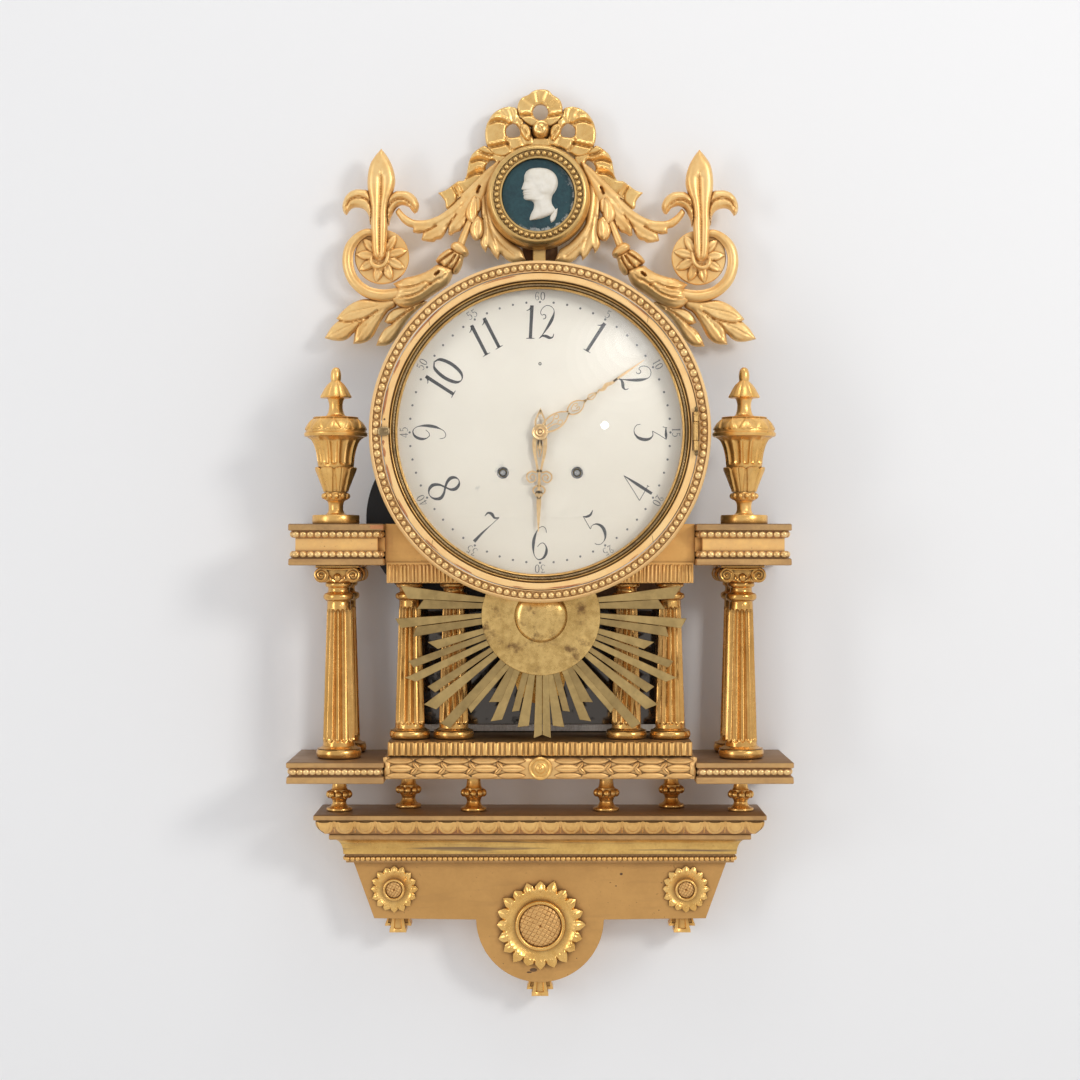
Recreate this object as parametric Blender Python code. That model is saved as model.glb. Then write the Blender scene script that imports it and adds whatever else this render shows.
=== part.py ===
# Giltwood wall clock, built as an assembly of separate pieces.
# Sizes are in millimetres and are scaled to metres as each object is made.
# The wall is the plane Y = 0, the clock faces -Y, and the dial axis runs through the origin.
# "Depth" is always the distance from the wall towards the viewer.

import bpy
import bmesh
from math import atan2, cos, hypot, pi, radians, sin, sqrt, tau
from mathutils import Matrix, Vector

MM = 0.001

# Clearances
fit = 0.3
running_fit = 0.4
swing_room = 1.6

# Facets of the turned pieces
ring_steps = 40
case_steps = 30

# Depths from the wall
board_thickness = 12.0
case_front = 130.7
rail_back = 66.0
rail_front = 116.0
frieze_front = 118.0
block_depth = 140.0
plinth_front = 130.0
laurel_front = 138.0
crest_layer = 12.0
spray_thickness = 20.0
medallion_thickness = 36.0

# Back board and its slat
board_half_width = 92.0
niche_half_width = 150.0
board_top = 150.0
slat_half_width = 20.0
slat_top = 352.0
hanging_hole_radius = 4.0
hanging_hole_z = 338.0

# Movement case, a dark drum with a round bell lobe on the strike side
case_radius = 148.0
case_wall = 8.0
case_back = 5.0
flange_radius = 160.0
flange_thickness = 9.0
lobe_radius = 98.0
lobe_x = -88.0
lobe_z = -90.0
lobe_depth = 44.0
lobe_wall = 5.0
pendulum_slot_half_width = 24.0
pendulum_slot_depth = 34.0

# Fixed beaded ring, dial and glazed door
ring_radius = 183.5
ring_thickness = 27.0
ring_bore = 158.0
rebate_radius = 170.0
rebate_rise = 9.0
dial_thickness = 2.0
dial_hole = 5.2
winding_hole = 6.5
door_set_back = 2.0
door_bore = 162.0
bezel_set_back = 4.0
bezel_lip = 152.5
glass_thickness = 2.0
glass_rise = 21.0
glass_recess = 6.0

# Door hinge and turn button
hinge_x = 166.5
hinge_half_length = 21.0
hinge_barrel = 3.2
hinge_pin = 1.3
knuckle_half_length = 10.0
hinge_tab = 8.0
hinge_leaf_thickness = 1.4
button_x = -164.5
button_reach = 8.2
button_tail = 4.2
button_half_width = 4.8
button_thickness = 2.0

# Entablature, from the dial axis downwards
rail_below_case = 14.8
rail_height = 43.9
frieze_height = 20.3
frieze_half_width = 166.7
block_inner = 168.4
block_width = 102.7
block_height = 44.9
block_recess = 7.0

# Columns
inner_column_x = (95.0, 143.0)
inner_column_depth = 91.0
inner_column_height = 171.6
inner_base_radius = 22.4
inner_shaft_top = 11.5
inner_shaft_bottom = 16.3
outer_column_x = 221.0
outer_front_depth = 92.0
outer_rear_depth = 27.5
outer_base_radius = 25.0
outer_shaft_top = 13.1
outer_shaft_bottom = 17.8
capital_height = 18.0
capital_half_width = 26.5

# Urns
urn_x = 224.0
urn_depth = 95.0
urn_height = 174.1
urn_rim_radius = 35.0
urn_base_radius = 25.5

# Lower stage and its feet
plinth_height = 15.6
plinth_half_width = 164.7
laurel_height = 25.5
laurel_half_width = 168.0
lower_block_height = 23.3
lower_block_drop = 5.6
lower_block_width = 105.0
foot_height = 39.4
foot_front_x = (74.0, 224.0)
foot_front_depth = 55.0
foot_rear_x = 148.6
foot_rear_depth = 25.0
foot_radius = 13.8
mirror_thickness = 3.5
mirror_height = 139.0

# Bracket
shelf_half_width = 249.0
shelf_depth = 95.0
apron_depth = 51.0
apron_top_half_width = 208.6
apron_bottom_half_width = 185.5
apron_height = 64.0
drop_radius = 71.5
tassel_inset = 25.5
tassel_height = 18.6
tassel_radius = 13.0
tassel_tenon = 7.3
tassel_depth = 30.0
sunflower_radius = 48.8
sunflower_boss = 23.4
small_sunflower_radius = 26.8
small_sunflower_boss = 9.6
small_sunflower_inset = 45.6
sunflower_thickness = 15.0

# Crest
medallion_z = 268.7
medallion_radius = 57.4
medallion_tenon = 15.0
plaque_radius = 40.8
plaque_thickness = 5.0
rosette_x = 177.5
rosette_z = 202.0
rosette_radius = 30.4
scroll_radius = 40.0
scroll_tube = 6.4
fleur_x = 180.0

# Sunburst plate below the dial
sun_z = -198.6
sun_radius = 65.0
sun_boss_radius = 27.0
sun_boss_rise = 8.0
sun_thickness = 2.5
ray_angles = (-8.0, 5.0, 21.0, 34.5, 48.0, 62.0, 76.0)
ray_lengths = (156.0, 158.0, 160.0, 159.0, 158.0, 127.0, 124.0)
ray_width = 20.0
ray_root = 12.6
ray_short = 0.86
centre_ray_length = 128.0

# Movement
plate_thickness = 2.7
back_plate_depth = 60.0
pillar_length = 45.6
plate_half_width = 64.0
plate_top = 84.0
plate_bottom = -99.0
pillar_radius = 4.0
arbor_radius = 2.2
arbor_turn = 0.13
pivot_radius = 0.9
train_arbor_radius = 1.3
barrel_x = 40.0
barrel_z = -43.4
barrel_radius = 26.0
barrel_length = 24.0
winding_arbor_radius = 3.0
winding_arbor_end = 129.5
great_teeth = 56
centre_pinion_teeth = 7
going_wheel_step = 40.0
strike_wheel_step = 8.0
centre_wheel_teeth = 60
third_pinion_teeth = 6
centre_module = 0.8
centre_wheel_step = 28.0
third_wheel_teeth = 72
escape_pinion_teeth = 7
third_module = 0.62
third_wheel_step = 20.0
escape_z = 42.0
escape_teeth = 30
escape_radius = 17.0
escape_wheel_step = 10.0
wheel_thickness = 2.2
pinion_length = 6.0
motion_module = 1.0
cannon_teeth = 10
minute_wheel_teeth = 30
minute_pinion_teeth = 8
hour_wheel_teeth = 32
cannon_gap = 2.0
hour_wheel_step = 5.0
motion_thickness = 2.0

# Hands
hour_hand_gap = 4.2
minute_hand_gap = 2.0
hand_thickness = 1.0
hour_hand_length = 107.0
hour_hand_tail = 26.0
minute_hand_length = 136.0
hand_boss = 8.6
minute_rest_angle = 55.3
hour_rest_angle = 181.0

# Pendulum, hammer and bell
pendulum_axis_z = 66.0
pendulum_step = 17.0
pendulum_rod_width = 6.0
pendulum_rod_thickness = 1.6
bob_z = -272.0
bob_radius = 28.0
bob_thickness = 9.0
anchor_thickness = 3.0
crutch_step = 12.0
crutch_length = 42.0
cock_drop = 5.0
bell_radius = 70.0
bell_wall = 2.5
bell_mouth = 48.0
bell_rim = 13.0
hammer_x = -58.0
hammer_z = 10.5
hammer_head_radius = 6.0
hammer_gap = 0.6
hammer_arm_depth = 50.0

# Levels worked out from the sizes above
rail_top = rail_height + frieze_height - case_radius - rail_below_case
rail_bottom = rail_top - rail_height
frieze_bottom = rail_bottom - frieze_height
plinth_top = frieze_bottom - inner_column_height
plinth_bottom = plinth_top - plinth_height
laurel_bottom = plinth_bottom - laurel_height
block_bottom = rail_top - block_height
lower_block_top = plinth_bottom - lower_block_drop
outer_column_height = block_bottom - lower_block_top
lower_block_bottom = lower_block_top - lower_block_height
shelf_top = lower_block_bottom - foot_height
cornice_levels = ((0.0, 0.0), (7.7, 0.0), (8.0, 4.0), (24.5, 17.0), (31.0, 18.0), (48.0, 31.0), (57.0, 32.0))
apron_top = shelf_top - cornice_levels[-1][0]
apron_bottom = apron_top - apron_height
block_outer = block_inner + block_width
lower_block_outer = block_inner + lower_block_width
ring_back = case_front + fit
ring_front = ring_back + ring_thickness
rebate_depth = ring_back + rebate_rise
door_front = ring_front - door_set_back
bezel_front = door_front - bezel_set_back
glass_seat = bezel_front - glass_recess
hinge_depth = ring_front + fit + hinge_barrel
small_sunflower_x = apron_top_half_width - small_sunflower_inset
tassel_x = apron_bottom_half_width - tassel_inset
front_plate_depth = back_plate_depth + plate_thickness + pillar_length
going_wheel_depth = back_plate_depth + going_wheel_step
strike_wheel_depth = back_plate_depth + strike_wheel_step
centre_wheel_depth = back_plate_depth + centre_wheel_step
third_wheel_depth = back_plate_depth + third_wheel_step
escape_wheel_depth = back_plate_depth + escape_wheel_step
cannon_depth = front_plate_depth + plate_thickness + cannon_gap
hour_wheel_depth = cannon_depth + hour_wheel_step
hour_hand_depth = case_front + fit + dial_thickness + hour_hand_gap
minute_hand_depth = hour_hand_depth + hand_thickness + minute_hand_gap
pendulum_depth = back_plate_depth - pendulum_step
crutch_depth = back_plate_depth - crutch_step
third_x, third_z = 0.0, 0.0


# Helpers for objects, materials and collections

def clear_scene():
    for old in list(bpy.data.objects):
        bpy.data.objects.remove(old, do_unlink=True)


def new_collection(name, hidden=False):
    group = bpy.data.collections.new(name)
    bpy.context.scene.collection.children.link(group)
    group.hide_render = hidden
    return group


def principled(name, colour, roughness, metallic):
    material = bpy.data.materials.new(name)
    material.use_nodes = True
    shader = material.node_tree.nodes["Principled BSDF"]
    shader.inputs["Base Color"].default_value = (*colour, 1.0)
    shader.inputs["Roughness"].default_value = roughness
    shader.inputs["Metallic"].default_value = metallic
    material.diffuse_color = (*colour, 1.0)
    return material


def add_object(name, mesh, finish):
    thing = bpy.data.objects.new(name, mesh)
    clock.objects.link(thing)
    if finish:
        mesh.materials.append(finishes[finish])
    return thing


def finish_mesh(name, bm, finish):
    bmesh.ops.remove_doubles(bm, verts=bm.verts, dist=0.00002)
    bmesh.ops.recalc_face_normals(bm, faces=bm.faces)
    mesh = bpy.data.meshes.new(name)
    bm.to_mesh(mesh)
    bm.free()
    return add_object(name, mesh, finish)


def place(thing, x=0.0, depth=0.0, z=0.0, facing=False):
    thing.location = (x * MM, -depth * MM, z * MM)
    if facing:
        thing.rotation_euler = (pi / 2, 0.0, 0.0)
    return thing


def combine(target, other, operation):
    clock.objects.unlink(other)
    tools.objects.link(other)
    other.hide_render = True
    other.display_type = "WIRE"
    other.parent = target
    other.matrix_parent_inverse = target_matrix(target).inverted()
    step = target.modifiers.new(operation.lower(), "BOOLEAN")
    step.operation = operation
    step.solver = "EXACT"
    step.object = other
    return target


def target_matrix(thing):
    return Matrix.LocRotScale(thing.location, thing.rotation_euler, thing.scale)


def join(target, *others):
    for other in others:
        combine(target, other, "UNION")
    return target


def cut(target, *others):
    for other in others:
        combine(target, other, "DIFFERENCE")
    return target


# Helpers for shapes

def box(name, finish, x_range, depth_range, z_range):
    bm = bmesh.new()
    bmesh.ops.create_cube(bm, size=1.0)
    size = [abs(b - a) * MM for a, b in (x_range, depth_range, z_range)]
    bmesh.ops.scale(bm, vec=size, verts=bm.verts)
    thing = finish_mesh(name, bm, finish)
    centre = [(a + b) / 2 for a, b in (x_range, depth_range, z_range)]
    return place(thing, *centre)


def turned(name, finish, profile, steps, closed=False):
    """A solid of revolution about local Z from (radius, height) points."""
    bm = bmesh.new()
    points = [bm.verts.new((r * MM, 0.0, h * MM)) for r, h in profile]
    pairs = list(zip(points, points[1:]))
    if closed:
        pairs.append((points[-1], points[0]))
    edges = [bm.edges.new(pair) for pair in pairs]
    bmesh.ops.spin(bm, geom=points + edges, cent=(0, 0, 0), axis=(0, 0, 1), angle=tau,
                   steps=steps, use_merge=True)
    return finish_mesh(name, bm, finish)


def disc(name, finish, radius, depth_from, depth_to, steps=24):
    profile = [(0, depth_from), (radius, depth_from), (radius, depth_to), (0, depth_to)]
    return turned(name, finish, profile, steps)


def outline(name, finish, loops, depth_from, depth_to, resolution=3, smooth=True):
    """A flat plate from closed loops of (x, z) points; a third item marks a sharp corner."""
    curve = bpy.data.curves.new(name, "CURVE")
    curve.dimensions = "2D"
    curve.fill_mode = "BOTH"
    curve.extrude = (depth_to - depth_from) / 2 * MM
    curve.resolution_u = resolution
    curve.render_resolution_u = 0
    for loop in loops:
        spline = curve.splines.new("BEZIER" if smooth else "POLY")
        spline.use_cyclic_u = True
        points = spline.bezier_points if smooth else spline.points
        points.add(len(loop) - 1)
        for point, item in zip(points, loop):
            if smooth:
                point.co = (item[0] * MM, item[1] * MM, 0.0)
                kind = "VECTOR" if len(item) > 2 else "AUTO"
                point.handle_left_type = kind
                point.handle_right_type = kind
            else:
                point.co = (item[0] * MM, item[1] * MM, 0.0, 1.0)
    return from_curve(name, curve, finish, (depth_from + depth_to) / 2)


def from_curve(name, curve, finish, lift):
    holder = bpy.data.objects.new(name, curve)
    bpy.context.scene.collection.objects.link(holder)
    graph = bpy.context.evaluated_depsgraph_get()
    mesh = bpy.data.meshes.new_from_object(holder.evaluated_get(graph))
    bpy.data.objects.remove(holder, do_unlink=True)
    bm = bmesh.new()
    bm.from_mesh(mesh)
    bpy.data.meshes.remove(mesh)
    bmesh.ops.translate(bm, vec=(0, 0, lift * MM), verts=bm.verts)
    return finish_mesh(name, bm, finish)


def tube(name, finish, route, radius, depth, sides=1):
    """A round rod along (x, z) points in one plane, with closed ends."""
    curve = bpy.data.curves.new(name, "CURVE")
    curve.dimensions = "3D"
    curve.bevel_depth = radius * MM
    curve.bevel_resolution = sides
    curve.use_fill_caps = True
    curve.resolution_u = 2
    curve.render_resolution_u = 0
    spline = curve.splines.new("BEZIER")
    spline.bezier_points.add(len(route) - 1)
    for point, (x, z) in zip(spline.bezier_points, route):
        point.co = (x * MM, z * MM, 0.0)
        point.handle_left_type = "AUTO"
        point.handle_right_type = "AUTO"
    return from_curve(name, curve, finish, depth)


def stack(name, finish, levels):
    """Rectangles (z, half width or x range, depth from, depth to) drawn out one below another."""
    bm = bmesh.new()
    bmesh.ops.create_grid(bm, x_segments=1, y_segments=1, size=1.0)
    face = list(bm.faces)
    for index, (z, x_range, back, front) in enumerate(levels):
        if index:
            grown = bmesh.ops.extrude_face_region(bm, geom=face)["geom"]
            if index > 1:
                bmesh.ops.delete(bm, geom=face, context="FACES_ONLY")
            face = [item for item in grown if isinstance(item, bmesh.types.BMFace)]
        middle = face[0].calc_center_median()
        for vert in face[0].verts:
            x = x_range[0] if vert.co.x < middle.x else x_range[1]
            depth = front if vert.co.y < middle.y else back
            vert.co = Vector((x * MM, -depth * MM, z * MM))
    return finish_mesh(name, bm, finish)


def arc(radius, start, end, count, x=0.0, z=0.0):
    step = (end - start) / (count - 1)
    turns = [radians(start + step * index) for index in range(count)]
    return [(x + radius * cos(turn), z + radius * sin(turn)) for turn in turns]


def gear_loop(teeth, module, phase, addendum=0.5, dedendum=1.1):
    """Pointed clock teeth: each has a tip and the root beside it."""
    pitch = module * teeth / 2
    turn = tau / teeth
    points = []
    for tooth in range(teeth):
        for angle, radius in ((0.0, addendum), (0.5, -dedendum)):
            reach = pitch + radius * module
            points.append((reach * cos(phase + (tooth + angle) * turn), reach * sin(phase + (tooth + angle) * turn)))
    return points


def circle_loop(radius, count=16, x=0.0, z=0.0):
    return [(x + radius * cos(tau * i / count), z + radius * sin(tau * i / count)) for i in range(count)]


def mesh_phase(driver_phase, driver_teeth, driven_teeth, bearing):
    """Phase that puts a driven wheel's gap on the driver's tooth along the line of centres."""
    along = (bearing - driver_phase) * driver_teeth
    return bearing + pi - (pi - along) / driven_teeth


# Case, board and ring

def back_board():
    half = slat_half_width
    loop = [(-half, slat_top), (half, slat_top), (half, board_top), (board_half_width, board_top),
            (board_half_width, rail_top), (niche_half_width, rail_top), (niche_half_width, plinth_bottom),
            (-niche_half_width, plinth_bottom), (-niche_half_width, rail_top),
            (-board_half_width, rail_top), (-board_half_width, board_top), (-half, board_top)]
    hanging_hole = circle_loop(hanging_hole_radius, 12, 0.0, hanging_hole_z)
    board = outline("back_board", "pine", [loop, hanging_hole], 0.0, board_thickness, smooth=False)
    return place(board, facing=True)


def movement_case():
    start = board_thickness + fit
    inner = case_radius - case_wall
    flange = case_front - flange_thickness
    profile = [(0, start), (case_radius, start), (case_radius, flange), (flange_radius, flange),
               (flange_radius, case_front), (inner, case_front), (inner, start + case_back),
               (0, start + case_back)]
    case = place(turned("movement_case", "black", profile, case_steps), facing=True)
    lobe = place(disc("lobe_shell", "black", lobe_radius, start, start + lobe_depth, 24), lobe_x, 0, lobe_z, True)
    room = place(disc("lobe_room", None, lobe_radius - lobe_wall, start + case_back,
                      start + lobe_depth - lobe_wall, 24), lobe_x, 0, lobe_z, True)
    drum_room = place(disc("drum_room", None, inner - fit / 10, start + case_back + fit / 10,
                           case_front + swing_room, case_steps), facing=True)
    slot_start = start + case_back + fit
    slot = box("pendulum_slot", None, (-pendulum_slot_half_width, pendulum_slot_half_width),
               (slot_start, slot_start + pendulum_slot_depth), (-case_radius - 12.0, -inner + 12.0))
    return cut(join(case, lobe), room, drum_room, slot)


def drum_ring():
    back = case_front + fit
    profile = [(ring_bore, back), (ring_bore, rebate_depth), (rebate_radius, rebate_depth),
               (rebate_radius, ring_front), (ring_radius - 4.0, ring_front), (ring_radius, ring_front - 5.0),
               (ring_radius, rebate_depth), (ring_radius - 6.0, back)]
    return place(turned("drum_ring", "gilt", profile, ring_steps, closed=True), facing=True)


def mirror_plate():
    bottom = plinth_top + fit
    back = board_thickness + fit
    return box("mirror_plate", "mirror", (-niche_half_width, niche_half_width),
               (back, back + mirror_thickness), (bottom, bottom + mirror_height))


# Entablature, columns and urns

def entablature_rail():
    rail = box("entablature_rail", "ochre", (-block_inner + fit, block_inner - fit),
               (rail_back, rail_front), (rail_bottom, rail_top))
    frieze = box("reeded_frieze", None, (-frieze_half_width, frieze_half_width),
                 (rail_back, frieze_front), (frieze_bottom, rail_bottom + 2.0))
    hole = place(disc("case_opening", None, case_radius + fit, rail_back - 5.0, frieze_front + 5.0, case_steps), facing=True)
    return cut(join(rail, frieze), hole)


def entablature_block(side):
    name = "entablature_block_left" if side < 0 else "entablature_block_right"
    near, far = block_inner, block_outer
    recess = block_recess
    front = block_depth

    def level(drop, inset):
        ends = sorted((side * near, side * (far - inset)))
        return (rail_top - drop, ends, 0.5, front - inset)
    drops = ((0.0, 0.0), (7.5, 0.0), (8.5, 4.0), (14.0, 4.0), (14.6, recess), (29.0, recess), (29.6, 4.0),
             (36.0, 4.0), (37.0, 0.5), (block_height, 0.5))
    block = stack(name, "ochre", [level(drop, inset) for drop, inset in drops])
    if side < 0:
        room = place(disc("lobe_clearance", None, lobe_radius + fit, -5.0,
                          board_thickness + lobe_depth + 2 * fit, 24), lobe_x, 0, lobe_z, True)
        cut(block, room)
    return block


def inner_column(name, x):
    base = inner_base_radius
    top, bottom = inner_shaft_top, inner_shaft_bottom
    high = inner_column_height - 2 * fit
    profile = [(0, 0), (base - 2.5, 0), (base, 4.0), (base - 2.0, 9.0), (bottom + 1.0, 12.0), (bottom, 24.0),
               (top, high - 26.0), (top + 3.4, high - 20.0), (top + 1.2, high - 12.0), (top + 4.5, high - 3.0),
               (top + 4.5, high), (0, high)]
    column = turned(name, "burnished", profile, 12)
    return place(column, x, inner_column_depth, plinth_top + fit)


def outer_column(name, x, depth):
    base = outer_base_radius
    top, bottom = outer_shaft_top, outer_shaft_bottom
    high = outer_column_height - 2 * fit
    neck = high - capital_height
    profile = [(0, 0), (base - 2.5, 0), (base, 5.5), (base - 2.5, 11.0), (bottom + 1.5, 13.0), (bottom, 26.0),
               (top, neck - 20.0), (top + 0.6, neck - 18.5), (top + 2.4, neck - 15.0), (top, neck - 9.0),
               (top + 1.8, neck - 1.0), (top + 0.5, neck + 7.0), (0, neck + 7.0)]
    column = place(turned(name, "burnished", profile, 12), x, depth, lower_block_top + fit)
    reach = capital_half_width
    eye = 10.0
    volutes = [(reach - eye, 2.0), (reach, eye), (reach - 3.0, capital_height - 1.0, 1), (reach - 3.0, capital_height, 1)]
    loop = volutes + [(-x_, z_, *mark) for x_, z_, *mark in reversed(volutes)] + [(0, 3.5)]
    half_depth = top + 8.9
    capital = outline(name + "_capital", None, [loop], -half_depth, half_depth, 2)
    place(capital, x, depth, lower_block_top + fit + neck, True)
    return join(column, capital)


def urn(side):
    name = "urn_left" if side < 0 else "urn_right"
    rim, foot, high = urn_rim_radius, urn_base_radius, urn_height - fit
    profile = [(0, 0), (foot, 0), (foot, 8.0), (foot * 0.6, 11.5), (7.7, 15.0), (7.7, 24.0), (15.7, 27.0),
               (15.7, 34.0), (12.7, 37.0), (20.5, 52.0), (22.5, 63.0), (20.6, 65.0), (24.5, 92.0),
               (rim, 94.0), (rim - 2.0, 104.0), (rim - 9.0, 117.0), (9.0, 121.0), (6.9, 134.0), (16.3, 139.0),
               (13.0, 149.0), (4.0, 156.0), (5.9, 163.0), (0, high)]
    body = turned(name, "burnished", profile, 14)
    return place(body, side * urn_x, urn_depth, rail_top + fit)


# Lower stage, feet and bracket

def plinth_rail():
    back = board_thickness + fit
    plinth = box("plinth_rail", "ochre", (-plinth_half_width, plinth_half_width),
                 (back, plinth_front), (plinth_bottom - 2.0, plinth_top))
    half = laurel_height / 2
    middle = plinth_bottom - half
    belly = 9.0
    section = [(plinth_bottom, 0.0), (plinth_bottom - 4.0, belly * 0.7), (middle, belly),
               (laurel_bottom + 4.0, belly * 0.7), (laurel_bottom, 0.0)]
    ends = (-laurel_half_width, laurel_half_width)
    levels = [(z, ends, back, laurel_front - belly + swell) for z, swell in section]
    return join(plinth, stack("laurel_moulding", None, levels))


def lower_block(side):
    name = "lower_block_left" if side < 0 else "lower_block_right"

    def level(drop, inset):
        ends = sorted((side * block_inner, side * (lower_block_outer - inset)))
        return (lower_block_top - drop, ends, 0.5, block_depth - inset)
    drops = ((0.0, 0.0), (4.0, 0.0), (5.0, 4.0), (15.5, 4.0), (16.5, 0.5), (lower_block_height, 0.5))
    return stack(name, "ochre", [level(drop, inset) for drop, inset in drops])


def foot(name, x, depth, top):
    high = top - shelf_top - 2 * fit
    wide = foot_radius
    profile = [(0, 0), (wide, 0), (wide, 4.5), (wide * 0.57, 8.5), (wide * 0.57, 15.0), (wide * 1.04, 19.5),
               (wide * 1.04, 24.5), (wide * 0.57, 29.0), (wide * 0.7, high), (0, high)]
    return place(turned(name, "burnished", profile, 10), x, depth, shelf_top + fit)


def bracket_cornice():
    levels = []
    for drop, inset in cornice_levels:
        half = shelf_half_width - inset
        levels.append((shelf_top - drop, (-half, half), 0.5, shelf_depth - inset))
    return stack("bracket_cornice", "ochre", levels)


def bracket_apron():
    top = apron_top - fit
    drop = arc(drop_radius, -3.0, -177.0, 17, 0.0, apron_bottom)
    loop = [(-apron_top_half_width, top), (apron_top_half_width, top),
            (apron_bottom_half_width, apron_bottom), *drop, (-apron_bottom_half_width, apron_bottom)]
    apron = place(outline("bracket_apron", "ochre", [loop], 0.5, apron_depth, smooth=False), facing=True)
    wide = tassel_radius
    profile = [(0, 0), (wide, 0), (wide, 3.0), (wide * 0.78, 4.0), (wide * 0.7, 10.0), (wide * 0.5, 11.0),
               (wide * 0.4, tassel_height + tassel_tenon), (0, tassel_height + tassel_tenon)]
    ends = [(-tassel_x, apron_bottom), (tassel_x, apron_bottom), (0.0, apron_bottom - drop_radius)]
    for index, (x, z) in enumerate(ends):
        tassel = turned("tassel_%d" % index, None, profile, 12)
        tassel.rotation_euler = (0.0, 0.0, radians(11.0))
        join(apron, place(tassel, x, tassel_depth, z - tassel_height))
    return apron


def sunflower(name, x, z, radius, boss):
    start = apron_depth + fit
    thick = sunflower_thickness * (0.5 + 0.5 * radius / sunflower_radius)
    count = 20 if radius > 40 else 14
    petals = []
    for index in range(count):
        for part, reach in ((0.0, 1.0), (0.5, 0.86)):
            turn = tau * (index + part) / count
            petals.append((radius * reach * cos(turn), radius * reach * sin(turn)))
    flower = outline(name, "burnished", [petals], start, start + thick * 0.5, smooth=False)
    place(flower, x, 0, z, True)
    rim = boss + (radius - boss) * 0.25
    profile = [(0, start + thick * 0.3), (rim, start + thick * 0.3), (rim, start + thick * 0.8),
               (rim - 2.0, start + thick), (boss, start + thick * 0.8), (boss * 0.6, start + thick),
               (0, start + thick * 1.1)]
    centre = place(turned(name + "_boss", None, profile, 20), x, 0, z, True)
    return join(flower, centre)


# Crest

def ribbon_bow():
    start = board_thickness + fit
    half = [(0, 396.0), (13, 394), (24, 384), (25, 372), (19, 363, 1), (33, 375), (44, 377), (58, 369),
            (62, 353), (57, 338), (63, 328), (72, 315), (86, 300), (104, 291), (117, 279, 1), (104, 262, 1),
            (88, 272), (70, 284), (56, 291), (38, 312), (22, 329), (9, 333), (0, 333)]
    other = [(-x, *rest) for x, *rest in reversed(half[1:-1])]
    hole_loops = [arc(9.0, 0.0, 330.0, 8, 0.0, 371.0)]
    for side in (-1, 1):
        hole_loops.append([(side * 31 + 7.5 * cos(turn), 351 + 9.0 * sin(turn))
                           for turn in (tau * index / 8 for index in range(8))])
    bow = outline("ribbon_bow", "burnished", [half + other, *hole_loops], start, start + crest_layer, 1)
    knot = disc("knot", None, 10.2, start, start + crest_layer + 6.0, 16)
    return join(place(bow, facing=True), place(knot, 0, 0, 349.0, True))


def medallion_frame():
    start = board_thickness + crest_layer + 2 * fit
    front = start + medallion_thickness
    seat = front - 10.0
    seat_back = board_thickness + fit
    profile = [(0, seat_back), (medallion_tenon, seat_back), (medallion_tenon, start),
               (medallion_radius - 6.0, start), (medallion_radius, start + 8.0),
               (medallion_radius, front - 8.0), (medallion_radius - 5.0, front), (plaque_radius + 3.0, front - 3.0),
               (plaque_radius + fit, front - 5.0), (plaque_radius + fit, seat - plaque_thickness),
               (0, seat - plaque_thickness)]
    return place(turned("medallion_frame", "burnished", profile, 36), 0, 0, medallion_z, True)


def cameo_plaque():
    front = board_thickness + crest_layer + 2 * fit + medallion_thickness - 10.0
    back = front - plaque_thickness + fit
    plaque = place(disc("cameo_plaque", "teal", plaque_radius, back, front, 36), 0, 0, medallion_z, True)
    head = [(-6, 22), (4, 26), (12, 22), (15, 12), (12, 2), (11, -8), (18, -20), (14, -29), (0, -31), (-10, -24),
            (-3, -12), (-9, -9), (-12, -6), (-11, 0), (-15, 4), (-12, 9), (-12, 16)]
    relief = outline("cameo_relief", None, [head], front - 1.0, front + 3.0, 2)
    return join(plaque, place(relief, 0, 0, medallion_z, True))


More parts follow.
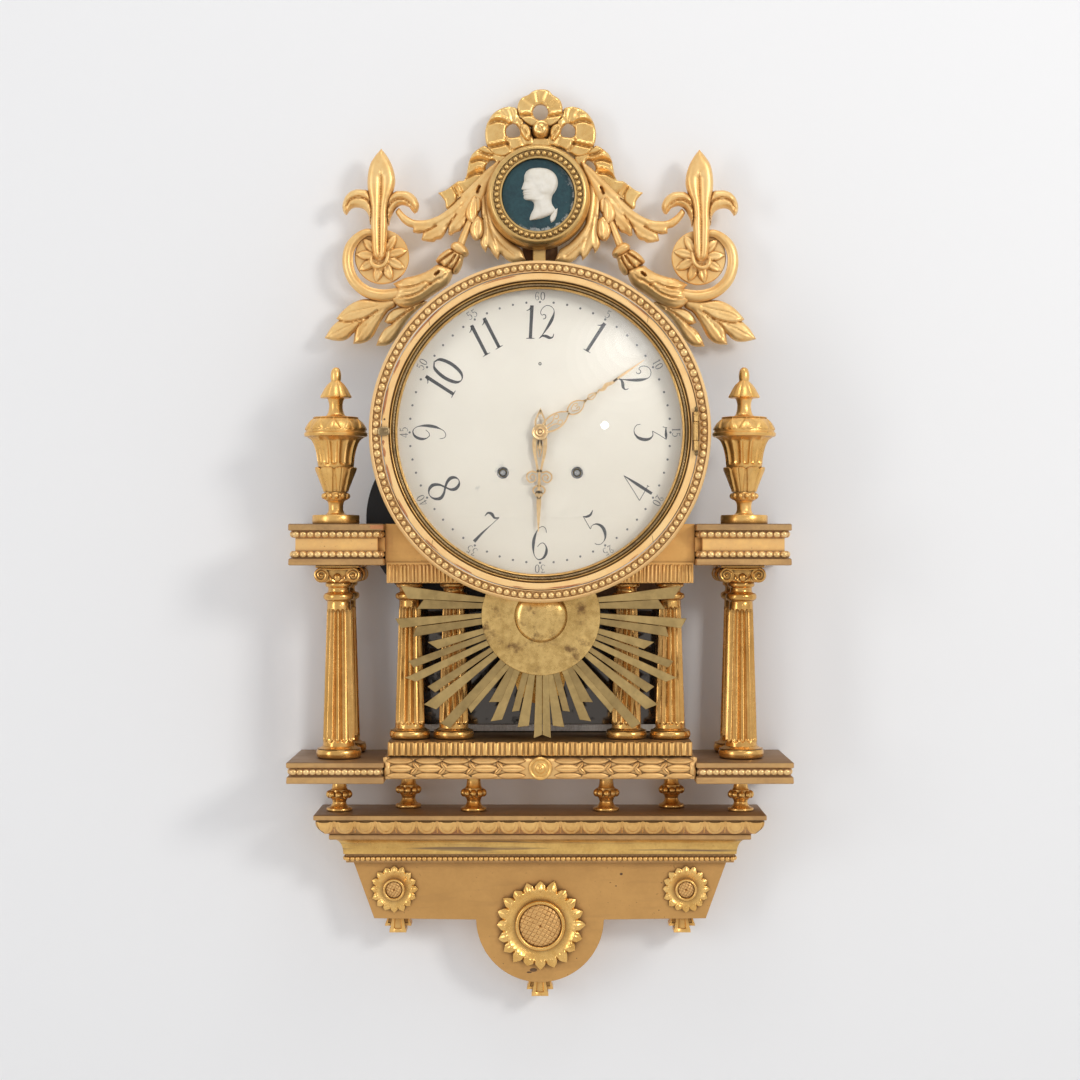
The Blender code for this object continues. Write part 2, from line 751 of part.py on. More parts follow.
def crest_spray(side):
    name = "crest_spray_left" if side < 0 else "crest_spray_right"
    start = board_thickness + crest_layer + 2 * fit
    front = start + spray_thickness

    def mirrored(points):
        return [(side * x, *rest) for x, *rest in points]

    def leaf(tag, points, low=0.0, high=1.0, finish=None):
        spread = front - start
        plate = outline(tag, finish, [mirrored(points)], start + low * spread, start + high * spread, 1)
        return place(plate, facing=True)
    outer = leaf(name, [(56, 306), (72, 296), (90, 278), (106, 260), (125, 248), (145, 249), (160, 259, 1),
                        (158, 246), (146, 234, 1), (140, 238), (131, 222, 1), (120, 232), (102, 230, 1),
                        (97, 240), (78, 240), (66, 258), (60, 280)], 0.0, 0.7, "matt")
    inner = leaf("inner_leaf", [(62, 302), (74, 288), (78, 262), (70, 240), (66, 226, 1), (60, 230), (58, 209, 1),
                                (50, 215), (44, 201, 1), (34, 207), (17, 201, 1), (20, 209), (38, 219),
                                (55, 236), (62, 262), (60, 285)], 0.0, 0.55)
    stalk = [(76, 248), (87, 224), (95, 200), (112, 180), (138, 168), (162, 163)]
    turns = arc(scroll_radius, -82.0, 112.0, 8, rosette_x, rosette_z)
    route = [(side * x, z) for x, z in stalk + turns]
    scroll = place(tube("scroll_stem", None, route, scroll_tube, start + spray_thickness * 0.5), facing=True)
    husk = leaf("bell_husk", [(88, 222), (100, 214), (112, 206, 1), (116, 192), (112, 182, 1), (98, 186), (86, 204)])
    rosette = place(disc("scroll_rosette", None, rosette_radius, start, front - 4.0, 18), side * rosette_x, 0,
                    rosette_z, True)
    half = [(0, 325, 1), (7, 312), (14.5, 292), (11, 272), (9, 265, 1), (17, 279), (27, 281), (38, 270), (43, 256),
            (40, 247, 1), (30, 257), (21, 259), (13, 252), (9.5, 236), (8, 220), (4, 201), (0, 198)]
    both = half + [(-x, *rest) for x, *rest in reversed(half[1:-1])]
    lily = leaf("fleur_de_lis", [(fleur_x + x, *rest) for x, *rest in both], 0.3, 1.0)
    laurels = []
    for index, (x, z) in enumerate(((244, 114), (212, 107), (186, 104))):
        root = Vector((184.0 + 4.0 * (2 - index), 166.0))
        tip = Vector((x, z))
        across = Vector((z - root.y, root.x - x)).normalized() * 10.0
        middle = root.lerp(tip, 0.5)
        points = [tuple(root), tuple(middle + across), (x, z, 1), tuple(middle - across)]
        laurels.append(leaf("laurel_%d" % index, points, 0.08 * index, 0.5 + 0.08 * index))
    return join(outer, inner, scroll, husk, rosette, lily, *laurels)


# Sunburst

def ray_points(angle, strips, root_half, tip_half):
    """One ray's outline beyond the disc: strips are the lengths at its clockwise edge, middle and other edge."""
    root = sqrt(sun_radius ** 2 - root_half ** 2)
    edges = (-tip_half, 0.0, 0.0, tip_half) if len(strips) == 4 else (-tip_half, 0.0, tip_half)
    local = [(root, -root_half), *zip(strips, edges), (root, root_half)]
    turn = radians(angle)
    return [(along * cos(turn) - across * sin(turn), along * sin(turn) + across * cos(turn)) for along, across in local]


def sun_loop():
    rays = [(270.0, (centre_ray_length, centre_ray_length - 4.0, centre_ray_length), 6.0, 8.5)]
    for angle, long in zip(ray_angles, ray_lengths):
        strips = (long * ray_short, long * ray_short - 4.0, long, long - 5.0)
        rays.append((180.0 + angle, strips, ray_root / 2, ray_width / 2))
        rays.append((360.0 - angle, tuple(reversed(strips)), ray_root / 2, ray_width / 2))
    rays.sort()
    loop = []
    for ray in rays:
        loop += ray_points(*ray)
    first, last = rays[0][0] + 360.0, rays[-1][0]
    return loop + arc(sun_radius, last + 9.0, first - 9.0, 12)


def sunburst():
    back = frieze_front + 2 * fit
    plate = outline("sunburst", "aged_brass", [sun_loop()], back, back + sun_thickness, smooth=False)
    place(plate, 0, 0, sun_z, True)
    boss = [(0, back + 1.0), (sun_boss_radius, back + 1.0), (sun_boss_radius, back + sun_thickness + 1.0),
            (sun_boss_radius * 0.6, back + sun_boss_rise), (0, back + sun_boss_rise + 3.0)]
    join(plate, place(turned("sun_boss", None, boss, 24), 0, 0, sun_z, True))
    clear = place(disc("case_clearance", None, case_radius + fit, back - 5.0, back + 20.0, case_steps), facing=True)
    return cut(plate, clear)


# Dial, door and hinge

def dial():
    back = case_front + fit
    front = back + dial_thickness
    radius = ring_bore - 2 * fit
    holes = [circle_loop(dial_hole, 16), circle_loop(winding_hole, 16, barrel_x, barrel_z),
             circle_loop(winding_hole, 16, -barrel_x, barrel_z)]
    plate = outline("dial", "enamel", [circle_loop(radius, ring_steps), *holes], back, front, smooth=False)
    place(plate, facing=True)
    foot_start = front_plate_depth + plate_thickness + fit
    for index, (x, z) in enumerate(((-52, 60), (52, 60), (-56, -12), (56, -12))):
        peg = disc("dial_foot_%d" % index, None, 3.0, foot_start, back + 1.0, 10)
        join(plate, place(peg, x, 0, z, True))
    return plate


def door_ring():
    back = rebate_depth + 3 * fit
    radius = rebate_radius - swing_room
    profile = [(door_bore, back), (door_bore, door_front - 2.0), (door_bore + 1.5, door_front), (radius, door_front),
               (radius, back)]
    return turned("door_ring", "ochre", profile, ring_steps, closed=True)


def door():
    hinge = bpy.data.objects.new("door_hinge_axis", None)
    clock.objects.link(hinge)
    place(hinge, hinge_x, hinge_depth, 0.0)
    pieces = [place(door_ring(), facing=True)]
    back = rebate_depth + 4 * fit
    outer = door_bore - fit
    edge = glass_seat + glass_thickness
    bezel = [(outer, back), (outer, bezel_front - 1.5), (outer - 4.0, bezel_front), (bezel_lip, bezel_front - 2.0),
             (bezel_lip, edge + fit), (outer - 3.0, edge + fit), (outer - 3.0, back)]
    pieces.append(place(turned("glass_bezel", "brass", bezel, ring_steps, closed=True), facing=True))
    rim = outer - 3.0 - 2 * fit
    start = bezel_lip - 1.0
    count = 4
    dome = [(start * (1 - i / count), edge + glass_rise * (1 - (1 - i / count) ** 2)) for i in range(count + 1)]
    under = [(r, h - glass_thickness) for r, h in reversed(dome)]
    profile = [*under, (rim, glass_seat), (rim, edge), *dome]
    pieces.append(place(turned("door_glass", "glass", profile, 20), facing=True))
    hinge_leaf = box("hinge_door_leaf", "brass", (hinge_x - hinge_tab, hinge_x - 1.0),
                     (door_front + fit, hinge_depth - hinge_pin), (-knuckle_half_length, knuckle_half_length))
    knuckle = [(hinge_pin + running_fit, -knuckle_half_length), (hinge_barrel, -knuckle_half_length),
               (hinge_barrel, knuckle_half_length), (hinge_pin + running_fit, knuckle_half_length)]
    join(hinge_leaf, place(turned("door_knuckle", None, knuckle, 12, closed=True), hinge_x, hinge_depth, 0))
    pin_room = place(disc("pin_room", None, hinge_pin + running_fit, -hinge_half_length, hinge_half_length, 12),
                     hinge_x, hinge_depth, 0)
    pieces.append(cut(hinge_leaf, pin_room))
    return hinge, pieces


def hinge_case_leaf():
    ends = knuckle_half_length + fit
    long = hinge_half_length
    pin = [(0, -long - 6.0), (1.8, -long - 4.0), (1.8, -long - 1.5), (hinge_barrel, -long), (hinge_barrel, -ends),
           (hinge_pin, -ends), (hinge_pin, ends), (hinge_barrel, ends), (hinge_barrel, long), (1.8, long + 1.5),
           (1.8, long + 4.0), (0, long + 6.0)]
    leaf = place(turned("hinge_case_leaf", "brass", pin, 12), hinge_x, hinge_depth, 0)
    for index, (low, high) in enumerate(((-long + 1.0, -ends - 1.0), (ends + 1.0, long - 1.0))):
        tab = box("hinge_tab_%d" % index, None, (hinge_x + 1.0, rebate_radius + 5.5),
                  (ring_front + fit, ring_front + fit + hinge_leaf_thickness), (low, high))
        join(leaf, tab)
    return leaf


def turn_button():
    start = door_front + fit
    plate_back = ring_front + fit
    loop = [(-button_reach, -button_half_width), (button_tail, -button_half_width),
            (button_tail, button_half_width), (-button_reach, button_half_width)]
    button = outline("turn_button", "dark_brass", [loop], plate_back, plate_back + button_thickness, smooth=False)
    place(button, button_x, 0, 0, True)
    stem = place(disc("button_stem", None, 2.4, start, plate_back + 1.0, 12), button_x, 0, 0, True)
    return join(button, stem)


# Movement

def third_place():
    first = centre_module * (centre_wheel_teeth + third_pinion_teeth) / 2
    second = third_module * (third_wheel_teeth + escape_pinion_teeth) / 2
    z = (first ** 2 - second ** 2 + escape_z ** 2) / (2 * escape_z)
    return -sqrt(first ** 2 - z ** 2), z


def great_module():
    return 2 * hypot(barrel_x, barrel_z) / (great_teeth + centre_pinion_teeth)


def gear(name, finish, teeth, module, phase, depth, thickness, x=0.0, z=0.0, hole=None, **shape):
    loops = [gear_loop(teeth, module, phase, **shape)]
    if hole:
        loops.append(circle_loop(hole, 12))
    wheel = outline(name, finish, loops, depth, depth + thickness, smooth=False)
    return place(wheel, x, 0, z, True)


def rod(name, x, z, steps, finish=None, sides=8):
    """A stepped round arbor along the depth axis from (depth, radius) stations."""
    profile = [(0, steps[0][0])]
    for depth_from, depth_to, radius in steps:
        profile += [(radius, depth_from), (radius, depth_to)]
    profile.append((0, steps[-1][1]))
    shaft = place(turned(name, finish, profile, sides), x, 0, z, True)
    shaft.rotation_euler = (pi / 2, arbor_turn, 0.0)
    return shaft


def between_plates():
    inner_back = back_plate_depth + plate_thickness + fit
    inner_front = front_plate_depth - fit
    return inner_back, inner_front


def pivoted(name, x, z, finish=None):
    back, front = between_plates()
    return rod(name, x, z, [(back_plate_depth + 0.5, back, pivot_radius), (back, front, train_arbor_radius),
                            (front, front_plate_depth + plate_thickness - 0.5, pivot_radius)], finish)


def movement_plate(name, depth, small, large):
    loop = [(-plate_half_width, plate_bottom), (plate_half_width, plate_bottom),
            (plate_half_width, plate_top), (-plate_half_width, plate_top)]
    holes = [circle_loop(pivot_radius + running_fit, 10, x, z) for x, z in small]
    holes += [circle_loop(radius + running_fit, 12, x, z) for x, z, radius in large]
    plate = outline(name, "brass", [loop, *holes], depth, depth + plate_thickness, smooth=False)
    return place(plate, facing=True)


def front_plate():
    small = [(third_x, third_z), (0, escape_z), (0, pendulum_axis_z), (hammer_x, hammer_z)]
    large = [(0, 0, 2.4), (barrel_x, barrel_z, winding_arbor_radius), (-barrel_x, barrel_z, winding_arbor_radius)]
    plate = movement_plate("front_plate", front_plate_depth, small, large)
    stud_z = motion_module * (cannon_teeth + minute_wheel_teeth) / 2
    stud = disc("minute_wheel_stud", None, 1.5, front_plate_depth + 1.0, hour_wheel_depth + motion_thickness + 2.0, 10)
    return join(plate, place(stud, 0, 0, stud_z, True))


def back_plate():
    small = [(third_x, third_z), (0, escape_z), (0, 0)]
    large = [(barrel_x, barrel_z, winding_arbor_radius), (-barrel_x, barrel_z, winding_arbor_radius),
             (0, pendulum_axis_z, arbor_radius), (hammer_x, hammer_z, arbor_radius)]
    plate = movement_plate("back_plate", back_plate_depth, small, large)
    end = front_plate_depth - fit
    for index, (x, z) in enumerate(((-56, 74), (56, 74), (0, -92))):
        pillar = disc("pillar_%d" % index, None, pillar_radius, back_plate_depth + 1.0, end, 12)
        join(plate, place(pillar, x, 0, z, True))
    low = pendulum_axis_z + cock_drop
    cock = box("suspension_cock", None, (-6.0, 6.0), (pendulum_depth - 4.0, back_plate_depth + 1.0), (low, low + 6.0))
    return join(plate, cock)


def barrel(name, x, wheel_depth, drum_from, phase):
    wheel = gear(name, "brass", great_teeth, great_module(), phase, wheel_depth, wheel_thickness, x, barrel_z)
    drum = place(disc(name + "_drum", None, barrel_radius, drum_from, drum_from + barrel_length, 24), x, 0, barrel_z, True)
    bore = place(disc(name + "_bore", None, winding_arbor_radius + running_fit, drum_from - 40.0,
                      drum_from + barrel_length + 40.0, 12), x, 0, barrel_z, True)
    return cut(join(wheel, drum), bore)


def winding_arbor(name, x):
    start = back_plate_depth + 0.5
    arbor = rod(name, x, barrel_z, [(start, winding_arbor_end, winding_arbor_radius)], "steel", 12)
    return arbor


def centre_wheel(phase):
    back, front = between_plates()
    wheel = gear("centre_wheel", "brass", centre_wheel_teeth, centre_module, phase, centre_wheel_depth, wheel_thickness)
    arbor = rod("centre_arbor", 0, 0, [(back_plate_depth + 0.5, back, pivot_radius), (back, front, arbor_radius),
                                       (front, minute_hand_depth - fit, 2.4)])
    pinion_phase = mesh_phase(0.0, great_teeth, centre_pinion_teeth, atan2(-barrel_z, -barrel_x))
    pinion = gear("centre_pinion", None, centre_pinion_teeth, great_module(), pinion_phase,
                  going_wheel_depth - 2.0, pinion_length)
    cannon = gear("cannon_pinion", None, cannon_teeth, motion_module, 0.0, cannon_depth, motion_thickness)
    return join(wheel, arbor, pinion, cannon)


def third_wheel(pinion_phase, phase):
    wheel = gear("third_wheel", "brass", third_wheel_teeth, third_module, phase, third_wheel_depth, wheel_thickness,
                 third_x, third_z)
    arbor = pivoted("third_arbor", third_x, third_z)
    pinion = gear("third_pinion", None, third_pinion_teeth, centre_module, pinion_phase, centre_wheel_depth - 2.0,
                  pinion_length, third_x, third_z)
    return join(wheel, arbor, pinion)


def escape_wheel(pinion_phase):
    points = []
    for tooth in range(escape_teeth):
        turn = tau * tooth / escape_teeth
        points.append((escape_radius * cos(turn), escape_radius * sin(turn)))
        points.append((escape_radius * 0.82 * cos(turn + 0.10), escape_radius * 0.82 * sin(turn + 0.10)))
    wheel = outline("escape_wheel", "brass", [points], escape_wheel_depth, escape_wheel_depth + wheel_thickness, smooth=False)
    place(wheel, 0, 0, escape_z, True)
    arbor = pivoted("escape_arbor", 0, escape_z)
    pinion = gear("escape_pinion", None, escape_pinion_teeth, third_module, pinion_phase, third_wheel_depth - 2.0,
                  pinion_length, 0, escape_z)
    return join(wheel, arbor, pinion)


def minute_wheel():
    z = motion_module * (cannon_teeth + minute_wheel_teeth) / 2
    phase = mesh_phase(0.0, cannon_teeth, minute_wheel_teeth, pi / 2)
    wheel = gear("minute_wheel", "brass", minute_wheel_teeth, motion_module, phase, cannon_depth, motion_thickness, 0, z, 2.0)
    pinion_phase = 0.0
    pinion = gear("minute_pinion", None, minute_pinion_teeth, motion_module, pinion_phase, cannon_depth + 1.0,
                  hour_wheel_depth + motion_thickness - cannon_depth - 1.0, 0, z, 2.0)
    return join(wheel, pinion)


def hour_hand():
    phase = mesh_phase(0.0, minute_pinion_teeth, hour_wheel_teeth, -pi / 2)
    wheel = gear("hour_hand", "gilt_brass", hour_wheel_teeth, motion_module, phase, hour_wheel_depth, motion_thickness,
                 0, 0, 2.9)
    pipe = [(2.9, hour_wheel_depth + 0.5), (4.4, hour_wheel_depth + 0.5), (4.4, hour_hand_depth + 0.5), (2.9, hour_hand_depth + 0.5)]
    join(wheel, place(turned("hour_pipe", None, pipe, 12, closed=True), facing=True))
    blade = hand_loop(hour_hand_length, 5.0, hour_hand_tail)
    plate = outline("hour_blade", None, [blade], hour_hand_depth, hour_hand_depth + hand_thickness, smooth=False)
    place(plate, facing=True)
    plate.rotation_euler = (pi / 2, radians(hour_rest_angle), 0.0)
    join(wheel, plate)
    bore = place(disc("hour_bore", None, 2.9, hour_wheel_depth - 5.0, hour_hand_depth + 5.0, 12), facing=True)
    return cut(wheel, bore)


def hand_loop(length, half_width, tail):
    """Round boss with a tapering blade upwards and a short pointed tail."""
    waist = half_width * 0.5
    right = arc(hand_boss, -50.0, 50.0, 7)
    blade = [(waist, hand_boss + 4.0), (half_width, length * 0.45), (waist * 0.8, length * 0.55), (0.6, length)]
    left = [(-x, z) for x, z in reversed(right)]
    back = [(-x, z) for x, z in reversed(blade)]
    loop = right + blade + back + left
    if tail:
        loop += [(-3.5, -hand_boss - 5.0), (0.0, -tail), (3.5, -hand_boss - 5.0)]
    return loop


def minute_hand():
    loop = hand_loop(minute_hand_length, 5.5, 0.0)
    hand = outline("minute_hand", "gilt_brass", [loop], minute_hand_depth, minute_hand_depth + hand_thickness, smooth=False)
    place(hand, facing=True)
    hand.rotation_euler = (pi / 2, radians(minute_rest_angle), 0.0)
    cap = [(0, minute_hand_depth + 0.3), (5.0, minute_hand_depth + 0.3), (4.4, minute_hand_depth + 2.4), (2.0, minute_hand_depth + 3.6),
           (0, minute_hand_depth + 3.8)]
    return join(hand, place(turned("hand_nut", None, cap, 14), facing=True))


# Anchor, pendulum, hammer and bell

def anchor():
    back, front = between_plates()
    arbor = rod("anchor", 0, pendulum_axis_z, [(crutch_depth, front, arbor_radius),
                                              (front, front_plate_depth + plate_thickness - 0.5, pivot_radius)], "steel")
    drop = pendulum_axis_z - escape_z
    spread = escape_radius * 0.82
    tips = drop - escape_radius * 0.52
    loop = [(-6, 5), (6, 5), (spread + 6.0, -tips * 0.55), (spread + 5.5, -tips), (spread + 2.5, -tips), (spread, -tips * 0.5),
            (0, -tips * 0.12), (-spread, -tips * 0.5), (-spread - 2.5, -tips), (-spread - 5.5, -tips), (-spread - 6.0, -tips * 0.55)]
    middle = escape_wheel_depth + wheel_thickness / 2
    pallets = outline("pallets", None, [loop], middle - anchor_thickness / 2, middle + anchor_thickness / 2, smooth=False)
    place(pallets, 0, 0, pendulum_axis_z, True)
    arm = [(-4, 4), (4, 4), (2, -crutch_length), (-2, -crutch_length)]
    crutch = outline("crutch", None, [arm], crutch_depth, crutch_depth + 2.0, smooth=False)
    place(crutch, 0, 0, pendulum_axis_z, True)
    pin = disc("crutch_pin", None, 1.2, pendulum_depth + pendulum_rod_thickness + fit, crutch_depth + 1.0, 8)
    place(pin, 0, 0, pendulum_axis_z - crutch_length + 3.0, True)
    return join(arbor, pallets, crutch, pin)


def pendulum():
    half = pendulum_rod_width / 2
    top = cock_drop - fit
    bottom = bob_z - pendulum_axis_z - bob_radius - 10.0
    loop = [(-half, top), (half, top), (half, bottom), (-half, bottom)]
    strip = outline("pendulum", "aged_brass", [loop], pendulum_depth, pendulum_depth + pendulum_rod_thickness, smooth=False)
    place(strip, 0, 0, pendulum_axis_z, True)
    middle = pendulum_depth + pendulum_rod_thickness / 2
    profile = [(0, middle - bob_thickness / 2), (bob_radius * 0.6, middle - bob_thickness * 0.4), (bob_radius, middle),
               (bob_radius * 0.6, middle + bob_thickness * 0.4), (0, middle + bob_thickness / 2)]
    return join(strip, place(turned("bob", None, profile, 28), 0, 0, bob_z, True))


def bell():
    back = board_thickness + fit + case_back + fit
    inner = bell_radius - bell_wall
    crown = back + 5.0
    shoulder = bell_mouth - bell_rim
    profile = [(0, back), (9.0, back), (9.0, crown), (bell_radius * 0.5, crown + 2.0),
               (bell_radius * 0.86, crown + 6.0), (bell_radius, shoulder), (bell_radius, bell_mouth),
               (inner, bell_mouth), (inner, shoulder), (inner * 0.85, crown + 6.0 + bell_wall),
               (bell_radius * 0.48, crown + 2.0 + bell_wall), (0, crown + 1.0 + bell_wall)]
    return place(turned("bell", "bell_metal", profile, 24), lobe_x, 0, lobe_z, True)


def hammer():
    back, front = between_plates()
    arbor = rod("hammer", hammer_x, hammer_z, [(hammer_arm_depth, front, arbor_radius),
                                               (front, front_plate_depth + plate_thickness - 0.5, pivot_radius)], "steel")
    reach = bell_radius - bell_wall - hammer_gap - hammer_head_radius - 0.6
    x = lobe_x + reach * sqrt(0.5)
    z = lobe_z + reach * sqrt(0.5)
    along = Vector((x - hammer_x, z - hammer_z))
    across = Vector((-along.y, along.x)).normalized() * 2.0
    ends = [(across.x, across.y), (along.x + across.x, along.y + across.y), (along.x - across.x, along.y - across.y),
            (-across.x, -across.y)]
    arm = outline("hammer_arm", None, [ends], hammer_arm_depth, hammer_arm_depth + 2.5, smooth=False)
    place(arm, hammer_x, 0, hammer_z, True)
    head = place(disc("hammer_head", None, hammer_head_radius, bell_mouth - 10.0, hammer_arm_depth + 2.5, 12), x, 0, z, True)
    return join(arbor, arm, head)


# Assembly

clear_scene()
clock = new_collection("giltwood_wall_clock")
tools = new_collection("cutters", hidden=True)
finishes = {
    "gilt": principled("gilt", (0.79, 0.50, 0.16), 0.38, 0.8),
    "burnished": principled("burnished_gilt", (0.84, 0.55, 0.18), 0.25, 0.95),
    "matt": principled("matt_gilt", (0.80, 0.54, 0.24), 0.55, 0.5),
    "ochre": principled("ochre_gilt", (0.76, 0.48, 0.18), 0.55, 0.45),
    "pine": principled("aged_pine", (0.20, 0.11, 0.05), 0.7, 0.0),
    "black": principled("black_paint", (0.015, 0.013, 0.012), 0.7, 0.0),
    "brass": principled("brass", (0.72, 0.53, 0.22), 0.3, 1.0),
    "aged_brass": principled("aged_brass", (0.42, 0.30, 0.10), 0.42, 1.0),
    "dark_brass": principled("dark_brass", (0.20, 0.14, 0.06), 0.45, 1.0),
    "gilt_brass": principled("gilt_brass", (0.86, 0.62, 0.30), 0.3, 1.0),
    "steel": principled("steel", (0.45, 0.44, 0.42), 0.35, 1.0),
    "bell_metal": principled("bell_metal", (0.16, 0.11, 0.06), 0.4, 1.0),
    "enamel": principled("dial_enamel", (0.84, 0.79, 0.69), 0.3, 0.0),
    "glass": principled("clear_glass", (0.95, 0.97, 0.96), 0.02, 0.0),
    "mirror": principled("mirror", (0.5, 0.5, 0.5), 0.04, 1.0),
    "teal": principled("teal_plaque", (0.02, 0.07, 0.08), 0.45, 0.0),
}
third_x, third_z = third_place()

back_board()
movement_case()
drum_ring()
mirror_plate()
entablature_rail()
plinth_rail()
for side in (-1, 1):
    entablature_block(side)
    lower_block(side)
    urn(side)
    crest_spray(side)
    tag = "left" if side < 0 else "right"
    outer_column("outer_column_front_" + tag, side * outer_column_x, outer_front_depth)
    outer_column("outer_column_rear_" + tag, side * outer_column_x, outer_rear_depth)
    for order, x in zip(("second", "first"), inner_column_x):
        inner_column("inner_column_%s_%s" % (order, tag), side * x)
    for order, x in zip(("inner", "outer"), foot_front_x):
        top = laurel_bottom if order == "inner" else lower_block_bottom
        foot("foot_%s_%s" % (order, tag), side * x, foot_front_depth, top)
    foot("foot_rear_" + tag, side * foot_rear_x, foot_rear_depth, laurel_bottom)
    sunflower("sunflower_" + tag, side * small_sunflower_x, apron_top - 31.0, small_sunflower_radius, small_sunflower_boss)
sunflower("sunflower_centre", 0.0, apron_bottom - 7.0, sunflower_radius, sunflower_boss)
bracket_cornice()
bracket_apron()
ribbon_bow()
medallion_frame()
cameo_plaque()
sunburst()
dial()

hinge_axis, door_pieces = door()
button_piece = turn_button()
hinge_case_leaf()
for piece in (*door_pieces, button_piece):
    piece.parent = hinge_axis
    piece.matrix_parent_inverse = target_matrix(hinge_axis).inverted()

front_plate()
back_plate()
barrel("going_barrel", barrel_x, going_wheel_depth, going_wheel_depth - barrel_length + 1.0, 0.0)
barrel("strike_barrel", -barrel_x, strike_wheel_depth, strike_wheel_depth + wheel_thickness - 1.0, 0.0)
winding_arbor("winding_arbor_going", barrel_x)
winding_arbor("winding_arbor_strike", -barrel_x)
centre_wheel(0.0)
third_pinion_phase = mesh_phase(0.0, centre_wheel_teeth, third_pinion_teeth, atan2(third_z, third_x))
third_wheel(third_pinion_phase, 0.0)
escape_wheel(mesh_phase(0.0, third_wheel_teeth, escape_pinion_teeth, atan2(escape_z - third_z, -third_x)))
minute_wheel()
hour_hand()
minute_hand()
anchor()
pendulum()
bell()
hammer()
print("pieces:", len([thing for thing in clock.objects if thing.type == "MESH"]))
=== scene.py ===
from math import cos, hypot, pi, radians, sin, tau

import bmesh
import bpy
import numpy as np
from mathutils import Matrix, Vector
from mathutils.geometry import delaunay_2d_cdt


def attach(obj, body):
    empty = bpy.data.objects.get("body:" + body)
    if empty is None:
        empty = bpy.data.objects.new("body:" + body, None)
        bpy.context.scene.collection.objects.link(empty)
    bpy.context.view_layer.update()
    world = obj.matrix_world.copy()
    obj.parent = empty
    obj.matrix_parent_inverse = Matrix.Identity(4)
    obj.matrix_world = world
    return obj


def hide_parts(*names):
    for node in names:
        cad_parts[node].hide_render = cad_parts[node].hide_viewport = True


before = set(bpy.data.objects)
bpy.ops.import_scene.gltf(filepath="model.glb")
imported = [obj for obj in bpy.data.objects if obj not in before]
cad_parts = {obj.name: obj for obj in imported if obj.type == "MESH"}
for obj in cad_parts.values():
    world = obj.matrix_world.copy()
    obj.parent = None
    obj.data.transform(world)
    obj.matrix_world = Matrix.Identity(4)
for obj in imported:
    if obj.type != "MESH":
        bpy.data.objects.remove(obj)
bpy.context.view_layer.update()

# Every shape is drawn in millimetres as (across, up, out from the wall).


def runThrough(points, count):  # evenly spaced points on a smooth line through the given ones
    path = np.array(points, float)
    ends = np.vstack([2 * path[0] - path[1], path, 2 * path[-1] - path[-2]])
    t = np.linspace(0, 1, 24, endpoint=False)[:, None]
    fine = []
    for a, b, c, d in zip(ends, ends[1:], ends[2:], ends[3:]):
        fine.append(0.5 * (2 * b + (c - a) * t + (2 * a - 5 * b + 4 * c - d) * t ** 2
                           + (3 * b - a - 3 * c + d) * t ** 3))
    fine = np.vstack(fine + [path[-1:]])
    along = np.r_[0, np.cumsum(np.linalg.norm(np.diff(fine, axis=0), axis=1))]
    where = np.linspace(0, along[-1], count)
    return np.column_stack([np.interp(where, along, fine[:, k]) for k in range(fine.shape[1])])


def ease(values, count):  # a list of sizes spread smoothly over count stations
    if np.isscalar(values):
        return np.full(count, float(values))
    line = runThrough([(i, v) for i, v in enumerate(values)], 12 * len(values))
    return np.interp(np.linspace(0, len(values) - 1, count), line[:, 0], line[:, 1])


def sideways(line):  # unit steps along and across a line in the picture plane
    along = np.gradient(line[:, :2], axis=0)
    along /= np.maximum(np.linalg.norm(along, axis=1), 1e-9)[:, None]
    return along, np.column_stack([-along[:, 1], along[:, 0]])


def turnFlat(points, angle, centre):  # turns points in the picture plane
    c, s = cos(angle), sin(angle)
    moved = np.array(points, float)
    x, z = moved[..., 0].copy(), moved[..., 1].copy()
    moved[..., 0] = centre[0] + x * c - z * s
    moved[..., 1] = centre[1] + x * s + z * c
    return moved


def closedLine(points, pitch):  # a smooth closed outline; a point given twice makes a sharp tip
    path = np.array(points, float)
    a, c, d = np.roll(path, 1, axis=0), np.roll(path, -1, axis=0), np.roll(path, -2, axis=0)
    t = np.linspace(0, 1, 16, endpoint=False)[:, None, None]
    fine = 0.5 * (2 * path + (c - a) * t + (2 * a - 5 * path + 4 * c - d) * t ** 2
                  + (3 * path - a - 3 * c + d) * t ** 3)
    fine = fine.transpose(1, 0, 2).reshape(-1, 2)
    keep = [fine[0]]
    for k, point in enumerate(fine):
        if np.linalg.norm(point - keep[-1]) > (0.6 if k % 16 else 0.25) * pitch:
            keep.append(point)
    if np.linalg.norm(keep[-1] - keep[0]) < 0.25 * pitch:
        keep.pop()
    return np.array(keep)


def edgeGap(points, rings, closed=True):  # distance of each point from the nearest of some lines
    best = np.full(len(points), 1e9)
    for ring in rings:
        a = ring if closed else ring[:-1]
        b = np.roll(ring, -1, axis=0) if closed else ring[1:]
        step = b - a
        share = np.einsum("ijk,jk->ij", points[:, None] - a[None], step) / np.maximum(np.sum(step ** 2, 1),
                1e-12)
        foot = a[None] + np.clip(share, 0, 1)[..., None] * step[None]
        best = np.minimum(best, np.min(np.linalg.norm(points[:, None] - foot, axis=2), axis=1))
    return best


def within(points, rings):  # even-odd test against all the outlines
    odd = np.zeros(len(points), bool)
    for ring in rings:
        a, b = ring, np.roll(ring, -1, axis=0)
        spans = (a[None, :, 1] > points[:, 1:2]) != (b[None, :, 1] > points[:, 1:2])
        rise = np.where(np.abs(b[:, 1] - a[:, 1]) < 1e-12, 1e-12, b[:, 1] - a[:, 1])
        meet = a[None, :, 0] + (points[:, 1:2] - a[None, :, 1]) * (b[:, 0] - a[:, 0])[None] / rise[None]
        odd ^= np.sum(spans & (points[:, :1] < meet), axis=1) % 2 == 1
    return odd


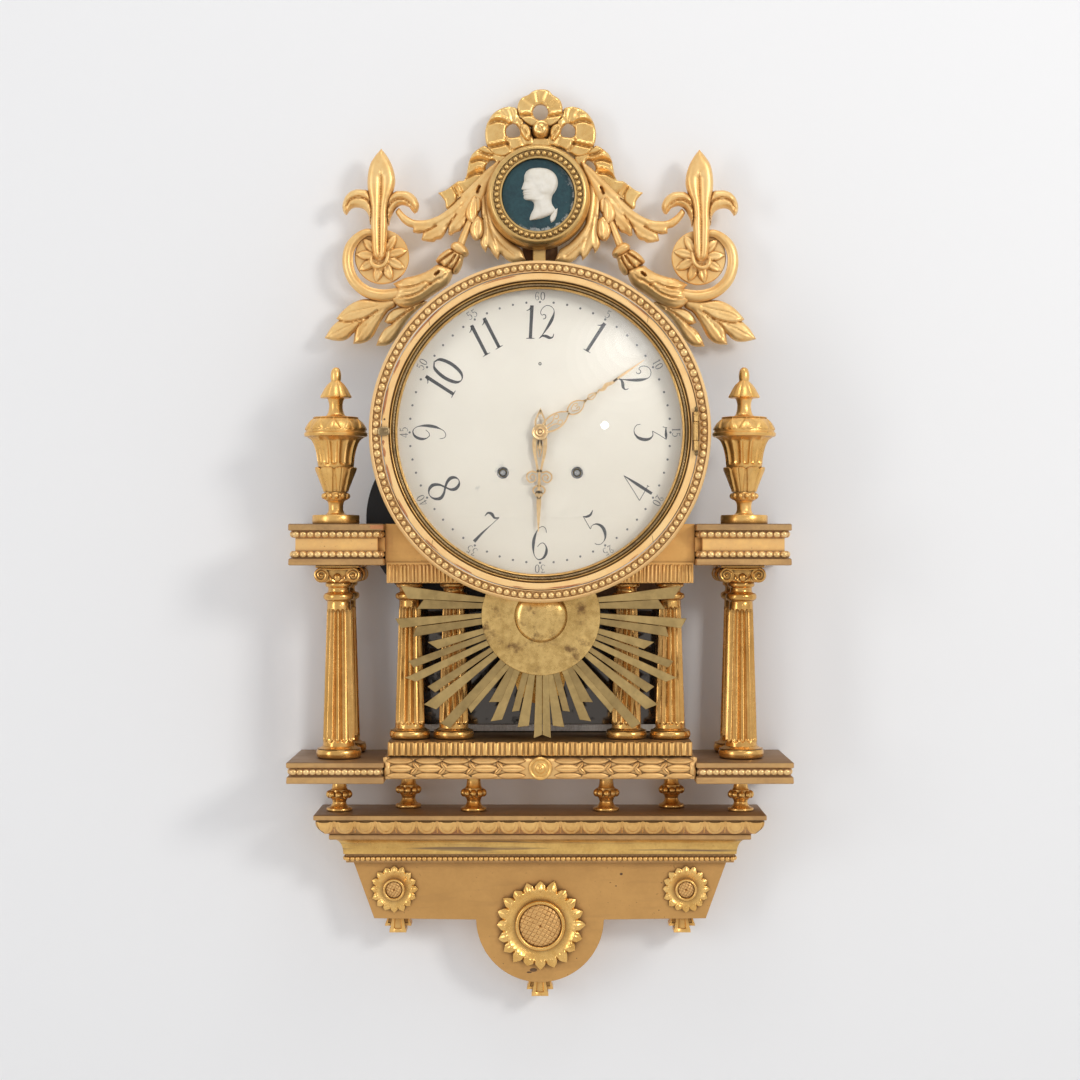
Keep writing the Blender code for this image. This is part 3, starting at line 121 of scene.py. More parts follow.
class Carving:
    def __init__(self):
        self.points = []
        self.faces = []
        self.count = 0

    def add(self, points, faces):
        points = np.asarray(points, float).reshape(-1, 3)
        self.faces += [tuple(int(i) + self.count for i in face) for face in faces]
        self.points.append(points)
        self.count += len(points)
        return self

    def sheet(self, grid, wrapRows=False, wrapCols=False, caps=False):
        rows, cols = grid.shape[:2]
        i = np.arange(rows if wrapRows else rows - 1)[:, None]
        j = np.arange(cols if wrapCols else cols - 1)[None, :]
        a = i * cols + j
        b = i * cols + (j + 1) % cols
        c = (i + 1) % rows * cols + (j + 1) % cols
        d = (i + 1) % rows * cols + j
        quads = np.stack(np.broadcast_arrays(a, b, c, d), -1).reshape(-1, 4)
        faces = quads.tolist()
        if caps:
            faces.append(list(range(cols))[::-1])
            faces.append([(rows - 1) * cols + k for k in range(cols)])
        return self.add(grid, faces)

    def spun(self, profile, centre, steps=48, facing=False, shape=None, closed=None):
        # profile: (radius, level); centre: (across, out) or, facing, (across, up)
        profile = np.array(profile, float)
        theta = np.arange(steps) * tau / steps
        radius = np.repeat(profile[:, :1], steps, 1)
        level = np.repeat(profile[:, 1:], steps, 1)
        if shape:
            radius, level = shape(theta[None, :], radius, level)
        one = centre[0] + radius * np.cos(theta)
        two = centre[1] + radius * np.sin(theta)
        grid = np.stack([one, two, level] if facing else [one, level, two], -1)
        ring = profile[0, 0] > 1e-6 and profile[-1, 0] > 1e-6 if closed is None else closed
        return self.sheet(grid, wrapRows=ring, wrapCols=True)

    def rope(self, line, radius, sides=10, flat=1.0, ring=False, shape=None):
        # a round or flattened rod on a line of (across, up, out)
        line = np.array(line, float)
        count = len(line)
        if ring:
            around = np.vstack([line[-1:], line, line[:1]])
            across = sideways(around)[1][1:-1]
        else:
            across = sideways(line)[1]
        radius = ease(radius, count)[:, None]
        a = np.arange(sides) * tau / sides
        scale = np.ones((count, sides))
        if shape:
            scale = shape(np.linspace(0, 1, count)[:, None], a[None, :])
        u = radius * np.cos(a) * scale
        w = radius * np.sin(a) * flat * scale
        grid = np.empty((count, sides, 3))
        grid[..., 0] = line[:, None, 0] + across[:, None, 0] * u
        grid[..., 1] = line[:, None, 1] + across[:, None, 1] * u
        grid[..., 2] = line[:, None, 2] + w
        return self.sheet(grid, wrapRows=ring, wrapCols=True, caps=not ring)

    def ball(self, centre, radius, sides=10, rings=6, squash=(1, 1, 1)):
        lat = np.linspace(-pi / 2, pi / 2, rings + 1)[:, None]
        lon = (np.arange(sides) * tau / sides)[None, :]
        grid = np.stack([centre[0] + radius * squash[0] * np.cos(lat) * np.cos(lon),
                         centre[1] + radius * squash[1] * np.cos(lat) * np.sin(lon),
                         centre[2] + radius * squash[2] * np.sin(lat) + 0 * lon], -1)
        return self.sheet(grid, wrapCols=True)

    def stack(self, levels, across, out, corner=0.7):
        # a block of mitred mouldings: levels of (height, inset), across and out are its limits
        loops = []
        for z, inset in levels:
            x0, x1 = across[0] + inset, across[1] - inset
            y0, y1 = out[0], out[1] - inset
            k = corner
            loops.append([(x0 + k, z, y0), (x1 - k, z, y0), (x1, z, y0 + k), (x1, z, y1 - k),
                          (x1 - k, z, y1), (x0 + k, z, y1), (x0, z, y1 - k), (x0, z, y0 + k)])
        return self.sheet(np.array(loops, float), wrapCols=True, caps=True)

    def slab(self, outlineLoop, back, front, bevel=0.6):
        # a flat board of any outline with softened front and back edges
        loop = np.array(outlineLoop, float)
        grown = np.vstack([loop[-1:], loop, loop[:1]])
        side = sideways(grown)[1][1:-1]
        area = np.sum(loop[:, 0] * np.roll(loop[:, 1], -1) - np.roll(loop[:, 0], -1) * loop[:, 1])
        inward = side * (1 if area > 0 else -1)
        rings = []
        for step, depth in ((bevel, back), (0, back + bevel), (0, front - bevel), (bevel, front)):
            rings.append(np.column_stack([loop + inward * step, np.full(len(loop), depth)]))
        return self.sheet(np.array(rings), wrapCols=True, caps=True)

    def pen(self, points, back, front, width, ring=False, count=0):
        # a flat stroke of varying width, as a quill or a piercing saw leaves it
        count = count or 8 * len(points)
        if ring:
            closed = list(points) + [points[0]]
            line = runThrough(closed, count + 1)[:-1]
            side = sideways(np.vstack([line[-1:], line, line[:1]]))[1][1:-1]
        else:
            line = runThrough(points, count)
            side = sideways(line)[1]
        half = ease(width, count)[:, None] / 2 if not callable(width) else width(line)[:, None] / 2
        one, two = line[:, :2] + side * half, line[:, :2] - side * half
        deep = np.full((count, 1), back)
        high = np.full((count, 1), front)
        grid = np.stack([np.hstack([one, deep]), np.hstack([one, high]),
                         np.hstack([two, high]), np.hstack([two, deep])], 1)
        return self.sheet(grid, wrapRows=ring, wrapCols=True, caps=not ring)

    def relief(self, loop, back, edge, rise, soft, cuts=(), holes=(), pitch=1.7):
        # a carved shape of any outline: a cushion with grooves, or ridges where the depth is below zero
        rings = [closedLine(ring, pitch) for ring in (loop, *holes)]
        corners = np.vstack(rings)
        links = []
        for ring in rings:
            links += [(len(links) + k, len(links) + (k + 1) % len(ring)) for k in range(len(ring))]
        low, high = corners.min(0), corners.max(0)
        gx, gz = np.meshgrid(np.arange(low[0], high[0], pitch), np.arange(low[1], high[1], 0.87 * pitch),
                indexing="ij")
        gx = gx + np.arange(gx.shape[1]) % 2 * pitch / 2
        inner = np.column_stack([gx.ravel(), gz.ravel()])
        inner = inner[within(inner, rings) & (edgeGap(inner, rings) > 0.55 * pitch)]
        drawn = [Vector(p) for p in np.vstack([corners, inner]).tolist()]
        points, faces = delaunay_2d_cdt(drawn, links, [], 1, 1e-4)[0:3:2]
        flat = np.array([(p.x, p.y) for p in points])
        middles = np.array([flat[face].mean(0) for face in faces])
        faces = [face for face, keep in zip(faces, within(middles, rings)) if keep]
        away = edgeGap(flat, rings)
        height = back + edge + rise * np.sqrt(1 - (1 - np.clip(away / soft, 0, 1)) ** 2)
        for line, depth, width in cuts:
            near = edgeGap(flat, [runThrough(line, 30)], False)
            height -= depth * np.exp(-(near / width) ** 2) * np.clip(away / 1.2, 0, 1)
        count = len(flat)
        used = {}
        for face in faces:
            for a, b in zip(face, face[1:] + face[:1]):
                used[(a, b)] = True
        walls = [(b, a, a + count, b + count) for a, b in used if (b, a) not in used]
        under = [[k + count for k in reversed(face)] for face in faces]
        grid = np.vstack([np.column_stack([flat, height]), np.column_stack([flat, np.full(count, back)])])
        return self.add(grid, faces + under + walls)

    def mirrored(self):
        other = Carving()
        for points in self.points:
            other.points.append(points * np.array([-1.0, 1.0, 1.0]))
        other.faces = [face[::-1] for face in self.faces]
        other.count = self.count
        return other

    def move(self, step):
        self.points = [points + np.array(step, float) for points in self.points]
        return self


def piece(name, carving, finish, body="case", replaces=None, crease=38.0):
    local = np.vstack(carving.points)
    world = np.column_stack([local[:, 0], -local[:, 2], local[:, 1]]) / 1000.0
    mesh = bpy.data.meshes.new(name)
    mesh.from_pydata(world.tolist(), [], carving.faces)
    bm = bmesh.new()
    bm.from_mesh(mesh)
    bmesh.ops.remove_doubles(bm, verts=bm.verts, dist=1e-6)
    bmesh.ops.dissolve_degenerate(bm, edges=bm.edges, dist=1e-7)
    bmesh.ops.recalc_face_normals(bm, faces=bm.faces)
    bm.to_mesh(mesh)
    bm.free()
    mesh.shade_smooth()
    mesh.set_sharp_from_angle(angle=radians(crease))
    thing = bpy.data.objects.new(name, mesh)
    bpy.context.scene.collection.objects.link(thing)
    mesh.materials.append(finishes[finish])
    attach(thing, body)
    if replaces:
        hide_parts(replaces)
    return thing


# Finishes


class Wire:
    # a shader value that takes ordinary arithmetic
    def __init__(self, tree, socket):
        self.tree = tree
        self.socket = socket

    def maths(self, operation, first, second):
        made = self.tree.nodes.new("ShaderNodeMath")
        made.operation = operation
        for place, value in zip(made.inputs, (first, second)):
            if isinstance(value, Wire):
                self.tree.links.new(value.socket, place)
            else:
                place.default_value = value
        return Wire(self.tree, made.outputs[0])

    def __add__(self, other):
        return self.maths("ADD", self, other)

    def __radd__(self, other):
        return self.maths("ADD", other, self)

    def __sub__(self, other):
        return self.maths("SUBTRACT", self, other)

    def __rsub__(self, other):
        return self.maths("SUBTRACT", other, self)

    def __mul__(self, other):
        return self.maths("MULTIPLY", self, other)

    def __rmul__(self, other):
        return self.maths("MULTIPLY", other, self)

    def atLeast(self, other):
        return self.maths("MAXIMUM", self, other)

    def atMost(self, other):
        return self.maths("MINIMUM", self, other)


class Finish:
    def __init__(self, name):
        self.material = bpy.data.materials.new(name)
        self.material.use_nodes = True
        self.tree = self.material.node_tree
        self.tree.nodes.clear()
        self.output = self.tree.nodes.new("ShaderNodeOutputMaterial")
        self.shader = self.tree.nodes.new("ShaderNodeBsdfPrincipled")
        self.tree.links.new(self.shader.outputs[0], self.output.inputs[0])

    def node(self, kind, settings, sockets, out=0):
        made = self.tree.nodes.new(kind)
        for key, value in settings.items():
            setattr(made, key, value)
        for key, value in sockets.items():
            if isinstance(value, Wire):
                self.tree.links.new(value.socket, made.inputs[key])
            else:
                made.inputs[key].default_value = value
        return Wire(self.tree, made.outputs[out])

    def place(self):
        return self.node("ShaderNodeTexCoord", {}, {}, "Object")

    def noise(self, scale, detail, rough, stretch=None):
        where = self.place()
        if stretch:
            where = self.node("ShaderNodeMapping", {}, {"Vector": where, "Scale": stretch})
        return self.node("ShaderNodeTexNoise", {},
                         {"Vector": where, "Scale": scale, "Detail": detail, "Roughness": rough})

    def band(self, value, low, high, first=0.0, last=1.0):  # a soft step from low to high
        return self.node("ShaderNodeMapRange", {"interpolation_type": "SMOOTHSTEP"},
                         {"Value": value, "From Min": low, "From Max": high, "To Min": first, "To Max": last})

    def tint(self, share, first, second):
        pair = {0: share, 6: first if isinstance(first, Wire) else (*first, 1.0),
                7: second if isinstance(second, Wire) else (*second, 1.0)}
        return self.node("ShaderNodeMix", {"data_type": "RGBA"}, pair, 2)

    def hollows(self, reach, samples=8):  # 1 in the open, 0 deep in a carved hollow
        return self.node("ShaderNodeAmbientOcclusion", {"samples": samples},
                         {"Distance": reach}, "AO")

    def edges(self, reach, samples=6):  # near 1 along outer edges
        inner = self.node("ShaderNodeAmbientOcclusion", {"samples": samples, "inside": True},
                          {"Distance": reach}, "AO")
        return 1.0 - inner

    def bump(self, height, strength, distance):
        return self.node("ShaderNodeBump", {}, {"Height": height, "Strength": strength, "Distance": distance})

    def give(self, **values):
        names = {"colour": "Base Color", "roughness": "Roughness", "metal": "Metallic", "normal": "Normal",
                 "ior": "IOR", "specular": "Specular IOR Level", "through": "Transmission Weight"}
        for key, value in values.items():
            place = self.shader.inputs[names[key]]
            if isinstance(value, Wire):
                self.tree.links.new(value.socket, place)
            else:
                place.default_value = (*value, 1.0) if key == "colour" else value
        return self.material


boleRed = (0.40, 0.12, 0.055)
gessoWhite = (0.80, 0.75, 0.68)
# dark brown for dirt in the hollows, which also paints the shade that falls there
dirtAndShadeBrown = (0.16, 0.075, 0.022)


def gilding(name, light, deep, dirtAndShade, metal, rough, wear=0.5, reach=0.007, patch=26.0, dirtAndShadeDepth=0.85,
            rub=0.0, gesso=0.25, grain=0.12, lay=(1.0, 1.0, 0.12), dust=0.0, specks=0.0):
    f = Finish(name)
    broad = f.noise(patch, 5.0, 0.6)
    fine = f.noise(patch * 9, 4.0, 0.6)
    streak = f.noise(patch * 3, 3.0, 0.6, stretch=lay)
    colour = f.tint(f.band(broad * 0.7 + fine * 0.3, 0.32, 0.70), deep, light)
    # painted shade: ambient occlusion finds the carved hollows and darkens them towards the dirt colour, dirt
    # and shade together
    openness = f.hollows(reach)
    hollow = f.band(openness, 0.35, 0.92, 1.0, 0.0)
    colour = f.tint(hollow * dirtAndShadeDepth, colour, dirtAndShade)
    rubbed = f.band(streak, 0.52, 0.68) * rub  # leaf rubbed thin down to its dull ground
    colour = f.tint(rubbed, colour, (dirtAndShade[0] * 2.2, dirtAndShade[1] * 2.4, dirtAndShade[2] * 2.8))
    worn = f.band(f.edges(0.0022) + fine * 0.9 - 0.62, 0.12, 0.42) * f.band(broad, 0.42, 0.6) * wear
    colour = f.tint(worn, colour, boleRed)
    chipped = f.band(worn * fine, 0.30, 0.42) * gesso
    colour = f.tint(chipped, colour, gessoWhite)
    if dust:  # dull brown on surfaces that face up
        facing = f.node("ShaderNodeSeparateXYZ", {}, {0: f.node("ShaderNodeNewGeometry", {}, {}, "Normal")},
                        2)
        settled = f.band(facing, 0.55, 0.95) * (0.65 + broad * 0.7)
        colour = f.tint((settled * dust).atMost(1.0), colour, (0.20, 0.115, 0.06))
    if specks:  # knocks and fly spots
        spotted = f.band(f.noise(patch * 14, 2.0, 0.5), 0.70, 0.745) * f.band(broad, 0.45, 0.62)
        colour = f.tint(spotted * specks, colour, dirtAndShade)
    dull = (hollow * 0.35 + rubbed * 0.5 + worn * 0.9).atMost(1.0)
    roughness = (rough + (fine - 0.5) * 0.22 + (broad - 0.5) * 0.18 + dull * 0.22).atLeast(0.12)
    normal = f.bump(f.noise(160.0, 2.0, 0.5) * 0.5 + broad * 0.9, grain, 0.0012)
    return f.give(colour=colour, roughness=roughness, metal=metal * (1.0 - dull), normal=normal)


finishes = {
    "burnished": gilding("burnishedGold", (1.0, 0.64, 0.22), (0.80, 0.44, 0.115), dirtAndShadeBrown, 0.95, 0.27,
        wear=0.2),
    "bow": gilding("bowGold", (1.0, 0.70, 0.29), (0.86, 0.52, 0.17), (0.24, 0.105, 0.025), 0.80, 0.31,
                   wear=0.1),
    "urns": gilding("urnGold", (1.0, 0.625, 0.215), (0.82, 0.46, 0.125), dirtAndShadeBrown, 0.80, 0.31, wear=0.2,
                    rub=0.25, reach=0.0045),
    "columns": gilding("rubbedGold", (0.90, 0.54, 0.175), (0.64, 0.34, 0.09), dirtAndShadeBrown, 0.90, 0.24,
        wear=0.2, rub=0.3,
                       reach=0.0045, patch=9.0, lay=(1.0, 1.0, 0.08), grain=0.03),
    "leaves": gilding("mattGold", (1.0, 0.69, 0.30), (0.93, 0.545, 0.185), (0.36, 0.15, 0.028), 0.58, 0.38,
        wear=0.1),
    "band": gilding("ochreGold", (1.0, 0.65, 0.24), (1.0, 0.585, 0.190), (0.32, 0.145, 0.035), 0.42, 0.46,
                    wear=0.2,
                    dust=0.4, specks=0.7),
    "rail": gilding("railGold", (0.93, 0.545, 0.175), (0.84, 0.455, 0.13), (0.30, 0.13, 0.03), 0.42, 0.46,
                    wear=0.2, rub=0.15,
                    lay=(0.12, 1.0, 1.0), dust=0.4, specks=0.8),
    "fillet": gilding("filletGold", (0.66, 0.39, 0.145), (0.48, 0.27, 0.105), (0.17, 0.08, 0.025), 0.50,
        0.42, wear=0.45,
                      rub=0.5, gesso=0.5, lay=(0.10, 1.0, 1.0), dust=0.75, specks=0.6),
    "cap": gilding("capGold", (0.56, 0.335, 0.13), (0.38, 0.22, 0.09), (0.16, 0.08, 0.03), 0.40, 0.45,
                   wear=0.5, rub=0.7, gesso=0.5,
                   lay=(0.10, 1.0, 1.0), dust=0.75, specks=0.6),
    "beads": gilding("beadGold", (1.0, 0.70, 0.32), (0.76, 0.465, 0.175), (0.24, 0.115, 0.04), 0.66, 0.31,
        wear=0.5,
                     reach=0.004, patch=60.0, gesso=1.0, dirtAndShadeDepth=0.66),
    "laurel": gilding("laurelGold", (1.0, 0.635, 0.25), (0.83, 0.485, 0.17), (0.15, 0.065, 0.02), 0.62,
        0.37, wear=0.1,
                      reach=0.004, dust=0.6),
    "reeds": gilding("reedGold", (0.95, 0.58, 0.20), (0.74, 0.41, 0.122), (0.13, 0.055, 0.015), 0.68, 0.35,
        wear=0.1,
                     reach=0.004, dust=0.8),
    "seeds": gilding("seedGold", (0.84, 0.51, 0.19), (0.70, 0.39, 0.13), (0.20, 0.08, 0.02), 0.55, 0.44,
        wear=0.0,
                     reach=0.0016),
    "ring": gilding("ringGold", (1.0, 0.685, 0.305), (0.95, 0.575, 0.225), (0.34, 0.17, 0.05), 0.24, 0.46,
                    wear=0.3,
                    gesso=0.9, specks=0.7, dirtAndShadeDepth=0.62),
    "hollow": gilding("streakedGold", (0.90, 0.585, 0.185), (0.67, 0.39, 0.11), (0.13, 0.075, 0.03), 0.80,
        0.32, wear=0.1, patch=40.0, rub=1.0,
                      lay=(0.05, 1.0, 1.6), grain=0.04),
    "frame": gilding("frameGold", (0.88, 0.58, 0.215), (0.66, 0.42, 0.145), (0.22, 0.12, 0.04), 0.80, 0.31,
        wear=0.2, rub=0.2),
    "apron": gilding("bronzeGold", (0.65, 0.355, 0.110), (0.565, 0.30, 0.088), (0.17, 0.08, 0.022), 0.40,
        0.50, wear=0.1,
                     rub=0.2, lay=(0.15, 1.0, 1.0), dust=0.6, specks=0.9),
}


def paintFinish(name, light, dark, rough, scale=18.0, grain=0.2):
    f = Finish(name)
    broad = f.noise(scale, 5.0, 0.6)
    fine = f.noise(scale * 12, 3.0, 0.6, stretch=(1.0, 1.0, 0.25))
    colour = f.tint(f.band(broad * 0.6 + fine * 0.4, 0.35, 0.65), dark, light)
    return f.give(colour=colour, roughness=rough + (fine - 0.5) * 0.2, normal=f.bump(fine, grain, 0.0008))


def brassFinish(name, light, dark, stainAndShade, rough, spots=0.5, metal=0.95, patch=30.0, beaten=0.0):
    f = Finish(name)
    broad = f.noise(patch, 6.0, 0.62)
    fine = f.noise(patch * 7, 4.0, 0.6)
    colour = f.tint(f.band(broad * 0.55 + fine * 0.45, 0.35, 0.66), dark, light)
    mottled = f.noise(patch * 2.3, 7.0, 0.68)
    dents = f.noise(patch, 2.0, 0.5)
    stained = f.band(mottled, 0.53, 0.70) * spots
    colour = f.tint(stained, colour, stainAndShade)
    # painted shade: ambient occlusion darkens the hollows to the stain colour, tarnish and shade together
    hollow = f.band(f.hollows(0.005), 0.3, 0.9, 1.0, 0.0)
    colour = f.tint(hollow * 0.7, colour, stainAndShade)
    roughness = rough + (fine - 0.5) * 0.25 + stained * 0.2
    normal = f.bump(fine * 0.7 + mottled * 0.5 + dents * beaten, 0.15, 0.0006)
    return f.give(colour=colour, roughness=roughness.atLeast(0.1), metal=metal * (1.0 - stained * 0.45),
                  normal=normal)


finishes["brass"] = brassFinish("bezelBrass", (0.84, 0.54, 0.20), (0.62, 0.36, 0.12), (0.16, 0.075, 0.025),
        0.36,
                                spots=0.3)
finishes["ropeBrass"] = brassFinish("ropeBrass", (0.46, 0.33, 0.17), (0.26, 0.18, 0.09),
        (0.08, 0.05, 0.025), 0.34)
finishes["rays"] = brassFinish("rayBrass", (0.60, 0.42, 0.170), (0.44, 0.30, 0.118), (0.12, 0.07, 0.025),
        0.40,
                               spots=0.3, patch=16.0)
# painted shade: a darker copy of the ray brass for the lower strip of each pair
finishes["raysDark"] = brassFinish("shadedBrass", (0.50, 0.345, 0.14), (0.37, 0.25, 0.10),
        (0.12, 0.07, 0.025), 0.38, spots=0.3,
                                   patch=16.0)
finishes["sun"] = brassFinish("stainedBrass", (0.92, 0.62, 0.23), (0.58, 0.36, 0.115), (0.18, 0.09, 0.028),
        0.28,
                              spots=0.95, patch=20.0, beaten=60.0)
finishes["handBrass"] = brassFinish("handBrass", (0.94, 0.66, 0.34), (0.76, 0.49, 0.22), (0.30, 0.16, 0.06),
        0.36,
                                    spots=0.25)
finishes["hinge"] = brassFinish("hingeBrass", (0.78, 0.50, 0.19), (0.52, 0.31, 0.105), (0.12, 0.06, 0.02),
        0.30, spots=0.5)
finishes["darkBrass"] = brassFinish("darkBrass", (0.26, 0.18, 0.085), (0.14, 0.10, 0.05),
        (0.05, 0.035, 0.018), 0.42)
finishes["bole"] = paintFinish("redBole", (0.56, 0.235, 0.085), (0.42, 0.145, 0.05), 0.55, scale=150.0)
finishes["movement"] = brassFinish("movementBrass", (0.72, 0.53, 0.22), (0.58, 0.41, 0.16),
        (0.3, 0.2, 0.08), 0.3,
                                   spots=0.2)
finishes["bob"] = brassFinish("bobGold", (0.90, 0.50, 0.12), (0.72, 0.34, 0.06), (0.2, 0.09, 0.02), 0.25,
        spots=0.2)


def steelFinish(name, dark, light):
    f = Finish(name)
    fine = f.noise(300.0, 4.0, 0.6, stretch=(1.0, 0.15, 1.0))
    colour = f.tint(f.band(fine, 0.35, 0.65), dark, light)
    return f.give(colour=colour, roughness=0.3 + fine * 0.2, metal=1.0, normal=f.bump(fine, 0.1, 0.0004))


def pineFinish(name):
    f = Finish(name)
    grain = f.noise(60.0, 6.0, 0.65, stretch=(1.0, 1.0, 0.06))
    knots = f.noise(9.0, 3.0, 0.5)
    colour = f.tint(f.band(grain, 0.3, 0.7), (0.07, 0.032, 0.012), (0.19, 0.10, 0.042))
    colour = f.tint(f.band(knots, 0.6, 0.75) * 0.6, colour, (0.05, 0.022, 0.009))
    return f.give(colour=colour, roughness=0.62 + grain * 0.2, normal=f.bump(grain, 0.3, 0.001))


def mirrorFinish(name):
    f = Finish(name)
    spots = f.noise(70.0, 7.0, 0.7)
    clouds = f.noise(12.0, 4.0, 0.6)
    foxed = f.band(spots * 0.6 + clouds * 0.4, 0.52, 0.62)
    # painted reflection: the near-black colour stands for a dark room seen in the glass; the foxed spots are
    # the mirror's own decay
    colour = f.tint(foxed, (0.105, 0.092, 0.080), (0.03, 0.026, 0.022))
    return f.give(colour=colour, roughness=0.06 + foxed * 0.25, metal=0.9)


finishes["steel"] = steelFinish("plainSteel", (0.30, 0.29, 0.28), (0.50, 0.49, 0.47))
finishes["darkSteel"] = steelFinish("darkSteel", (0.10, 0.095, 0.09), (0.22, 0.21, 0.20))
finishes["black"] = paintFinish("blackPaint", (0.012, 0.011, 0.010), (0.004, 0.004, 0.004), 0.42)
finishes["pine"] = pineFinish("agedPine")
finishes["mirror"] = mirrorFinish("foxedMirrorPaintedDark")
# painted highlight: the pale colour stands for the light caught on the mirror's bevel
finishes["glassEdge"] = paintFinish("glassEdge", (0.80, 0.76, 0.70), (0.55, 0.51, 0.45), 0.3, scale=60.0)
finishes["ink"] = paintFinish("dialInk", (0.062, 0.060, 0.062), (0.036, 0.035, 0.036), 0.5, scale=150.0,
        grain=0.02)
finishes["inkPale"] = paintFinish("dialInkThin", (0.17, 0.165, 0.16), (0.11, 0.105, 0.10), 0.5, scale=150.0,
                                  grain=0.02)


# Worn places on the dial: across, up and radius
dialMarks = ((-42.0, -43.4, 17.0), (40.0, -43.4, 12.0), (-66.0, -62.0, 9.0), (-44.0, -32.0, 8.0),
             (0.0, 0.0, 13.0))
# dial colours: two cloud tones, then a darker, warmer tone painted in as shade towards the bottom
dialTone = ((0.725, 0.670, 0.585), (0.765, 0.710, 0.625), (0.63, 0.56, 0.455))


def dialFinish(name):
    f = Finish(name)
    place = f.place()
    clouds = f.noise(9.0, 4.0, 0.55)
    specks = f.noise(240.0, 5.0, 0.7)
    colour = f.tint(f.band(clouds, 0.35, 0.65), dialTone[0], dialTone[1])
    up = f.node("ShaderNodeSeparateXYZ", {}, {0: place}, 2)
    # painted shade: the dial grows darker and warmer towards the bottom
    colour = f.tint(f.band(up, -0.15, 0.10, 0.5, 0.0), colour, dialTone[2])
    smudge = None
    for x, z, size in dialMarks:
        gone = f.node("ShaderNodeVectorMath", {"operation": "DISTANCE"},
                      {0: place, 1: (x / 1000.0, -0.1331, z / 1000.0)}, "Value")
        near = f.band(gone, 0.35 * size / 1000.0, size / 1000.0, 1.0, 0.0)
        smudge = near if smudge is None else smudge.atLeast(near)
    rubbed = f.noise(95.0, 5.0, 0.7)
    marks = smudge * f.band(rubbed, 0.50, 0.66)
    colour = f.tint(marks * 0.55, colour, (0.40, 0.385, 0.36))
    colour = f.tint(f.band(specks, 0.70, 0.78) * 0.25, colour, (0.45, 0.40, 0.33))
    return f.give(colour=colour, roughness=0.30 + marks * 0.25 + (specks - 0.5) * 0.05, specular=0.4)


finishes["dial"] = dialFinish("dialEnamel")


def glassFinish(name):
    f = Finish(name)
    f.give(colour=(0.985, 0.992, 0.988), roughness=0.015, ior=1.45, through=1.0)
    clear = f.node("ShaderNodeBsdfTransparent", {}, {"Color": (0.97, 0.98, 0.975, 1.0)})
    lamp = f.node("ShaderNodeLightPath", {}, {}, "Is Shadow Ray")
    mixed = f.node("ShaderNodeMixShader", {}, {0: lamp, 1: Wire(f.tree, f.shader.outputs[0]), 2: clear})
    f.tree.links.new(mixed.socket, f.output.inputs[0])
    return f.material


def plaqueFinish(name):
    f = Finish(name)
    broad = f.noise(45.0, 5.0, 0.6)
    fine = f.noise(300.0, 4.0, 0.6)
    colour = f.tint(f.band(broad * 0.6 + fine * 0.4, 0.35, 0.65), (0.006, 0.034, 0.045),
                    (0.016, 0.066, 0.078))
    aged = f.noise(60.0, 5.0, 0.65, stretch=(1.0, 1.0, 0.30))
    colour = f.tint(f.band(aged, 0.56, 0.66) * 0.55, colour, (0.055, 0.062, 0.085))
    away = f.node("ShaderNodeVectorMath", {"operation": "DISTANCE"},
                  {0: f.place(), 1: (-0.0019, -0.0505, 0.2687)}, "Value")
    side = f.node("ShaderNodeSeparateXYZ", {}, {0: f.place()}, 0) - f.node("ShaderNodeSeparateXYZ", {},
            {0: f.place()}, 2) * 0.9
    edge = f.band(side, -0.26, -0.19)  # the chips sit at the right and low edge
    chips = f.band(away + (f.noise(130.0, 5.0, 0.7) - 0.5) * 0.030, 0.0375, 0.0400) * edge
    colour = f.tint(chips * 0.75, colour, (0.50, 0.52, 0.50))
    return f.give(colour=colour, roughness=0.5 + fine * 0.15, normal=f.bump(fine + chips * 0.6, 0.2, 0.0006))


def bisqueFinish(name):
    f = Finish(name)
    fine = f.noise(120.0, 5.0, 0.6)
    # painted shade: ambient occlusion darkens the cameo's hollows to brown
    hollow = f.band(f.hollows(0.003), 0.3, 0.95, 1.0, 0.0)
    colour = f.tint(f.band(fine, 0.3, 0.7), (0.76, 0.71, 0.60), (0.83, 0.79, 0.70))
    colour = f.tint(hollow * 0.55, colour, (0.40, 0.34, 0.25))
    return f.give(colour=colour, roughness=0.5 + fine * 0.1, normal=f.bump(fine, 0.12, 0.0005))


finishes["glass"] = glassFinish("doorGlass")
finishes["plaque"] = plaqueFinish("tealPlaque")
finishes["bisque"] = bisqueFinish("whiteBisque")
print("finishes made:", len(finishes))

# Turned and moulded woodwork


def swell(r0, r1, z0, z1, out, count=7):  # a torus, or a cove where out is negative
    t = np.linspace(0, 1, count)
    return [(r0 + (r1 - r0) * k + out * sin(pi * k), z0 + (z1 - z0) * (1 - cos(pi * k)) / 2) for k in t]


def straight(r0, r1, z0, z1, count=6):
    return [(r0 + (r1 - r0) * k, z0 + (z1 - z0) * k) for k in np.linspace(0, 1, count)]


def softStep(value, width):
    return 1 / (1 + np.exp(-np.clip(value / width, -40, 40)))


def fluted(count, low, high, depth, share=0.43):
    def shape(theta, radius, level):
        part = (theta * count / tau) % 1.0 - 0.5
        half = radius * tau / count * share
        past = np.maximum(np.maximum(low - level, level - high), 0.0)
        inside = 1 - (part / share) ** 2 - (past / half) ** 2
        near = (level > low - 12) & (level < high + 12)
        return radius - depth * np.sqrt(np.maximum(inside, 0)) * near, level
    return shape


outerColumn = {"across": 221.0, "front": 92.0, "rear": 27.5, "top": -143.5, "foot": -355.6, "deep": 20.0,
               "sizes": (13.8, 16.8, 12.9, 17.6, 24.8), "fluteDepth": 3.2}
innerColumn = {"second": 95.0, "first": 143.0, "out": 91.0, "top": -163.1, "foot": -334.1,
               "sizes": (14.2, 15.8, 11.6, 16.2, 22.4), "fluteDepth": 2.8}


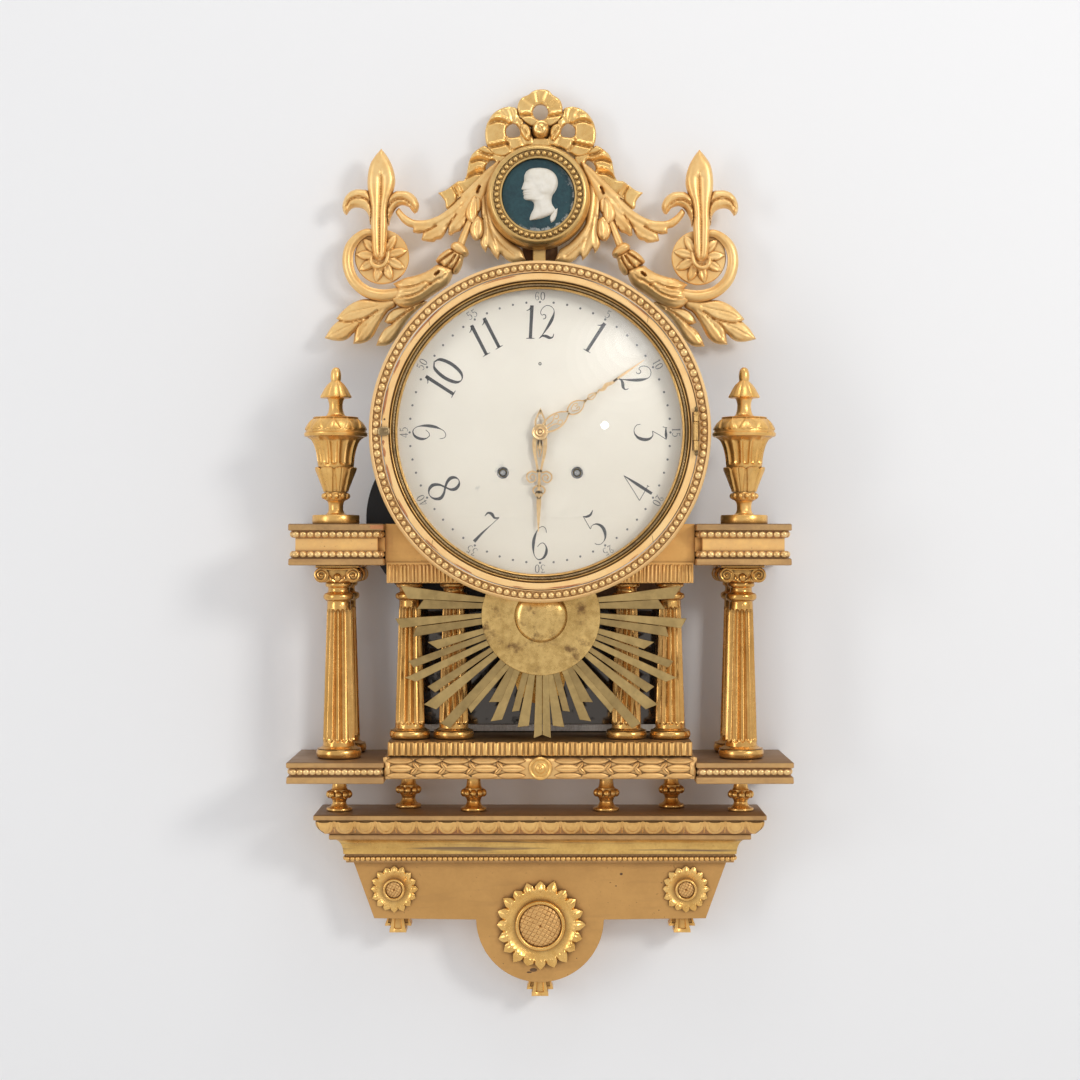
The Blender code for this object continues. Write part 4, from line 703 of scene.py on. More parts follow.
def columnShaft(carving, x, out, top, foot, sizes, depth, flutes=14):
    neck, ring, upper, lower, base = sizes
    tall = top - foot
    shaftTop = top - 0.118 * tall
    shaftLow = foot + 0.062 * tall
    bell = foot + 0.056 * tall
    profile = [(0, top), (neck, top)]
    profile += swell(neck - 0.6, neck - 0.6, top, top - 0.028 * tall, 1.6)
    profile += swell(neck - 1.2, upper + 0.4, top - 0.030 * tall, top - 0.062 * tall, -1.2)
    profile += swell(ring - 2.4, ring - 2.4, top - 0.064 * tall, top - 0.104 * tall, 2.6, 9)
    profile += swell(ring - 2.2, upper, top - 0.106 * tall, shaftTop, -0.8, 5)
    low, high = shaftLow + 0.05 * tall, shaftTop - 0.05 * tall
    marks = np.r_[shaftTop, np.arange(high + 6, high - 1, -1.0), np.linspace(high - 2, low + 2, 10),
                  np.arange(low + 1, low - 7, -1.0), shaftLow + 0.012 * tall]
    profile += [(upper + (lower - upper) * (shaftTop - z) / (shaftTop - shaftLow), z) for z in marks]
    profile += swell(lower, base - 0.8, shaftLow + 0.008 * tall, bell, -0.9, 7)
    profile += swell(base - 2.6, base - 3.2, bell, foot, 2.9, 10) + [(0, foot)]
    carving.spun(profile, (x, out), flutes * 12, shape=fluted(flutes, low, high, depth))


def volute(carving, x, z, out, size, hand):  # a scroll face: a raised spiral band round a button
    a = np.linspace(0, 1.75 * tau, 60)
    r = size * (1 - 0.74 * a / a[-1])
    bearing = pi / 2 - hand * a
    line = np.column_stack([x + r * np.cos(bearing), z + r * np.sin(bearing), np.full(60, out + 0.6)])
    carving.rope(line, [size * 0.17, size * 0.16, size * 0.12], 8)
    carving.ball((x, z, out + 0.8), size * 0.27, 12, 6)


def capital(carving, x, out, top, deep):
    face = out + deep
    carving.stack([(top - 0.2, 0.8), (top - 0.8, 0), (top - 2.6, 0), (top - 3.2, 1.2)],
                  (x - 23.8, x + 23.8), (out - deep, face), 0.8)
    carving.stack([(top - 3.0, 0), (top - 5.0, 1.0), (top - 9.5, 1.4), (top - 12.0, 0.6), (top - 17.2, 0),
                   (top - 19.0, 1.8)], (x - 17.0, x + 17.0), (out - deep + 2.0, face - 1.6), 0.8)
    carving.spun([(0, top - 12.0), (18.6, top - 12.0)] + swell(18.0, 15.6, top - 13.0, top - 18.6, 1.8)
                 + [(14.5, top - 19.2), (0, top - 19.2)], (x, out), 40)
    for hand in (-1, 1):
        cx, cz = x + hand * 17.4, top - 10.9
        roll = [(0.0, out - deep), (7.8, out - deep), (8.2, out - deep + 1.0)]
        roll += swell(8.0, 8.0, out - deep + 1.2, face - 1.2, -1.8, 9)
        roll += [(8.2, face - 1.0), (7.8, face - 0.2), (0, face - 0.2)]
        carving.spun(roll, (cx, cz), 30, facing=True)
        volute(carving, cx, cz, face - 0.4, 7.3, hand)
        # the channel that joins the scrolls, and a leaf beside the egg
        line = [(x + hand * 17.0, top - 3.9, face - 0.8), (x + hand * 8.0, top - 4.4, face - 1.0),
                (x, top - 4.6, face - 1.1)]
        carving.rope(runThrough(line, 10), 1.2, 8)
        line = [(x + hand * 8.6, top - 11.0, face - 2.2), (x + hand * 6.6, top - 15.4, face - 1.4),
                (x + hand * 2.4, top - 18.2, face - 1.6)]
        carving.rope(runThrough(line, 12), [0.7, 1.7, 0.8], 8)
    carving.ball((x, top - 13.4, face - 2.2), 1.0, 16, 8, (4.3, 4.7, 3.2))


for side, tag in ((-1, "left"), (1, "right")):
    for row in ("front", "rear"):
        made = Carving()
        x, out, top = side * outerColumn["across"], outerColumn[row], outerColumn["top"]
        capital(made, x, out, top, outerColumn["deep"])
        columnShaft(made, x, out, top - 18.6, outerColumn["foot"] + 0.3, outerColumn["sizes"],
                    outerColumn["fluteDepth"])
        piece("outerColumn.%s.%s" % (row, tag), made, "columns",
              replaces="outer_column_%s_%s" % (row, tag))
    for order in ("first", "second"):
        made = Carving()
        columnShaft(made, side * innerColumn[order], innerColumn["out"], innerColumn["top"],
                    innerColumn["foot"],
                    innerColumn["sizes"], innerColumn["fluteDepth"])
        piece("innerColumn.%s.%s" % (order, tag), made, "columns",
              replaces="inner_column_%s_%s" % (order, tag))
print("columns done")

# Heights of the urn are measured from its foot
urn = {"across": 224.0, "out": 95.0, "foot": -98.3, "beads": 11, "cupLeaves": 8, "lidLeaves": 10,
       "flutes": 14}


def urnShape(side):
    made = Carving()
    x, out, z = side * urn["across"], urn["out"], urn["foot"]

    def turned(profile, steps=48, shape=None):
        made.spun([(r, z + h) for r, h in profile], (x, out), steps, shape=shape)

    def cupLeaves(theta, radius, level):  # broad leaves with a rounded top, the next row showing between
        part = np.abs((theta * urn["cupLeaves"] / tau) % 1.0 - 0.5) * 2
        t = np.clip((level - z - 35.0) / 26.0, 0, 1)
        front = softStep(0.52 + 0.36 * t ** 0.7 - part, 0.03)
        top = softStep(t - 0.80, 0.05)
        dip = top * (2.6 * part ** 3 + 0.5 * np.abs(np.sin(3 * pi * part)))
        groove = np.exp(-(part / 0.06) ** 2) * 0.35
        return np.where(radius > 1, radius - 1.9 * (1 - front) - groove, radius), level - dip

    def lidLeaves(theta, radius, level):  # pointed leaves in low relief over a scalloped line
        part = np.abs((theta * urn["lidLeaves"] / tau) % 1.0 - 0.5) * 2
        t = (level - z - 100.4) / 15.0
        wide = 0.96 * np.clip(1 - t, 0, 1) ** 0.8
        scallop = 0.13 + 0.075 * np.abs(np.cos(1.5 * pi * part))
        raised = softStep(wide - part, 0.03) * softStep(t - scallop, 0.02)
        midrib = np.exp(-(part / 0.07) ** 2) * 0.35 * raised
        inside = (t > -0.02) & (t < 1.02)
        return radius + inside * (1.7 * raised - midrib - 0.8), level

    def skirt(theta, radius, level):
        lobes = np.abs(np.cos(4 * theta))
        return np.where((level < z + 155.4) & (level > z + 137.9), radius * (0.93 + 0.08 * lobes ** 0.6),
                        radius), level

    turned([(0, 0), (25.4, 0), (25.8, 0.8), (25.8, 8.4), (25.2, 9.5), (19.0, 9.9)]
           + swell(12.6, 8.1, 10.0, 14.6, -1.2)
           + straight(8.0, 8.0, 15.2, 19.0, 3) + swell(8.0, 10.6, 19.6, 25.4, -0.8) + [(10.6, 35), (0, 35)])
    turned([(0, 26)] + swell(12.4, 12.4, 26.0, 34.6, 1.0, 6) + [(0, 34.8)])
    for k in range(urn["beads"]):
        a = (k + 0.5) * tau / urn["beads"]
        made.ball((x + 12.7 * cos(a), z + 30.4, out + 12.7 * sin(a)), 3.4, 12, 8)
    cup = runThrough([(13.6, 35.0), (15.4, 40.0), (18.4, 48.0), (21.4, 56.0), (22.9, 61.6)], 18).tolist()
    turned([(0, 35)] + cup + [(22.2, 62.2), (20.2, 61.4), (0, 59.0)], urn["cupLeaves"] * 18, cupLeaves)
    body = runThrough([(19.4, 58.0), (19.9, 65.0), (20.5, 72.0), (22.0, 80.0), (24.2, 87.0), (26.8, 91.6),
                       (31.0, 94.8)], 26)
    turned([(0, 58)] + body.tolist() + [(0, 95)], urn["flutes"] * 12,
           fluted(urn["flutes"], z + 68.0, z + 89.5, 2.8, 0.40))
    dome = runThrough([(34.2, 100.2), (33.2, 103.4), (31.4, 107.4), (28.8, 111.4), (25.6, 114.8)], 44)
    turned([(0, 94.6), (30.6, 94.8), (33.8, 95.6), (34.7, 96.8), (34.7, 99.4)] + dome.tolist()
           + [(25.0, 115.2), (25.0, 116.4), (24.2, 117.0), (15.0, 117.5)]
           + swell(11.8, 7.6, 118.0, 126.5, -1.2)
           + straight(7.5, 7.5, 127.5, 131.0, 3) + swell(7.6, 10.8, 131.6, 138.0, -0.9) + [(0, 138)],
           urn["lidLeaves"] * 20, lidLeaves)
    turned([(0, 137.4), (10.0, 137.6), (16.4, 138.0), (17.2, 138.9), (16.8, 140.2), (15.2, 143.0),
            (12.6, 148.0), (9.8, 152.2),
            (6.6, 155.2), (5.2, 156.8), (5.7, 159.0), (5.8, 163.0), (5.2, 167.0), (4.0, 169.8),
            (2.2, 171.3), (0, 171.7)], 96, skirt)
    return made


for side, tag in ((-1, "left"), (1, "right")):
    piece("urn." + tag, urnShape(side), "urns", replaces="urn_" + tag)
print("urns done")

block = {"inner": 168.4, "outer": 271.1, "top": -98.6, "depth": 140.0, "beads": 12, "lowOuter": 273.4,
         "lowTop": -355.6,
         "lowBeads": 14}


def beadRun(carving, start, end, count, radius, squash=(1, 1, 1)):
    for k in range(count):
        share = (k + 0.5) / count
        carving.ball([a + (b - a) * share for a, b in zip(start, end)], radius, 12, 8, squash)


# a row along the front and back down both sides
def beadFront(carving, across, out, z, radius, inset, count):
    x0, x1 = across[0] + inset, across[1] - inset
    front = out[1] - inset
    beadRun(carving, (x0, z, front), (x1, z, front), count, radius, (1.14, 1.0, 0.92))
    pitch = (x1 - x0) / count
    along = int((front - out[0] - 1.2 * radius) / pitch)
    for x in (x0, x1):
        beadRun(carving, (x, z, front - pitch / 2), (x, z, front - pitch / 2 - along * pitch), along,
                radius, (0.92, 1.0, 1.14))


for side, tag in ((-1, "left"), (1, "right")):
    across = sorted((side * block["inner"], side * block["outer"]))
    out, top = (0.3, block["depth"]), block["top"]
    made = Carving().stack([(top, 0.9), (top - 0.9, 0), (top - 6.6, 0), (top - 7.4, 0.8)], across, out)
    piece("blockCap." + tag, made, "cap")
    if side < 0:  # leaf gone at one corner of the cap
        made = Carving().stack([(top - 1.2, 0.6), (top - 1.6, 0), (top - 5.6, 0), (top - 6.2, 2.2)],
                (across[1] - 14.5, across[1] - 0.4),
                               (block["depth"] - 0.4, block["depth"] + 0.12), 0.05)
        piece("capBole", made, "bole")
    made = Carving()
    made.stack([(top - 7.5, 3.0), (top - 8.0, 3.2), (top - 14.4, 3.6),
                (top - 15.0, 5.2), (top - 15.6, 7.2), (top - 29.2, 7.2), (top - 29.8, 3.8), (top - 36.6, 3.6),
                (top - 37.2, 1.4), (top - 38.2, 0.2), (top - 44.0, 0), (top - 44.8, 0.9)], across, out)
    piece("entablatureBlock." + tag, made, "fillet", replaces="entablature_block_" + tag)
    made = Carving().stack([(top - 15.7, 0), (top - 29.1, 0)], (across[0] + 6.9, across[1] - 6.9),
            (0.5, out[1] - 6.9))
    piece("blockFrieze." + tag, made, "band")
    made = Carving()
    beadFront(made, across, out, top - 11.2, 3.9, 3.9, block["beads"])
    beadFront(made, across, out, top - 33.2, 4.0, 3.9, block["beads"])
    low, wide = block["lowTop"], sorted((side * block["inner"], side * block["lowOuter"]))
    beadFront(made, wide, out, low - 10.7, 4.1, 3.9, block["lowBeads"])
    piece("blockBeads." + tag, made, "beads")
    made = Carving()
    made.stack([(low, 0.9), (low - 0.9, 0), (low - 5.4, 0), (low - 6.2, 0.8), (low - 7.0, 3.0),
                (low - 14.4, 3.2),
                (low - 15.2, 1.6), (low - 16.4, 0.4), (low - 22.4, 0), (low - 23.2, 0.9)], wide, out)
    piece("lowerBlock." + tag, made, "fillet", replaces="lower_block_" + tag)
    inner = sorted((side * 167.9, side * 160.0))
    made = Carving().stack([(top - 1.0, 0), (top - 43.6, 0)], inner, (100.0, 115.4), 0.2)
    made.stack([(top - 14.6, 0), (top - 30.2, 0)], sorted((side * 168.2, side * 177.0)), (100.0, 122.0), 0.2)
    piece("railReturn." + tag, made, "rail")
print("blocks done")


def reed(carving, x, half, low, high, out, rise):  # one upright half-round reed with soft ends
    a = np.linspace(0, pi, 8)
    rows = []
    for z, grow in ((high, 0.5), (high - 1.1, 1.0), (low + 1.1, 1.0), (low, 0.5)):
        rows.append([(x + half * cos(b), z, out + rise * grow * sin(b)) for b in a]
                    + [(x - half, z, out - 1.4), (x + half, z, out - 1.4)])
    carving.sheet(np.array(rows), wrapCols=True, caps=True)


frieze = {"half": 165.6, "top": -142.8, "foot": -162.5, "out": 117.2, "reeds": 79}
made = Carving()
pitch = 2 * frieze["half"] / frieze["reeds"]
for k in range(frieze["reeds"]):
    x = -frieze["half"] + (k + 0.5) * pitch + 0.3 * sin(k * 2.4)
    reed(made, x, (0.44 + 0.05 * sin(k * 5.1)) * pitch, frieze["foot"], frieze["top"],
         frieze["out"] + 0.25 * sin(k * 3.3), 2.1)
piece("friezeReeds", made, "reeds")

plinth = {"half": 164.7, "top": -334.4, "foot": -350.0, "out": 127.8, "periods": 26, "wide": 6.6,
          "narrow": 4.2}
made = Carving()
made.stack([(plinth["top"], 0.6), (plinth["top"] - 0.6, 0), (plinth["foot"] + 0.2, 0)],
           (-plinth["half"], plinth["half"]), (12.3, plinth["out"] + 0.4), 0.6)
period = 2 * plinth["half"] / plinth["periods"]
for k in range(plinth["periods"]):
    for shift, width in ((0.29, plinth["wide"]), (0.79, plinth["narrow"])):
        x = -plinth["half"] + (k + shift) * period + 0.2 * sin(4.1 * k)
        reed(made, x, 0.5 * width, plinth["foot"] + 0.4, plinth["top"] - 0.4, plinth["out"],
             0.6 + 0.40 * width)
piece("plinthReeds", made, "reeds", replaces="plinth_rail")

laurel = {"half": 168.0, "top": -350.2, "foot": -375.4, "groups": 5, "core": 122.8, "round": 9.0,
          "start": 14.0}
made = Carving()
mid, tall = (laurel["top"] + laurel["foot"]) / 2, laurel["top"] - laurel["foot"]
section = [(mid + tall / 2 * sin(b), laurel["core"] + laurel["round"] * cos(b))
           for b in np.linspace(pi / 2, -pi / 2, 15)]
rows = []
for x in np.linspace(-laurel["half"], laurel["half"], 25):
    rows.append([(x, z, out) for z, out in section] + [(x, laurel["foot"], 12.3), (x, laurel["top"], 12.3)])
made.sheet(np.array(rows), wrapCols=True, caps=True)


def onRail(z):  # how far out the round of the rail stands at a height
    up = np.clip((z - mid) / (tall / 2), -0.985, 0.985)
    return laurel["core"] + laurel["round"] * np.sqrt(1 - up ** 2)


# a leaf pointed at both ends, lying on the rail
def lensLeaf(carving, x, z, length, half, turn=0.0, rise=1.5):
    s = np.linspace(-1, 1, 17)[:, None]
    t = np.linspace(-1, 1, 11)[None, :]
    shape = np.clip(1 - np.abs(s) ** 2.4, 0, 1) ** 0.8 + 0.02
    a, b = 0.5 * length * s + 0 * t, half * shape * t
    px = x + a * cos(turn) - b * sin(turn)
    pz = np.clip(z + a * sin(turn) + b * cos(turn), laurel["foot"] + 0.2, laurel["top"] - 0.2)
    crown = (1 - 0.8 * np.abs(t) ** 2.2) * (0.35 + 0.65 * shape) - 0.25 * np.exp(-(t / 0.1) ** 2) * shape
    upper = np.stack([px, pz, onRail(pz) + 0.3 + rise * crown], -1)
    under = np.stack([px, pz, onRail(pz) - 1.2], -1)[:, ::-1]
    carving.sheet(np.concatenate([upper, under], 1), wrapCols=True, caps=True)


pips = Carving()
step = (laurel["half"] - 3.0 - laurel["start"]) / laurel["groups"]
for hand in (-1, 1):
    for k in range(laurel["groups"]):
        x = hand * (laurel["start"] + (k + 0.5) * step) + 0.6 * sin(3.0 * k + hand)
        lensLeaf(made, x, mid + 0.2, step * 0.92, 4.9, 0.0, 3.5)
        for up in (-1, 1):
            lensLeaf(made, x + hand * 1.0, mid + up * 8.4, step * 1.0, 4.0, 0.0, 3.0)
            joint = hand * (laurel["start"] + (k + 1) * step)
            if k + 1 < laurel["groups"]:
                lensLeaf(made, joint - up * hand * 1.2, mid + up * 2.6, 11.5, 3.0, up * hand * 0.85, 3.4)
                pips.ball((joint, mid + up * 8.6, onRail(mid + 8.6) + 0.6), 1.25, 10, 6)
    for lean in (-1, 1):  # the crossed ribbon at the end
        edge = hand * (laurel["half"] - 3.0)
        line = [(edge - lean * 2.6, laurel["foot"] + 1.0, 126.0), (edge, mid, 134.2),
                (edge + lean * 2.6, laurel["top"] - 1.0, 126.0)]
        made.rope(runThrough(line, 12), 2.6, 8, 0.5)
piece("laurelRail", made, "laurel")
piece("laurelPips", pips, "pine")
made = Carving()
made.spun([(0, 128.0), (12.4, 128.0), (12.8, 131.8), (12.2, 133.8), (11.0, 134.6), (9.8, 134.2),
           (9.0, 133.4), (6.6, 133.6)]
          + swell(5.6, 2.8, 134.0, 136.0, 0.6, 5) + [(1.8, 136.4)] + swell(1.6, 0.2, 136.6, 138.0, 0.3, 4)
          + [(0, 138.0)],
          (0.4, mid), 48, facing=True)
piece("laurelRosette", made, "urns")
print("rails done")

foot = {"floor": -418.0, "beads": 9}


def footShape(x, out, top):
    made = Carving()
    floor = foot["floor"]
    tall = top - floor
    made.spun([(0, top), (8.2, top), (8.0, top - 0.16 * tall)]
              + swell(7.6, 10.0, top - 0.20 * tall, top - 0.40 * tall, -0.7)
              + swell(10.0, 10.0, top - 0.42 * tall, top - 0.63 * tall, 0.4)
              + swell(9.6, 7.6, top - 0.65 * tall, top - 0.74 * tall, -0.4)
              + swell(7.6, 12.6, top - 0.76 * tall, top - 0.90 * tall, -1.4)
              + swell(13.6, 14.0, top - 0.91 * tall, floor, 0.7)
              + [(0, floor)], (x, out), 40)
    for k in range(foot["beads"]):
        a = (k + 0.25) * tau / foot["beads"]
        made.ball((x + 10.9 * cos(a), top - 0.525 * tall, out + 10.9 * sin(a)), 4.0, 14, 9, (1.0, 1.12, 1.0))
    return made


for side, tag in ((-1, "left"), (1, "right")):
    for order, x, out, top in (("inner", 74.0, 55.0, -375.8), ("outer", 224.0, 55.0, -379.2),
            ("rear", 148.6, 25.0, -375.8)):
        piece("foot.%s.%s" % (order, tag), footShape(side * x, out, top), "columns",
              replaces="foot_%s_%s" % (order, tag))

shelf = {"half": 249.0, "top": -418.3, "depth": 95.0, "tongues": 22, "beads": 76}
made = Carving()
z = shelf["top"]
ovolo = [(z - 6.6 - 16.4 * k, 3.4 + 12.0 * k ** 2.2) for k in np.linspace(0, 1, 7)]
made.stack([(z, 0.9), (z - 0.9, 0), (z - 5.2, 0), (z - 5.9, 0.9), (z - 6.2, 3.2)] + ovolo
           + [(z - 23.4, 16.4), (z - 24.0, 15.6), (z - 28.6, 15.6), (z - 29.2, 16.6), (z - 29.4, 20.8),
              (z - 29.7, 32.0), (z - 47.4, 32.2),
              (z - 48.4, 32.6), (z - 56.8, 33.0)], (-shelf["half"], shelf["half"]), (0.3, shelf["depth"]),
           0.8)
piece("bracketCornice", made, "fillet", replaces="bracket_cornice")


def tongueStrip(carving, run, slopeAt, outward):
    # a row of rounded tongues; slopeAt gives a point from the share along and down
  
    count = int(round(run / (2 * shelf["half"]) * shelf["tongues"]))
    s = np.linspace(0, 1, count * 22 + 1)[:, None]
    v = np.linspace(0, 1, 15)[None, :]
    u = np.abs((s * count) % 1.0 - 0.5) * 2
    inside = 1 - (u / 0.90) ** 2.2 - (np.maximum(v - 0.22, 0) / 0.70) ** 2.2
    heart = 1 - (u / 0.60) ** 2.0 - (np.maximum(v - 0.16, 0) / 0.58) ** 2.0
    dart = np.exp(-((1 - u) / 0.07) ** 2) * (v < 0.86)
    rise = 2.4 * softStep(inside, 0.05) + 1.0 * np.clip(heart, 0,
            1) ** 0.6 - 0.9 * np.exp(-(heart / 0.20) ** 2) + 1.0 * dart
    base = slopeAt(s, v)
    carving.sheet(base + np.array(outward)[None, None, :] * (rise - 0.4)[..., None])


def ovoloPoint(share):  # drop below the shelf top and inset behind its edge
    return z - 6.6 - 16.4 * share, 3.4 + 12.0 * share ** 2.2


def frontSlope(s, v):
    drop, inset = ovoloPoint(v)
    half = shelf["half"] - inset
    return np.stack(np.broadcast_arrays(np.clip((2 * s - 1) * shelf["half"], -half, half), drop + 0 * s,
            shelf["depth"] - inset + 0 * s), -1)


made = Carving()
tongueStrip(made, 2 * shelf["half"], frontSlope, (0.0, -0.62, 0.78))
for side in (-1, 1):
    def sideSlope(s, v, side=side):
        drop, inset = ovoloPoint(v)
        return np.stack(np.broadcast_arrays(side * (shelf["half"] - inset) + 0 * s, drop + 0 * s,
                                            0.6 + s * (shelf["depth"] - inset - 0.6)), -1)
    tongueStrip(made, shelf["depth"], sideSlope, (side * 0.78, -0.62, 0.0))
piece("corniceTongues", made, "reeds", crease=60.0)
hollow = [(z - 29.6, 20.4)] + [(z - 29.8 - 17.2 * (1 - cos(k)), 21.0 + 9.6 * sin(k))
        for k in np.linspace(0, pi / 2, 12)]
made = Carving().stack(hollow, (-shelf["half"] - 0.4, shelf["half"] + 0.4), (0.4, shelf["depth"] + 0.4), 0.8)
piece("corniceHollow", made, "hollow", crease=60.0)
made = Carving()
beadFront(made, (-shelf["half"], shelf["half"]), (0.3, shelf["depth"]), z - 52.4, 2.75, 31.8, shelf["beads"])
piece("corniceBeads", made, "reeds")

apron = {"topHalf": 208.6, "lowHalf": 185.5, "top": -475.4, "low": -539.3, "depth": 51.0, "drop": 71.5}
made = Carving()
curve = [(apron["drop"] * cos(b), apron["low"] + apron["drop"] * sin(b))
         for b in np.linspace(-0.02, -pi + 0.02, 56)]
made.slab([(-apron["lowHalf"], apron["low"]), (-apron["topHalf"], apron["top"]),
           (apron["topHalf"], apron["top"]),
           (apron["lowHalf"], apron["low"])] + curve, 0.3, apron["depth"], 0.5)
piece("bracketApron", made, "apron", replaces="bracket_apron")
made = Carving()  # knocks through the gilding
for x, z, wide, high in ((90.9, -489.7, 1.7, 1.4), (85.0, -503.1, 1.0, 0.6), (133.0, -530.2, 0.7, 0.6),
        (-7.4, -597.0, 4.2, 2.2),
                         (-12.0, -599.6, 3.0, 1.0), (-41.0, -590.0, 0.6, 0.5), (41.0, -584.0, 0.6, 0.5)):
    made.ball((x, z, apron["depth"]), 1.0, 12, 6, (wide, high, 0.25))
piece("apronKnocks", made, "pine")
made = Carving()
for x, top in ((-160.0, apron["low"]), (160.0, apron["low"]), (0.0, apron["low"] - apron["drop"])):
    for shift, spread, low, front, slim in ((-6.8, -2.2, 11.6, 29.0, 0.62), (6.8, 2.2, 11.6, 29.0, 0.62),
            (0.0, 0.0, 18.2, 34.0, 1.0)):
        rows = []
        for share, half in ((0.0, 6.2), (0.45, 7.0), (0.82, 8.4), (0.84, 9.2), (1.0, 9.5)):
            cx, h = x + shift + spread * share, half * slim
            level = top + 6.0 - (low + 6.0) * share
            face = front + 4 * share
            dish = 1.8 if share < 0.83 else 0.3
            rows.append([(cx - h, level, 12.0), (cx + h, level, 12.0), (cx + h, level, face),
                         (cx + 0.55 * h, level, face),
                         (cx + 0.42 * h, level, face - dish), (cx - 0.42 * h, level, face - dish),
                         (cx - 0.55 * h, level, face), (cx - h, level, face)])
        made.sheet(np.array(rows), wrapCols=True, caps=True)
piece("apronTassels", made, "urns")
print("bracket done")


def sunflowerShape(x, z, radius, valley, rim, boss, petals, back):
    # one dish that rises outward to a ridge, then folds down into a ring of pointed tips
    made = Carving()
    grow = radius / 49.8
    theta = np.arange(petals * 18) * tau / (petals * 18)
    part = np.abs((theta * petals / tau + 0.5) % 1.0 - 0.5) * 2
    wobble = 1 + 0.03 * np.sin(5 * theta + 1.0) + 0.02 * np.sin(11 * theta)
    far = valley + (radius * wobble - valley) * (1 - part) ** 0.9
    u = np.linspace(0, 1, 22)[:, None]
    r = rim * 0.94 + (far[None, :] - rim * 0.94) * u
    ridge = rim + 0.80 * (valley - rim)
    climb = np.clip((r - rim) / (ridge - rim), 0, 1)
    past = np.clip((r - ridge) / (radius - ridge), 0, 1)
    groove = np.exp(-((1 - part[None, :]) / 0.16) ** 2) * softStep(r - ridge, 0.9 * grow)
    spine = np.exp(-(part[None, :] / 0.22) ** 2) * softStep(r - ridge, 0.9 * grow) * (1 - past)
    height = back + grow * (3.4 + 3.6 * climb ** 1.8 - 3.0 * past ** 1.1 - 2.2 * groove + 1.3 * spine)
    top = np.stack([x + r * np.cos(theta), z + r * np.sin(theta), np.maximum(height, back + 0.5)], -1)
    under = top[::-1].copy()
    under[..., 2] = back
    made.sheet(np.concatenate([top, under], 0), wrapRows=True, wrapCols=True)
    made.spun([(0, back), (rim, back), (rim, back + 6.0), (boss, back + 6.0), (boss - 0.4, back + 4.6),
               (0, back + 4.6)], (x, z), 64,
              facing=True)
    middle = (rim + boss) / 2
    made.rope([(x + middle * cos(b), z + middle * sin(b), back + 7.2) for b in np.arange(72) * tau / 72],
              (rim - boss) / 2, 10,
              ring=True)
    return made


def seedHead(x, z, boss, cells, back):  # a dome cut with two sets of crossing furrows
    u = np.linspace(-1, 1, 95)
    gx, gz = np.meshgrid(u, u, indexing="ij")
    scale = np.maximum(np.abs(gx), np.abs(gz)) / np.maximum(np.hypot(gx, gz), 1e-6)
    gx, gz = gx * scale, gz * scale
    far = np.hypot(gx, gz)
    one = np.abs(np.sin(pi * cells * (0.42 * gx + 0.91 * gz + 0.08 * gx ** 2) / 2))
    two = np.abs(np.sin(pi * cells * (0.88 * gx - 0.48 * gz + 0.08 * gz ** 2) / 2))
    seeds = np.clip(np.minimum(one * 2.2, two * 3.0), 0, 1)
    pit = np.exp(-((gx * boss) ** 2 + (gz * boss) ** 2) / 2.2)
    height = back + 5.0 + 5.0 * (boss / 23.4) ** 0.8 * (1
            - far ** 2) ** 0.8 + 1.0 * (boss / 23.4) ** 0.5 * seeds - 2.0 * pit
    return Carving().sheet(np.stack([x + boss * gx, z + boss * gz, height], -1))


for tag, x, z, radius, valley, rim, boss, petals, cells in (("centre", 0.3, -546.3, 49.6, 42.4, 28.0, 23.6,
        20, 10),
                                                            ("left", -163.0, -506.3, 26.2, 22.2, 12.2, 9.4,
        16, 6),
                                                            ("right", 163.0, -506.3, 26.2, 22.2, 12.2, 9.4,
        16, 6)):
    made = sunflowerShape(x, z, radius, valley, rim, boss, petals, 51.3)
    piece("sunflower." + tag, made, "burnished", replaces="sunflower_" + tag,
          crease=50.0)
    piece("seedHead." + tag, seedHead(x, z, boss, cells, 51.3), "seeds",
          crease=70.0)
print("sunflowers done")

# Carved crest, drawn on two sketch sheets whose squares are turned into millimetres here

crest = {"back": 24.6, "bowBack": 12.6}


def onSide(*points):
    return [(-245.0 + 0.1469 * u, 333.4 - 0.1469 * v) for u, v in points]


def onTop(*points):
    return [(-129.2 + 0.1684 * u, 400.9 - 0.1684 * v) for u, v in points]


def lines(sheet, depth, width, *runs):
    return [(sheet(*run), depth, width) for run in runs]


